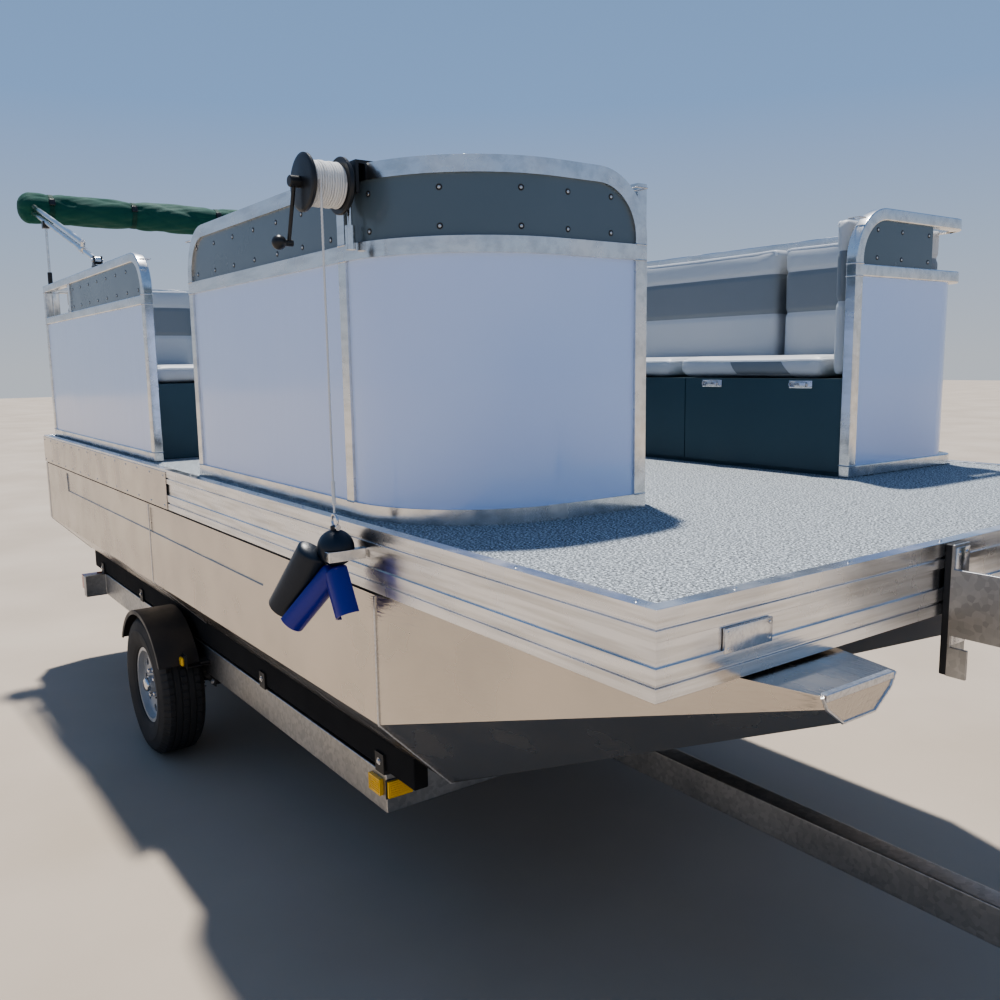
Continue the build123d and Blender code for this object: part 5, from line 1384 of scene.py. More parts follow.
@dataclass(frozen=True)
class Fences:
    """Square-tube fences with their skins, and both gates.

    Places along the boat are behind the bow edge, and places across it are in from the deck's side.

    Attributes:
        layout: where the deck lies.
        tube: size of the tube.
        height: top of the fences above the floor.
        middle: top of the middle rail.
        inset: fences' outer face.
        front: bow fences' front face.
        corner: plan radius of the starboard bow corner.
        port_skin: front end of the port side's dark skin.
        port_rear: rear end of its screws.
        skin_inset: outer face of the skins, in from the tube's.
        bow_post: gate side of the bow posts.
        gate_front: front end of the side gateway.
        gate_rear: its rear end.
        port_post: middle post of the port fence.
        window_post: post ahead of the open bay at the stern.
        stern_inset: stern fence's outer face, ahead of the stern edge.
        bead: radius of the weld beads.
        screw_rows: heights of the screws in the dark skins.
        screw_pitch: their spacing.
        screw: radius of their heads.
        front_screws: screws across the bow fences' fronts.
        port_front_screw: one more on the port side.
        star_bolts: bolts through the starboard bottom rail.
        port_bolts: bolts through the port one.
        stern_bolts: bolts through the stern's, from the middle plane.
    """

    layout: Layout
    tube: float = 0.038
    height: float = 0.840
    middle: float = 0.665
    inset: float = 0.055
    front: float = 0.741
    corner: float = 0.366
    port_skin: float = 0.940
    port_rear: float = 4.832
    skin_inset: float = 0.007
    bow_post: float = 0.708
    gate_front: float = 2.300
    gate_rear: float = 2.865
    port_post: float = 3.560
    window_post: float = 4.190
    stern_inset: float = 0.030
    bead: float = 0.0022
    screw_rows: tuple[float, float] = (0.687, 0.772)
    screw_pitch: float = 0.158
    screw: float = 0.0040
    front_screws: tuple[float, ...] = (0.456, 0.592)
    port_front_screw: float = 0.300
    star_bolts: tuple[float, ...] = (1.30, 1.75, 2.20, 2.95, 3.60, 4.25, 4.75)
    port_bolts: tuple[float, ...] = (1.30, 1.75, 2.20, 2.75, 3.30, 3.85, 4.40, 4.75)
    stern_bolts: tuple[float, ...] = (-0.8, -0.3, 0.3, 0.8)

    def dress(self, nodes: dict) -> None:
        """Finishes the tubes and the skins of fences and gates.

        Args:
            nodes: the frame's objects by name.
        """
        tubes = (
            "fence_starboard_front", "fence_starboard_rear", "fence_port", "fence_stern",
            "bow_gate_frame", "side_gate_frame",
        )
        for name in tubes:
            dress(nodes, name, PALETTE.rail, 0.0042)
        dress(nodes, "fence_skins_white", PALETTE.skin_white, 0.0)
        dress(nodes, "fence_skins_dark", PALETTE.skin_dark, 0.0)
        for name in ("bow_gate_skins", "side_gate_skins"):
            dress(nodes, name, PALETTE.skin_white, 0.0)
            self.layout.split(nodes[name], PALETTE.skin_dark, self.middle - self.tube / 2, self.height)

    def posts(self) -> list[tuple[float, float, bool]]:
        """Middle of every post in x and y, and whether it reaches down to the floor."""
        at, half = self.layout, self.tube / 2
        y = at.star(self.inset + half)
        rows: list[tuple[float, float, bool]] = []
        for side in (1, -1):
            rows.append((at.aft(self.front + self.corner + half), side * y, True))
            rows.append((at.aft(self.front + half), side * at.star(self.bow_post - half), True))
            rows.append((at.aft(self.gate_front - half), side * y, True))
        rows.append((at.aft(self.gate_rear + half), y, True))
        rows.append((at.aft(self.port_post - half), -y, True))
        rows.append((at.aft(self.window_post + half), y, False))
        rear = at.stern + self.stern_inset + half
        rows += [(rear, place, True) for place in (y, -y, y + self.tube, 0.0, -y - self.tube)]
        return rows

    def welds(self) -> None:
        """Rippled beads where the posts meet the rails.

        One bead is a square loop whose size is 1 + 0.2 sin(20 turns), copied to each joint.
        """
        half = self.tube / 2 + 0.0002
        loop = rounded_loop(half, half, 0.004, 4)
        path = np.column_stack([loop, np.zeros(len(loop))])
        size = 1 + 0.2 * np.sin(turns_of(len(loop)) * 20)
        bead = sweep(path, circle(self.bead, 6), scale=size, closed=True)
        joints = []
        for x, y, whole in self.posts():
            heights = [self.middle, self.height - self.tube]
            if whole:
                heights += [self.tube, self.middle - self.tube]
            joints += [(x, y, self.layout.up(height)) for height in heights]
        make("fence_welds", bead.at(places(np.array(joints), (0, 0, 1))), PALETTE.weld)

    def rows(self) -> list[float]:
        """Heights of the screws' rows in the frame."""
        return [self.layout.up(row) for row in self.screw_rows]

    def side_run(self, first: float, last: float, side: int) -> tuple[Array, Array]:
        """Screws along a straight side.

        Args:
            first: distance behind the bow where the skin begins.
            last: distance where it ends.
            side: 1 for starboard, -1 for port.

        Returns:
            Their places and directions.
        """
        count = max(2, int(round((last - first) / self.screw_pitch)))
        xs = np.linspace(self.layout.aft(first + 0.05), self.layout.aft(last - 0.05), count)
        points = spots(xs, (side * self.layout.star(self.inset + self.skin_inset),), self.rows())
        return points, np.tile([0.0, -float(side), 0.0], (len(points), 1))

    def corner_run(self) -> tuple[Array, Array]:
        """Screw places and directions round the starboard corner: equal turns about its centre."""
        at, radius = self.layout, self.corner - self.skin_inset
        count = int(radius * math.pi / 2 / self.screw_pitch)
        turn = (np.arange(count) + 0.5) / count * math.pi / 2
        out = np.stack([np.sin(turn), -np.cos(turn), np.zeros(count)], axis=-1)
        centre = (at.aft(self.front + self.corner), at.star(self.inset + self.corner), 0.0)
        points = [centre + out * radius + [0, 0, row] for row in self.rows()]
        return np.concatenate(points), np.tile(out, (len(points), 1))

    def front_run(self, side: int, insets: Sequence[float]) -> tuple[Array, Array]:
        """Screws across the front of a bow fence.

        Args:
            side: 1 for starboard, -1 for port.
            insets: their distances in from the deck's side.

        Returns:
            Their places and directions.
        """
        ys = [side * self.layout.star(inset) for inset in insets]
        points = spots((self.layout.aft(self.front + self.skin_inset),), ys, self.rows())
        return points, np.tile([1.0, 0.0, 0.0], (len(points), 1))

    def screws(self) -> None:
        """Screws that hold the dark skins, each with a dark sealing ring."""
        first, last = self.front + self.corner + self.tube, self.gate_front - self.tube
        runs = [
            self.side_run(first, last, 1), self.side_run(self.gate_rear + self.tube, self.window_post, 1),
            self.side_run(self.port_skin, first, -1), self.side_run(first, last, -1),
            self.side_run(self.gate_front, self.port_post - self.tube, -1),
            self.side_run(self.port_post, self.port_rear, -1), self.corner_run(),
            self.front_run(1, self.front_screws),
            self.front_run(-1, (self.port_front_screw, *self.front_screws)),
        ]
        seat = places(*(np.concatenate(parts) for parts in zip(*runs)))
        make("skin_screws", screw_head(self.screw).at(seat), PALETTE.channel)
        ring = lathe([(0.0, 0.0), (0.0075, 0.0), (0.0070, 0.0009), (0.0, 0.0009)], 12)
        make("skin_screw_seals", ring.at(seat), PALETTE.rubber)

    def deck_bolts(self) -> None:
        """Bolts through the bottom rails' inner faces."""
        at = self.layout
        y = at.star(self.inset + self.tube)
        z = (at.up(self.tube / 2),)
        x = at.stern + self.stern_inset + self.tube
        inward = places(spots([at.aft(d) for d in self.star_bolts], (y,), z), (0, 1, 0))
        outward = places(spots([at.aft(d) for d in self.port_bolts], (-y,), z), (0, -1, 0))
        rear = places(spots((x,), self.stern_bolts, z), (1, 0, 0))
        heads = hex_bolt(0.011, 0.006).at(np.concatenate([inward, outward, rear]))
        make("fence_foot_bolts", heads, PALETTE.steel)

    def latch(self, body: str, low: Point, high: Point, spot: Point, slide: Point, out: Point) -> None:
        """Slide latch: a plate, a bolt along it and the bolt's knob.

        Args:
            body: the gate that it rides on.
            low: lowest corner of the plate.
            high: highest corner of the plate.
            spot: middle of the bolt.
            slide: way that the bolt slides.
            out: way that the knob points.
        """
        bolt = lathe([(0, -0.03), (0.005, -0.03), (0.005, 0.03), (0, 0.03)], 12)
        neck = [(0, 0), (0.003, 0), (0.003, 0.010), (0.007, 0.013)]
        knob = lathe([*neck, (0.007, 0.018), (0, 0.020)], 12)
        moving = bolt.at(places(spot, slide)) + knob.at(places(spot, out))
        make(body + "_latch", slab(low, high, 0.002, 3) + moving, PALETTE.steel, body)

    def latches(self) -> None:
        """Slide latches on the gates' free ends."""
        low_z = self.layout.up(self.middle + 0.02)
        middle, high_z = low_z + 0.05, low_z + 0.10
        low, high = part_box("bow_gate_frame")
        self.latch(
            "bow_gate", (low.x + 0.004, high.y - 0.001, low_z), (low.x + 0.030, high.y + 0.004, high_z),
            (low.x + 0.012, high.y + 0.008, middle), (1, 0, 0), (0, 1, 0),
        )
        low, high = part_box("side_gate_frame")
        self.latch(
            "side_gate", (high.x - 0.001, high.y - 0.030, low_z), (high.x + 0.004, high.y - 0.004, high_z),
            (high.x + 0.008, high.y - 0.017, middle), (0, 1, 0), (1, 0, 0),
        )

    def build(self, nodes: dict) -> None:
        """Dresses the fences and adds their welds and fastenings.

        Args:
            nodes: the frame's objects by name.
        """
        self.dress(nodes)
        self.welds()
        self.screws()
        self.deck_bolts()
        self.latches()


@dataclass(frozen=True)
class Seats:
    """Port bench, starboard lounge and the helm's chair cushions.

    Distances along the boat are behind the bow edge, and heights are above the floor.

    Attributes:
        layout: where the deck lies.
        base: top of the seat bases.
        thick: thickness of the seat cushions.
        back_top: top of the backs.
        back: thickness of the backs.
        wall: outer face of the backs, in from the deck's side.
        bench_front: front end of the bench.
        bench_rear: its rear end.
        bench_depth: its depth.
        overhang: how far its seats reach past its base.
        end_back: thickness of its end back.
        seat_seams: joints between its seats.
        back_seams: joints between its backs.
        bow_corner: (behind the bow, in from the side, radius) of the arc that the bench stays in.
        lounge_front: front end of the lounge's base.
        lounge_back: front face of its back.
        lounge_depth: size of its base across the boat.
        lounge_lip: how far its pads reach past its base.
        band: bottom and top of the dark band in the backs.
        gap: half of the gap between two pads.
        patch_top: (rear end, front end, height) of the dark panel's top edge.
        patch_foot: the same of its bottom edge.
        latch_rows: places of the latches along the bench's base.
        latch_rise: their height.
    """

    layout: Layout
    base: float = 0.312
    thick: float = 0.078
    back_top: float = 0.818
    back: float = 0.125
    wall: float = 0.097
    bench_front: float = 0.783
    bench_rear: float = 3.060
    bench_depth: float = 0.603
    overhang: float = 0.008
    end_back: float = 0.060
    seat_seams: tuple[float, float] = (1.505, 2.283)
    back_seams: tuple[float, float] = (1.404, 2.232)
    bow_corner: Point = (0.884, 0.198, 0.099)
    lounge_front: float = 2.950
    lounge_back: float = 4.440
    lounge_depth: float = 0.660
    lounge_lip: float = 0.014
    band: tuple[float, float] = (0.555, 0.710)
    gap: float = 0.003
    patch_top: Point = (1.250, 1.034, 0.374)
    patch_foot: Point = (1.213, 0.985, 0.318)
    latch_rows: tuple[float, float] = (1.314, 0.935)
    latch_rise: float = 0.293

    def striped(self) -> Finish:
        """Light vinyl with the dark band of the backs."""
        return replace(
            PALETTE.vinyl, name="striped_vinyl", second=PALETTE.vinyl_dark.colour, bands=(self.channels(),)
        )

    def channels(self) -> tuple[float, float]:
        """Both edges of the dark band, as heights in the frame."""
        return self.layout.up(self.band[0]), self.layout.up(self.band[1])

    def levels(self) -> tuple[float, float, float]:
        """Bottom and top of the seat cushions and top of the backs, as heights in the frame."""
        up = self.layout.up
        return up(self.base), up(self.base + self.thick), up(self.back_top)

    def corner(self) -> Room:
        """The port bow corner's inside, less the seats' gap from the fence."""
        back, inset, radius = self.bow_corner
        return Room((self.layout.aft(back), -self.layout.star(inset)), radius)

    def row(
        self, ends: Sequence[float], side: tuple[float, float], rise: tuple[float, float]
    ) -> list[tuple[Point, Point]]:
        """Spaces of pads that lie behind one another.

        Args:
            ends: the row's front end, its joints and its rear end.
            side: lowest and highest y.
            rise: lowest and highest z.

        Returns:
            Lowest and highest corner of each space.
        """
        aft, gap = self.layout.aft, self.gap
        return [
            ((aft(rear) + gap, side[0], rise[0]), (aft(front) - gap, side[1], rise[1]))
            for front, rear in zip(ends, ends[1:])
        ]

    def bench(self) -> list[Cushion]:
        """Seat cushions, backs and end back of the bench."""
        at, room, striped, channels = self.layout, self.corner(), self.striped(), self.channels()
        low, middle, top = self.levels()
        outer = -at.star(self.wall)
        inner, face = outer - self.bench_depth, outer - self.back
        start, rear = self.bench_front + self.end_back, self.bench_rear
        seats = self.row([start, *self.seat_seams, rear], (inner - self.overhang, face), (low, middle))
        backs = self.row([start, *self.back_seams, rear], (face, outer), (low + 0.004, top))
        end = (at.aft(start), inner, low + 0.002), (at.aft(self.bench_front), outer, top)
        pads = [
            Cushion(
                f"bench_seat_{index}", "bench_cushions", *space, PALETTE.vinyl, welts=((2, 1),), room=room
            )
            for index, space in enumerate(seats, 1)
        ]
        pads += [
            Cushion(
                f"bench_back_{index}", "bench_backs", *space, striped, edge=0.020, cap=0.009,
                channels=channels, welts=((1, -1),), room=room, top_welt=True,
            )
            for index, space in enumerate(backs, 1)
        ]
        pads.append(
            Cushion(
                "bench_end_back", "bench_backs", *end, striped, edge=0.018, cap=0.006,
                channels=channels, welts=((0, -1),), room=room, top_welt=True,
            )
        )
        return pads

    def lounge(self) -> list[Cushion]:
        """Two seat cushions and the cross back of the lounge."""
        at, lip, rear = self.layout, self.lounge_lip, self.lounge_back
        low, middle, top = self.levels()
        outer = at.star(self.wall)
        inner = outer + self.lounge_depth + lip
        ends = [self.lounge_front - lip, (self.lounge_front + rear) / 2, rear]
        pads = [
            Cushion(f"lounge_seat_{index}", "lounge_cushion", *space, PALETTE.vinyl, welts=((2, 1),))
            for index, space in enumerate(self.row(ends, (outer, inner), (low, middle)), 1)
        ]
        pads.append(
            Cushion(
                "lounge_cross_back", "lounge_back", (at.aft(rear + self.back), outer, low + 0.002),
                (at.aft(rear), inner, top), self.striped(), edge=0.020, cap=0.009,
                channels=self.channels(), welts=((0, 1),), top_welt=True,
            )
        )
        return pads

    def chair(self) -> list[Cushion]:
        """Seat and back of the helm chair."""
        low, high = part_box("chair_cushions")
        seat_top = low.z + 0.085
        back_x = low.x + 0.068
        seat = Cushion(
            "chair_seat", "chair_cushions", (low.x + 0.001, low.y, low.z), (high.x, high.y, seat_top),
            PALETTE.vinyl, body="chair", edge=0.038, voxel=0.011, welts=((2, 1),), cap=0.014,
        )
        back = Cushion(
            "chair_back", "chair_cushions", (low.x, low.y + 0.015, seat_top + 0.001),
            (back_x, high.y - 0.015, high.z), self.striped(), body="chair", edge=0.030, voxel=0.011,
            channels=self.channels(), welts=((0, 1),),
        )
        return [seat, back]

    def patch(self, cushion: bpy.types.Object) -> None:
        """Dark slanted panel sewn to the front of the first bench cushion.

        A grid is slanted in the front plane, dropped onto the cushion and raised by its thickness.

        Args:
            cushion: the first bench cushion.
        """
        tree = surface_of(cushion)
        down, across = np.meshgrid(np.linspace(0, 1, 7), np.linspace(0, 1, 24), indexing="ij")
        rear, front, rise = (
            top + down * (foot - top) for top, foot in zip(self.patch_top, self.patch_foot)
        )
        x = self.layout.aft(rear) + across * (rear - front)
        y = np.full_like(x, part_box("bench_cushions")[0].y - 0.05)
        laid = []
        for point in np.stack([x, y, self.layout.up(rise)], axis=-1).reshape(-1, 3):
            hit = tree.ray_cast(Vector(point), Vector((0, 1, 0)))
            laid.append(hit[0] or Vector(point))
        under = np.array(laid).reshape(*x.shape, 3)
        skin = np.stack([under + [0, 0.001, 0], under - [0, 0.0012, 0]])
        sides = (skin[:, 0], skin[:, 1:, -1], skin[:, -1, -2::-1], skin[:, -2:0:-1, 0])
        shell = joined([grid(skin[0]), grid(skin[1]), grid(np.concatenate(sides, axis=1), wrap_cols=True)])
        make("bench_seat_patch", shell, PALETTE.vinyl_dark)

    def latches(self) -> None:
        """Bright draw latches on the bench's base, each a plate, a lever, a wire bow and rivets."""
        y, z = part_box("bench_base")[0].y, self.layout.up(self.latch_rise)
        for index, middle in enumerate(self.latch_rows, 1):
            x = self.layout.aft(middle)
            plate = slab((x - 0.045, y - 0.0030, z - 0.013), (x + 0.045, y + 0.001, z + 0.013), 0.0015, 3)
            lever = slab((x - 0.018, y - 0.0120, z - 0.009), (x + 0.026, y - 0.0025, z + 0.009), 0.003, 3)
            bow = rounded_loop(0.017, 0.0075, 0.005, 5)
            path = np.column_stack([bow[:, 0] + x - 0.026, np.full(len(bow), y - 0.0055), bow[:, 1] + z])
            wire = sweep(path, circle(0.0018, 6), up=(0, 1, 0), closed=True)
            ends = spots((x - 0.039, x + 0.039), (y - 0.003,), (z - 0.007, z + 0.007))
            rivets = screw_head(0.0022).at(places(ends, (0, -1, 0)))
            make(f"bench_latch_{index}", joined([plate, lever, wire, rivets]), PALETTE.steel)

    def vents(self) -> None:
        """Louvres in the inner side of the lounge's base."""
        low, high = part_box("lounge_base")
        foot, top, y = low.z + 0.10, low.z + 0.22, high.y
        slats = [
            slab((x - 0.006, y - 0.002, foot), (x + 0.006, y + 0.004, top), 0.003, 3)
            for x in np.linspace(high.x - 0.16, high.x - 0.40, 7)
        ]
        make("lounge_vent_slats", joined(slats), PALETTE.moulding)

    def build(self, nodes: dict) -> None:
        """Dresses the bases and makes every pad.

        Args:
            nodes: the frame's objects by name.
        """
        for name in ("bench_base", "lounge_base"):
            dress(nodes, name, PALETTE.seat_base, 0.004)
        plans = [*self.bench(), *self.lounge(), *self.chair()]
        pads = [(plan, plan.blank()) for plan in plans]
        inflate([(piece, plan.cap) for plan, piece in pads])
        for plan, piece in pads:
            plan.finished(piece)
        self.patch(pads[0][1])
        self.latches()
        self.vents()


@dataclass(frozen=True)
class Helm:
    """Console, wheel, dials, throttle and the chair's metal.

    Attributes:
        layout: where the deck lies.
        dash_foot: height of the sloping dash's foot above the floor.
        dash_run: how far the dash slopes forward.
        dials: places of the gauges across the dash, from its middle.
        dial_rise: their height up the dash.
        rockers: places of the rocker switches along their panel.
        pipe: radius of the grab rail.
    """

    layout: Layout
    dash_foot: float = 0.560
    dash_run: float = 0.110
    dials: tuple[float, ...] = (-0.17, -0.09, 0.17)
    dial_rise: float = 0.052
    rockers: tuple[float, ...] = (-0.054, -0.027, 0.0, 0.027)
    pipe: float = 0.008

    def dash(self) -> Array:
        """Place of the sloping dash: its middle, with X across, Y up its slope and Z out of it."""
        low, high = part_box("helm_console")
        foot = self.layout.up(self.dash_foot)
        along = unit(np.array([self.dash_run, 0.0, high.z - foot]))
        place = np.eye(4)
        place[:3, 0] = (0.0, 1.0, 0.0)
        place[:3, 1] = along
        place[:3, 2] = (-along[2], 0.0, along[0])
        place[:3, 3] = (low.x + self.dash_run / 2, (low.y + high.y) / 2, (foot + high.z) / 2)
        return place

    def gauges(self) -> None:
        """Three gauges: rims, pale faces, marks and needles."""
        dash = self.dash()
        centres = dash[:3, 3] + dash[:3, 1] * self.dial_rise + np.outer(self.dials, dash[:3, 0])
        here = places(centres, dash[:3, 2])
        rim = lathe([(0.026, -0.002), (0.033, -0.002), (0.033, 0.006), (0.029, 0.008), (0.026, 0.004)], 28)
        plate = lathe([(0.0, -0.001), (0.027, -0.001), (0.027, 0.0025), (0.0, 0.0025)], 28)
        turn = np.linspace(-2.2, 2.2, 11)
        cos, sin = np.cos(turn), np.sin(turn)
        spun = np.tile(np.eye(4), (len(turn), 1, 1))
        spun[:, :2, 0] = np.stack([cos, sin], axis=-1)
        spun[:, :2, 1] = np.stack([-sin, cos], axis=-1)
        spun[:, :3, 3] = np.stack([cos * 0.0215, sin * 0.0215, np.full_like(cos, 0.0025)], axis=-1)
        tick = slab((-0.0022, -0.0006, 0.0), (0.0022, 0.0006, 0.0006), 0.0002, 2)
        needle = slab((-0.004, -0.0009, 0.0030), (0.017, 0.0009, 0.0040), 0.0004, 2)
        make("helm_dial_rims", rim.at(here), PALETTE.moulding)
        make("helm_dial_faces", plate.at(here), PALETTE.dial)
        make("helm_dial_marks", (tick.at(spun) + needle).at(here), PALETTE.rubber)

    def switches(self) -> None:
        """Rocker switches and a key below the dials."""
        base = slab((-0.075, -0.020, -0.001), (0.075, 0.020, 0.003), 0.0015, 3)
        rocker = slab((-0.008, -0.014, 0.002), (0.008, 0.014, 0.009), 0.003, 3)
        rows = spots(self.rockers, (0.0,), (0.0,))
        key = lathe([(0, 0), (0.009, 0), (0.009, 0.006), (0.003, 0.007), (0.003, 0.016), (0, 0.017)], 16)
        panel = base + rocker.at(places(rows, (0, 0, 1))) + key.at(places((0.056, 0, 0.002), (0, 0, 1)))
        place = self.dash()
        place[:3, 3] += place[:3, 0] * 0.15 - place[:3, 1] * 0.045
        make("helm_switches", panel.at(place), PALETTE.moulding)

    def grab_rail(self) -> None:
        """Bent steel rail across the top of the console, behind the screen."""
        low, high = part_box("helm_console")
        left, right, x = low.y + 0.06, high.y - 0.06, low.x + self.dash_run + 0.03
        y = [left, left, left + 0.04, right - 0.04, right, right]
        z = high.z + np.array([-0.004, 0.035, 0.062, 0.062, 0.035, -0.004])
        step = np.linspace(0, 5, 70)
        bent = [np.interp(step, np.arange(6), column) for column in (y, z)]
        path = np.column_stack([np.full_like(step, x), *bent])
        for _ in range(6):
            path[1:-1] = (path[:-2] + 2 * path[1:-1] + path[2:]) / 4
        foot = lathe([(0, 0), (0.018, 0), (0.018, 0.004), (0.010, 0.010), (0, 0.010)], 20)
        feet = foot.at(places(spots((x,), (left, right), (high.z - 0.001,)), (0, 0, 1)))
        rail = sweep(path, circle(self.pipe, 12), up=(1, 0, 0)) + feet
        make("helm_grab_rail", rail, PALETTE.steel)

    def build(self, nodes: dict) -> None:
        """Dresses the helm and the chair's metal and adds the small pieces.

        Args:
            nodes: the frame's objects by name.
        """
        dress_all(
            nodes,
            {
                "helm_console": (PALETTE.console, 0.005), "helm_screen": (PALETTE.screen, 0.001),
                "throttle": (PALETTE.moulding, 0.003), "steering_wheel": (PALETTE.moulding, 0.001),
                "chair_pedestal": (PALETTE.chair_metal, 0.002), "chair_frame": (PALETTE.chair_metal, 0.003),
            },
        )
        self.gauges()
        self.switches()
        self.grab_rail()


@dataclass(frozen=True)
class Canopy:
    """Folded canopy: bows, mounts, and the cloth boot rolled round the bows' ends.

    Attributes:
        layout: where the deck lies.
        radius: radius of the boot.
        folds: (depth, waves round, waves along per metre, start) of each set of creases.
        straps: places of the straps along the boot, from its middle.
        strap_half: half width of a strap.
        strap_thick: thickness of a strap.
        end: length over which each end of the boot is rounded off.
        slack: how far the boot stays inside its solid's ends.
        buckle_turn: turn about the boot's axis at which the buckles sit.
        seam_turn: turn at which the seam runs.
        pivot: (behind the bow, in from the side, above the floor) of the starboard pivot.
        pivot_half: half thickness of a pivot's bracket.
    """

    layout: Layout
    radius: float = 0.091
    folds: tuple[tuple[float, float, float, float], ...] = (
        (0.0075, 2.0, 0.9, 0.4), (0.0055, 3.0, -1.7, 1.9), (0.0040, 5.0, 2.6, 0.7), (0.0026, 8.0, -4.3, 2.6),
    )
    straps: tuple[float, ...] = (-0.98, -0.52, 0.0, 0.52, 0.98)
    strap_half: float = 0.0125
    strap_thick: float = 0.0022
    end: float = 0.060
    slack: float = 0.003
    buckle_turn: float = 0.35
    seam_turn: float = 4.1
    pivot: Point = (3.642, 0.074, 0.868)
    pivot_half: float = 0.0192

    def half(self) -> float:
        """Half length of the boot's cloth."""
        low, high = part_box("bimini_boot")
        return (high.y - low.y) / 2 - self.slack

    def surface(self, along: Array, turn: Array, lift: Array | float = 0.0) -> Array:
        """Places on the boot's cloth.

        Radius = base - the sum of depth * exp(-(sin(half wave) / 0.38)^2), which cuts narrow valleys,
        - 0.0035 * (1 + sin(7 * along + 1)) / 2 and the straps' pinch 0.009 * exp(-(distance / 0.035)^2),
        rounded off over the last 60 mm at each end.

        Args:
            along: distances from the boot's middle.
            turn: turns about its axis, of the same shape.
            lift: height above the cloth.

        Returns:
            The points, with one more axis of 3.
        """
        radius = np.full_like(along, self.radius)
        for depth, around, waves, start in self.folds:
            bend = 0.8 * np.sin(along * 5.3 + start * 3) + 0.5 * np.sin(along * 13.1 + around)
            wave = np.sin((around * turn + waves * TAU * along + start + bend) / 2)
            radius = radius - depth * np.exp(-((wave / 0.38) ** 2))
        radius = radius - 0.0035 * (1 + np.sin(along * 7.0 + 1.0)) * 0.5
        for strap in self.straps:
            radius = radius - 0.009 * np.exp(-(((along - strap) / 0.035) ** 2))
        low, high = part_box("bimini_boot")
        half = self.half()
        past = np.clip((np.abs(along) - (half - self.end)) / self.end, 0, 1)
        radius = radius * np.sqrt(np.clip(1 - (past * 0.93) ** 2, 0, 1)) + lift
        z = radius * np.sin(turn) * np.where(np.sin(turn) < 0, 1.03, 0.97)
        points = np.stack([radius * np.cos(turn), np.clip(along, -half, half), z], axis=-1)
        return np.array((low + high) / 2) + points

    def boot(self) -> None:
        """The rolled boot, closed at both ends."""
        body = np.linspace(self.end - self.half(), self.half() - self.end, 190)
        cap = self.half() - self.end + self.end * np.sin(np.linspace(0.12, math.pi / 2, 10))
        ys = np.concatenate([-cap[::-1], body, cap])
        rows, cols = np.meshgrid(ys, turns_of(72), indexing="ij")
        cloth = grid(self.surface(rows, cols), wrap_cols=True).capped(72)
        piece = make("canopy_boot", cloth, PALETTE.boot, "bimini", ("bimini_boot",), smooth=60)

    def bindings(self) -> None:
        """The boot's straps with their buckles, and the seam along its underside."""
        edge = self.strap_half * np.array([-1, -1, 1, 1])
        rise = self.strap_thick * np.array([0, 1, 1, 0])
        turn, across = np.meshgrid(turns_of(72), edge, indexing="ij")
        bands = [
            grid(self.surface(strap + across, turn, 0.0005 + rise), wrap_rows=True, wrap_cols=True)
            for strap in self.straps
        ]
        make("canopy_boot_straps", joined(bands), PALETTE.webbing, "bimini")
        middles = np.array(self.straps)
        seats = self.surface(middles, np.full_like(middles, self.buckle_turn), 0.001)
        block = slab((-0.019, -0.017, 0.0), (0.019, 0.017, 0.010), 0.004, 4)
        buckles = block.at(places(seats, (math.cos(self.buckle_turn), 0.0, math.sin(self.buckle_turn))))
        make("canopy_boot_buckles", buckles, PALETTE.moulding, "bimini")
        run = np.linspace(0.08 - self.half(), self.half() - 0.08, 160)
        path = self.surface(run, np.full_like(run, self.seam_turn), 0.0015)
        flap = np.array([(-0.010, -0.001), (0.010, -0.001), (0.010, 0.002), (-0.010, 0.002)])
        seam = sweep(path, flap, up=(0.5, 0, 0.8))
        make("canopy_boot_seam", seam, PALETTE.webbing, "bimini")

    def pivots(self) -> None:
        """Bolt heads on both faces of the canopy's pivots."""
        back, inset, height = self.pivot
        x, y, z = self.layout.aft(back), self.layout.star(inset), self.layout.up(height)
        head = hex_bolt(0.014, 0.006)
        heads = [head.at(places((x, y + face * self.pivot_half, z), (0, face, 0))) for face in (-1, 1)]
        make("canopy_pivot_bolts", joined(heads).both_sides(), PALETTE.steel)

    def build(self, nodes: dict) -> None:
        """Dresses the bows and mounts and makes the boot.

        Args:
            nodes: the frame's objects by name.
        """
        dress(nodes, "bimini_frame", PALETTE.rail, 0.0)
        dress(nodes, "bimini_mounts", PALETTE.moulding, 0.0015)
        self.layout.split(nodes["bimini_mounts"], PALETTE.rail, 0.900, 1.085)
        self.boot()
        self.bindings()
        self.pivots()


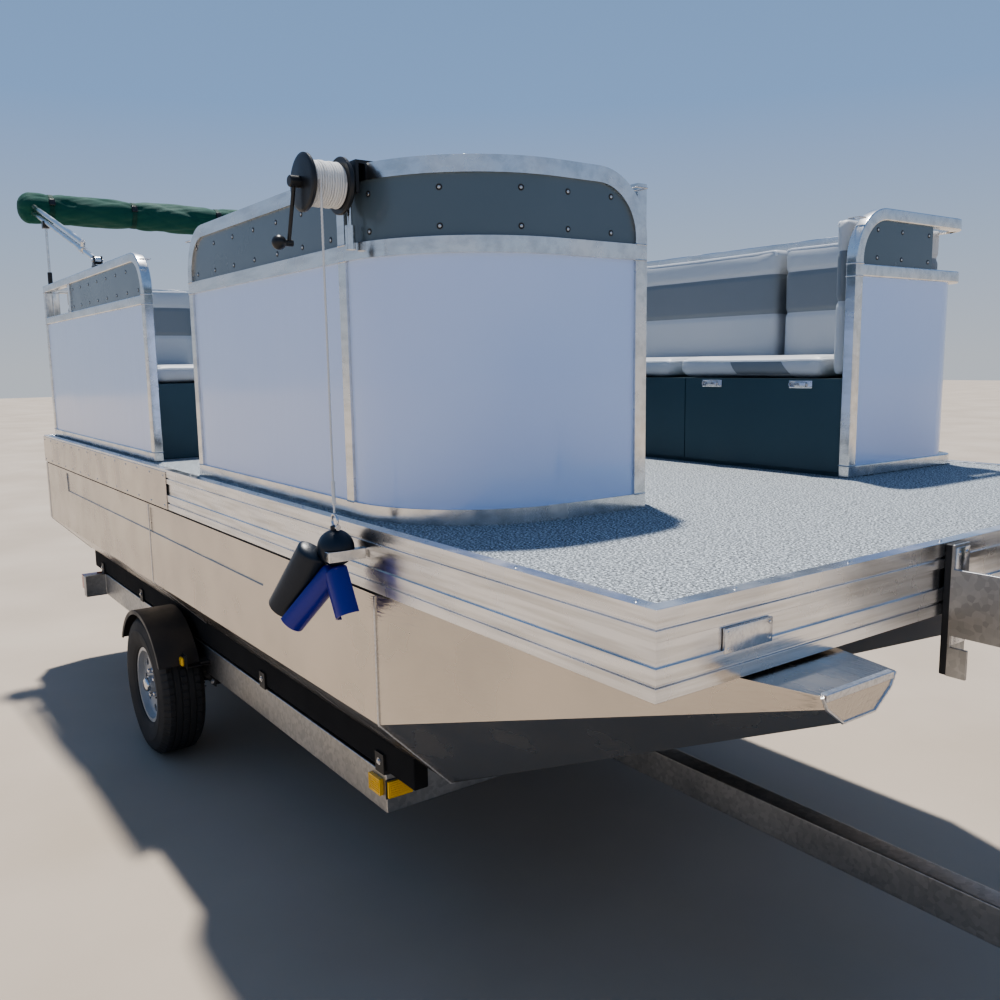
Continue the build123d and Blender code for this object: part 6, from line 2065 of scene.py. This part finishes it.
@dataclass(frozen=True)
class Fluke:
    """One half-pipe fluke of the anchor.

    Attributes:
        radius: outer radius.
        wall: thickness.
        length: its length.
        offset: its root's place from the shank's foot.
        heading: way that it points.
        opening: way that its open side faces.
        finish: its coating.
    """

    radius: float
    wall: float
    length: float
    offset: Point
    heading: Point
    opening: Point
    finish: Finish

    def shape(self, foot: Array) -> Shape:
        """The trough with its rounded nose.

        Ring radius = radius * sqrt(1 - (1 - t)^2) over the nose, where t runs from 0 to 1. Each ring
        goes round the outside through half a turn and back along the inside.

        Args:
            foot: the shank's foot.

        Returns:
            The closed trough.
        """
        root = foot + np.array(self.offset)
        head = unit(np.array(self.heading))
        opened = np.array(self.opening)
        away = -unit(opened - head * (opened @ head))
        side = np.cross(away, head)
        nose = 0.4 * self.radius
        front = nose * (1 - np.cos(np.linspace(0.10, math.pi / 2, 9)))
        run = np.concatenate([front, np.linspace(nose, self.length, 16)[1:]])
        share = np.clip(1 - run / nose, 0, 1)
        outer = self.radius * np.sqrt(1 - share**2)
        inner = np.maximum(outer - self.wall, outer * 0.35)
        half = np.linspace(-math.pi / 2, math.pi / 2, 25)
        turn = np.concatenate([half, np.full(5, half[-1]), half[::-1], np.full(5, half[0])])
        lip = np.linspace(0, 1, 7)[1:-1]
        depth = np.concatenate([np.zeros(25), lip, np.ones(25), lip[::-1]])
        radius = outer[:, None] + (inner - outer)[:, None] * depth[None]
        points = root + run[:, None, None] * head + radius[..., None] * (
            np.cos(turn)[None, :, None] * away + np.sin(turn)[None, :, None] * side
        )
        trough = grid(points, wrap_cols=True)
        ends = np.arange(len(turn))
        strips = []
        for first in (0, (len(run) - 1) * len(turn)):
            outside = ends[:25] + first
            inside = (ends[30:55] + first)[::-1]
            strips.append(np.stack([outside[:-1], outside[1:], inside[1:], inside[:-1]], axis=-1))
        trough.faces.append(np.concatenate(strips))
        return trough


@dataclass(frozen=True)
class AnchorGear:
    """Anchor reel with its rope, the hanging rope, the anchor and its davit.

    Attributes:
        layout: where the deck lies.
        line: thickness of the rope.
        strand_lay: length of one turn of its strands.
        core: radius of the winding's bore.
        head: radius of the anchor's domed head.
        head_rise: height of its middle above the shank's foot.
        cut: (wall, ceiling) of the dome's cut round the davit, from its middle.
        foot: height of the shank's foot above the floor.
        eye: height of the shackle above the floor.
        ring: radius of the shackle's ring.
    """

    layout: Layout
    line: float = 0.006
    strand_lay: float = 0.028
    core: float = 0.0225
    head: float = 0.044
    head_rise: float = 0.045
    cut: tuple[float, float] = (0.0197, 0.0010)
    foot: float = -0.092
    eye: float = 0.018
    ring: float = 0.0145

    def strands(self, path: Array, up: Point) -> Shape:
        """Three-strand rope along a path.

        The profile is r (0.80 + 0.20 |cos(1.5 t)|), turned once per lay length.

        Args:
            path: n x 3 points.
            up: a direction that the path never runs along.

        Returns:
            The rope.
        """
        swell = 0.80 + 0.20 * np.abs(np.cos(1.5 * turns_of(12)))
        profile = circle(self.line / 2, 12) * swell[:, None]
        return sweep(path, profile, up=up, twist=measured(path) / self.strand_lay * TAU)

    def winding(self) -> None:
        """Rope laid in neat turns on the reel: a helix whose step is the rope's own width."""
        low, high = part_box("reel_rope")
        middle = (low + high) / 2
        radius = (high.z - low.z) / 2 - self.line / 2 - 0.0013
        width = high.y - low.y - self.line
        turns = int(width / self.line)
        step = np.linspace(0, turns, turns * 44)
        wander = 0.0007 * np.sin(step * 1.7) + 0.0004 * np.sin(step * 5.1)
        across = low.y + self.line / 2 + step / turns * width
        path = about_y(middle.x, across, middle.z, radius + wander, step * TAU)
        outer, inner = radius - 0.001, self.core
        hub = lathe([(inner, low.y), (outer, low.y), (outer, high.y), (inner, high.y)], 40)
        hub.points = hub.points[:, [0, 2, 1]] * np.array([1.0, 1.0, -1.0]) + [middle.x, 0.0, middle.z]
        shape = sweep(path, circle(self.line / 2, 8), up=(0, 1, 0)) + hub
        make("reel_winding", shape, PALETTE.rope, "reel", ("reel_rope",), smooth=50)

    def drop(self) -> tuple[float, float]:
        """The x and y of the hanging rope."""
        low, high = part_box("anchor_rope")
        return (low.x + high.x) / 2, (low.y + high.y) / 2

    def hanging(self) -> None:
        """Taut stranded rope down to the anchor's shackle, whipped with twine at its lower end."""
        low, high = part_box("anchor_rope")
        path = spots(*([place] for place in self.drop()), np.linspace(low.z, high.z, 260))
        line = self.strands(path, (0, 1, 0))
        make("anchor_line", line, PALETTE.rope, "boat", ("anchor_rope",), 60)
        path = spots(*([place] for place in self.drop()), np.linspace(low.z + 0.020, low.z + 0.075, 40))
        size = 1 + 0.10 * np.sin(path[:, 2] * 2200)
        twine = sweep(path, circle(0.0046, 10), up=(0, 1, 0), scale=size)
        make("anchor_line_whipping", twine, PALETTE.rope)

    def dome(self, foot: Array) -> Shape:
        """Round head under the shackle, cut away round the davit.

        Ball points below the cut's ceiling and beyond its wall move to the nearer of the two.

        Args:
            foot: the shank's foot.

        Returns:
            The closed dome.
        """
        rise = math.pi / 2 - np.linspace(0.03, math.pi - 0.03, 34)
        ball = directions(rise, turns_of(44)) * self.head
        wall, ceiling = self.cut
        past, under = ball[..., 0] - wall, ceiling - ball[..., 2]
        inside = (past > 0) & (under > 0)
        ball[..., 0] = np.where(inside & (past <= under), wall, ball[..., 0])
        ball[..., 2] = np.where(inside & (past > under), ceiling, ball[..., 2])
        return grid(ball + foot + [0.0, 0.0, self.head_rise], wrap_cols=True).capped(44)

    def anchor(self) -> None:
        """Shackle, shank, domed head and three coated flukes."""
        x, y = self.drop()
        shackle = self.layout.up(self.eye)
        foot = np.array([x, y, self.layout.up(self.foot)])
        # dark is the blue dip coat with painted shade, used on the first fluke, the shank and the domed head.
        blue, dark = PALETTE.anchor_blue, PALETTE.anchor_blue_painted_shade
        flukes = (
            Fluke(
                0.042, 0.005, 0.196, (-0.028, -0.034, 0.048), (-0.526, -0.230, -0.819),
                (-0.80, 0.58, -0.15), dark,
            ),
            Fluke(0.033, 0.004, 0.185, (0, 0, 0), (-0.496, -0.455, -0.781), (-0.946, -0.030, 0.290), blue),
            Fluke(0.034, 0.004, 0.122, (0, 0, 0), (0.487, 0.014, -0.907), (-0.301, 0.804, 0.043), blue),
        )
        for index, fluke in enumerate(flukes, 1):
            name = f"anchor_fluke_{index}"
            make(name, fluke.shape(foot), fluke.finish, "boat", ("anchor",), smooth=45)
        stem = [(0.0, 0.0), (0.008, 0.0), (0.010, 0.002), (0.010, 0.085), (0.011, 0.092), (0.011, 0.097)]
        shank = lathe([*stem, (0.0, 0.100)], 24).at(places(foot, (0, 0, 1))) + self.dome(foot)
        make("anchor_shank", shank, dark, "boat", ("anchor",))
        ring = about_y(x, y, shackle, self.ring, turns_of(40))
        wire = sweep(ring, circle(0.0036, 10), up=(0, 1, 0), closed=True)
        shaft = [(0, -0.014), (0.004, -0.014), (0.004, 0.014), (0.007, 0.014), (0.007, 0.018)]
        pin = lathe([*shaft, (0, 0.018)], 14)
        wire = wire + pin.at(places((x, y, shackle - 0.0150), (1, 0, 0)))
        make("anchor_shackle", wire, PALETTE.steel, "boat", ("anchor",))

    def build(self, nodes: dict) -> None:
        """Dresses the reel and davit and makes the rope and the anchor.

        Args:
            nodes: the frame's objects by name.
        """
        dress(nodes, "reel_bracket", PALETTE.moulding, 0.001)
        self.layout.split(nodes["reel_bracket"], PALETTE.rail, 0.0, 0.770)
        dress(nodes, "reel_spool", PALETTE.moulding, 0.0015)
        dress(nodes, "anchor_davit", PALETTE.rail, 0.002)
        self.winding()
        self.hanging()
        self.anchor()


@dataclass(frozen=True)
class Wheels:
    """Treaded tyres and the small pieces of the rims.

    Attributes:
        rim: outer radius of the rim.
        sink: rim's edges inside the tyre's faces.
        bulge: how far the walls swell past the tyre's faces.
        blocks: tread blocks round the tyre.
        grooves: places of the round grooves across the tread, from its middle.
        groove: depth of the round grooves.
        slot: depth of the slots between the blocks.
        notch: depth of the notches in the shoulders.
        studs: number of lug nuts.
        stud_reach: radius of their circle.
        dish: depth of the rim's disc behind its face.
    """

    rim: float = 0.165
    sink: float = 0.012
    bulge: float = 0.009
    blocks: int = 58
    grooves: tuple[float, ...] = (-0.042, -0.014, 0.014, 0.042)
    groove: float = 0.0055
    slot: float = 0.0040
    notch: float = 0.0032
    studs: int = 5
    stud_reach: float = 0.057
    dish: float = 0.026

    def section(self, radius: float, width: float) -> Array:
        """Half outline of the tyre, from its bead to its crown.

        Args:
            radius: outer radius of the tyre.
            width: width between its faces.

        Returns:
            Rows of (radius, distance from its middle plane).
        """
        rim, bulge, half, edge = self.rim, self.bulge, width / 2, radius - 0.005
        wall = edge - rim
        rows = [
            (rim + 0.0005, half - self.sink), (rim + 0.004, half - 0.008), (rim + 0.010, half - 0.006),
            (rim + wall * 0.10, half - 0.0035), (rim + wall * 0.14, half - 0.0010),
            (rim + wall * 0.20, half + 0.0005), (rim + wall * 0.34, half + bulge * 0.75),
            (rim + wall * 0.50, half + bulge), (rim + wall * 0.56, half + bulge),
            (rim + wall * 0.58, half + bulge - 0.0018), (rim + wall * 0.66, half + bulge * 0.65),
            (edge - 0.028, half + 0.0010), (edge - 0.022, half - 0.0004),
            (edge - 0.014, half - 0.0055), (edge - 0.006, half - 0.0135),
        ]
        return np.array(rows)

    def tyre(self, node: str, body: str) -> None:
        """Treaded tyre: the outline turned about the axle, with grooves and cut blocks.

        On the shoulder ribs and the middle a slot is cut where sin(blocks * turn + 26 * |across|) is
        above 0.72, and the shoulders are notched in the same way.

        Args:
            node: the tyre's solid.
            body: the body that it rides on.
        """
        low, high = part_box(node)
        middle = (low + high) / 2
        radius, width = (high.z - low.z) / 2, high.y - low.y - 2 * self.bulge
        half = self.section(radius, width)
        crown = np.linspace(width / 2 - 0.022, 0.022 - width / 2, 49)
        crown_radius = radius - 0.0042 * (crown / (width / 2)) ** 2
        outline = np.vstack([half, np.stack([crown_radius, crown], axis=-1), half[::-1] * [1.0, -1.0]])
        turn = turns_of(self.blocks * 8)
        cut = np.zeros((len(outline), len(turn)))
        first, last = len(half), len(half) + len(crown)
        out = np.abs(crown)[:, None]
        slots = (np.sin(self.blocks * turn + 26 * out) > 0.72) & ((out > 0.044) | (out < 0.012))
        near = np.abs(crown[:, None] - np.array(self.grooves)).min(axis=1, keepdims=True) < 0.0026
        cut[first:last] = np.where(near, self.groove, np.where(slots, self.slot, 0.0))
        notches = np.where(np.sin(self.blocks * turn + 26 * 0.07) > 0.72, self.notch, 0.0)
        cut[first - 2 : first] = notches
        cut[last : last + 2] = notches
        across = middle.y + outline[:, 1:]
        points = about_y(middle.x, across, middle.z, outline[:, :1] - cut, turn)
        tread = grid(points, wrap_rows=True, wrap_cols=True)
        make(node + "_tread", tread, PALETTE.tyre, body, (node,), 28)

    def trims(self, node: str, body: str, side: int) -> None:
        """Lug nuts, hub cap and the valve on a rim's outer face.

        Args:
            node: the rim's solid.
            body: the body that they ride on.
            side: -1 for starboard, 1 for port.
        """
        low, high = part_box(node)
        middle = (low + high) / 2
        face = low.y if side < 0 else high.y
        outward, disc = (0.0, float(side), 0.0), face - side * self.dish
        turn = turns_of(self.studs) + math.pi / self.studs
        ring = about_y(middle.x, disc, middle.z, self.stud_reach, turn)
        nut = lathe([(0, 0), (0.0105, 0), (0.0105, 0.015), (0.0085, 0.018), (0, 0.020)], 6)
        collar = lathe([(0, -0.001), (0.013, -0.001), (0.011, 0.003), (0, 0.003)], 18)
        nuts = (nut + collar).at(places(ring, outward))
        dome = [(0, 0.0), (0.031, 0.0), (0.031, 0.006), (0.0285, 0.014), (0.021, 0.0195), (0.0, 0.021)]
        hub = lathe(dome, 32).at(places((middle.x, face - side * 0.0045, middle.z), outward))
        make(node + "_nuts", nuts + hub, PALETTE.steel, body)
        stem = lathe([(0, -0.004), (0.005, -0.004), (0.0045, 0.018), (0.004, 0.030), (0, 0.032)], 12)
        place = places((middle.x + 0.135, disc + side * 0.002, middle.z - 0.02), outward)
        make(node + "_valve", stem.at(place), PALETTE.rubber, body)

    def build(self, nodes: dict) -> None:
        """Makes both tyres and dresses both rims.

        Args:
            nodes: the frame's objects by name.
        """
        for name, side in (("starboard", -1), ("port", 1)):
            body = f"wheel_{name}"
            dress(nodes, f"rim_{name}", PALETTE.wheel_paint, 0.0012)
            self.tyre(f"tyre_{name}", body)
            self.trims(f"rim_{name}", body, side)


@dataclass(frozen=True)
class Trailer:
    """Frame, bunks, springs, lamps, winch, bow stops, jack and coupler.

    Places along the trailer are behind the deck's bow edge, and places across it in from its side.

    Attributes:
        layout: where the deck lies.
        wheels: its two wheels.
        brackets: rows of the bunks' brackets.
        bracket_outer: their outer faces.
        bracket_inner: their inner faces.
        bracket_bolt: height of their bolts.
        eyes: places of the springs' eyes.
        clamps: places of the springs' U-bolts.
        clamp_sides: the U-bolts' legs.
        stop: both sides of a bow stop.
        stop_ahead: the stops' faces, ahead of the bow edge.
        lamp: both sides of a front lamp.
        lamp_front: front face of the frame behind the lamps.
        lamp_top: height of the lamps' top.
        marker: place of the starboard side marker's bracket.
        drum: (ahead of the bow edge, above the floor) of the winch's axle.
        strap_turns: turns of strap on the drum.
        teeth: teeth of the winch's gear.
        gear: radius at which they stand.
    """

    layout: Layout
    wheels: Wheels = Wheels()
    brackets: tuple[float, ...] = (1.260, 2.150, 3.750, 4.550)
    bracket_outer: tuple[float, float] = (0.192, 0.441)
    bracket_inner: tuple[float, float] = (0.253, 0.502)
    bracket_bolt: float = 0.550
    eyes: tuple[float, float] = (3.435, 2.765)
    clamps: tuple[float, float] = (3.134, 3.066)
    clamp_sides: tuple[float, float] = (0.197, 0.253)
    stop: tuple[float, float] = (0.830, 0.890)
    stop_ahead: float = 0.020
    lamp: tuple[float, float] = (0.200, 0.280)
    lamp_front: float = 1.260
    lamp_top: float = 0.495
    marker: Point = (-3.35, -1.055, 0.477)
    drum: tuple[float, float] = (0.240, -0.026)
    strap_turns: int = 5
    teeth: int = 48
    gear: float = 0.059

    def dress(self, nodes: dict) -> None:
        """Finishes the trailer's solids.

        Args:
            nodes: the frame's objects by name.
        """
        dress_all(
            nodes,
            {
                "trailer_frame": (PALETTE.galvanised, 0.004), "trailer_tongue": (PALETTE.galvanised, 0.004),
                "trailer_axle": (PALETTE.black_steel, 0.002), "trailer_springs": (PALETTE.black_steel, 0.001),
                "bunk_brackets": (PALETTE.black_steel, 0.001), "fenders": (PALETTE.black_steel, 0.001),
                "winch_stand": (PALETTE.galvanised, 0.0015), "winch": (PALETTE.black_steel, 0.001),
                "bow_stop_pads": (PALETTE.rubber, 0.003), "jack_leg": (PALETTE.galvanised, 0.001),
                "jack_head": (PALETTE.galvanised, 0.0012), "coupler": (PALETTE.black_steel, 0.0025),
                "trailer_bunks": (PALETTE.carpet, 0.005), "lamps_amber": (PALETTE.amber, 0.0015),
                "lamps_red": (PALETTE.red, 0.0015),
            },
        )

    def grid_of(self, rows: Sequence[float], insets: Sequence[float], z: float) -> Array:
        """Every starboard place with one of the distances behind the bow and in from the side.

        Args:
            rows: distances behind the bow edge.
            insets: distances in from the deck's side.
            z: height of them all.

        Returns:
            The places.
        """
        at = self.layout
        return spots([at.aft(row) for row in rows], [at.star(inset) for inset in insets], (z,))

    def bolts(self) -> None:
        """Bolts on the bunks' brackets and the springs' eyes, and nuts under the U-bolts."""
        small = hex_bolt(0.013, 0.006)
        rows = [row + 0.025 for row in self.brackets]
        outer = places(self.grid_of(rows, self.bracket_outer, self.bracket_bolt), (0, -1, 0))
        inner = places(self.grid_of(rows, self.bracket_inner, self.bracket_bolt), (0, 1, 0))
        eyes = places(self.grid_of(self.eyes, (0.203,), 0.372), (0, -1, 0))
        bolts = small.at(outer) + small.at(inner) + hex_bolt(0.016, 0.008).at(eyes)
        make("trailer_bolts", bolts.both_sides(), PALETTE.steel)
        clamps = places(self.grid_of(self.clamps, self.clamp_sides, 0.256), (0, 0, -1))
        nuts = hex_bolt(0.018, 0.010).at(clamps).both_sides()
        make("spring_nuts", nuts, PALETTE.steel)

    def stop_fittings(self) -> None:
        """Bright face strips and fastenings on the two bow stops."""
        at = self.layout
        x, near, far = at.bow + self.stop_ahead, at.star(self.stop[0]), at.star(self.stop[1])
        low, high = (x - 0.001, near + 0.004, at.up(-0.210)), (x + 0.0025, far - 0.004, at.up(-0.006))
        middle, face = (near + far) / 2, x + 0.002
        tops = spots((face,), (middle - 0.014, middle + 0.014), (at.up(-0.018),))
        small = screw_head(0.0045).at(places(tops, (1, 0, 0)))
        large = hex_bolt(0.016, 0.008).at(places((face, middle, at.up(-0.165)), (1, 0, 0)))
        fittings = (slab(low, high, 0.001, 3) + small + large).both_sides()
        make("bow_stop_fittings", fittings, PALETTE.steel)

    def lenses(self) -> None:
        """Ribs on the front lamps' faces and outer sides, and the lamps' bases."""
        at, top = self.layout, self.lamp_top
        x, near, far = at.aft(self.lamp_front), at.star(self.lamp[0]), at.star(self.lamp[1])
        out, half = near - 0.012, 0.0022
        ribs = []
        for z in np.linspace(top - 0.042, top - 0.008, 6):
            low, high = (x + 0.011, near + 0.005, z - half), (x + 0.0136, far - 0.005, z + half)
            ribs.append(slab(low, high, 0.001, 3))
            low, high = (x - 0.085, out - 0.0016, z - half), (x - 0.025, out + 0.001, z + half)
            ribs.append(slab(low, high, 0.0008, 3))
        make("lamp_ribs", joined(ribs).both_sides(), PALETTE.amber)
        low, high = (x - 0.001, near - 0.004, top - 0.054), (x + 0.004, far + 0.004, top + 0.004)
        bases = slab(low, high, 0.0015, 3).both_sides()
        make("lamp_bases", bases, PALETTE.moulding)

    def side_markers(self) -> None:
        """Small clearance lamps on angle brackets at the sides of the frame."""
        x, y, z = self.marker
        foot = self.layout.star(0.200)
        arm = slab((x - 0.016, y - 0.002, z - 0.030), (x + 0.016, foot + 0.001, z - 0.026), 0.001, 3)
        plate = slab((x - 0.030, y - 0.002, z - 0.030), (x + 0.030, y + 0.002, z + 0.030), 0.001, 3)
        base = slab((x - 0.024, y - 0.008, z - 0.022), (x + 0.024, y - 0.001, z + 0.022), 0.003, 3)
        lens = slab((x - 0.020, y - 0.020, z - 0.018), (x + 0.020, y - 0.006, z + 0.018), 0.008, 6)
        bracket = (arm + plate).both_sides()
        make("side_marker_brackets", bracket, PALETTE.black_steel)
        make("side_marker_bases", base.both_sides(), PALETTE.moulding)
        make("side_marker_lenses", lens.both_sides(), PALETTE.amber)

    def winch_fittings(self) -> None:
        """Woven strap on the drum, gear teeth, and the nuts on the winch's side."""
        x, z = self.layout.bow + self.drum[0], self.layout.up(self.drum[1])
        step = np.linspace(0, self.strap_turns, self.strap_turns * 40)
        path = about_y(x, 0.0, z, 0.0315 + step * 0.0028, step * TAU)
        flat = np.array([(-0.0011, -0.0245), (-0.0011, 0.0245), (0.0011, 0.0245), (0.0011, -0.0245)])
        roll = sweep(path, flat, up=(0, 1, 0))
        make("winch_strap_roll", roll, PALETTE.webbing)
        turn = turns_of(self.teeth)
        seats = places(about_y(x, 0.054, z, self.gear, turn), about_y(0.0, 0.0, 0.0, 1.0, turn))
        tooth = slab((-0.0045, -0.0015, -0.001), (0.0045, 0.0015, 0.0042), 0.0006, 2)
        make("winch_gear_teeth", tooth.at(seats), PALETTE.black_steel)
        nuts = hex_bolt(0.017, 0.009).at(places([[x, -0.049, z], [x - 0.02, -0.049, z - 0.045]], (0, -1, 0)))
        make("winch_nuts", nuts, PALETTE.steel)

    def grips(self) -> None:
        """Ribbed rubber grips on the cranks of the jack and the winch."""
        ribs = [(0.0155, 0.004), (0.0140, 0.012), (0.0155, 0.020), (0.0140, 0.028), (0.0155, 0.036)]
        ribs += [(0.0140, 0.044), (0.0155, 0.052), (0.0140, 0.060), (0.0155, 0.068)]
        grip = lathe([(0, 0), (0.0145, 0), *ribs, (0, 0.072)], 18)
        low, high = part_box("jack_head")
        handle = grip.at(places((low.x + 0.013, 0.0, high.z - 0.076), (0, 0, 1)))
        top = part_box("winch")[1]
        crank = grip.at(places((top.x - 0.013, top.y - 0.078, top.z - 0.013), (0, 1, 0)))
        make("front_grips", handle + crank, PALETTE.rubber)

    def build(self, nodes: dict) -> None:
        """Dresses the trailer and adds its small pieces.

        Args:
            nodes: the frame's objects by name.
        """
        self.dress(nodes)
        self.wheels.build(nodes)
        self.bolts()
        self.stop_fittings()
        self.lenses()
        self.side_markers()
        self.winch_fittings()
        self.grips()


def corners(box: tuple[Vector, Vector]) -> list[list[float]]:
    """Both corners of a box as plain lists."""
    return [[float(part) for part in corner] for corner in box]


def main() -> None:
    """Builds the dressed boat around the frame and notes both sizes."""
    logging.basicConfig(level=logging.INFO, format="%(name)s %(message)s")
    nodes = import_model()["nodes"]
    plain = corners(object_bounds())
    layout = Layout.read()
    LOG.info("deck from %.3f to %.3f", layout.bow, layout.stern)
    studio = Studio()
    studio.camera()
    studio.ground()
    studio.light()
    Hull(layout).build(nodes)
    Fences(layout).build(nodes)
    Seats(layout).build(nodes)
    Helm(layout).build(nodes)
    Canopy(layout).build(nodes)
    AnchorGear(layout).build(nodes)
    Trailer(layout).build(nodes)
    dressed = corners(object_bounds())
    LOG.info("plain %s, dressed %s", plain, dressed)


if __name__ == "__main__":
    main()
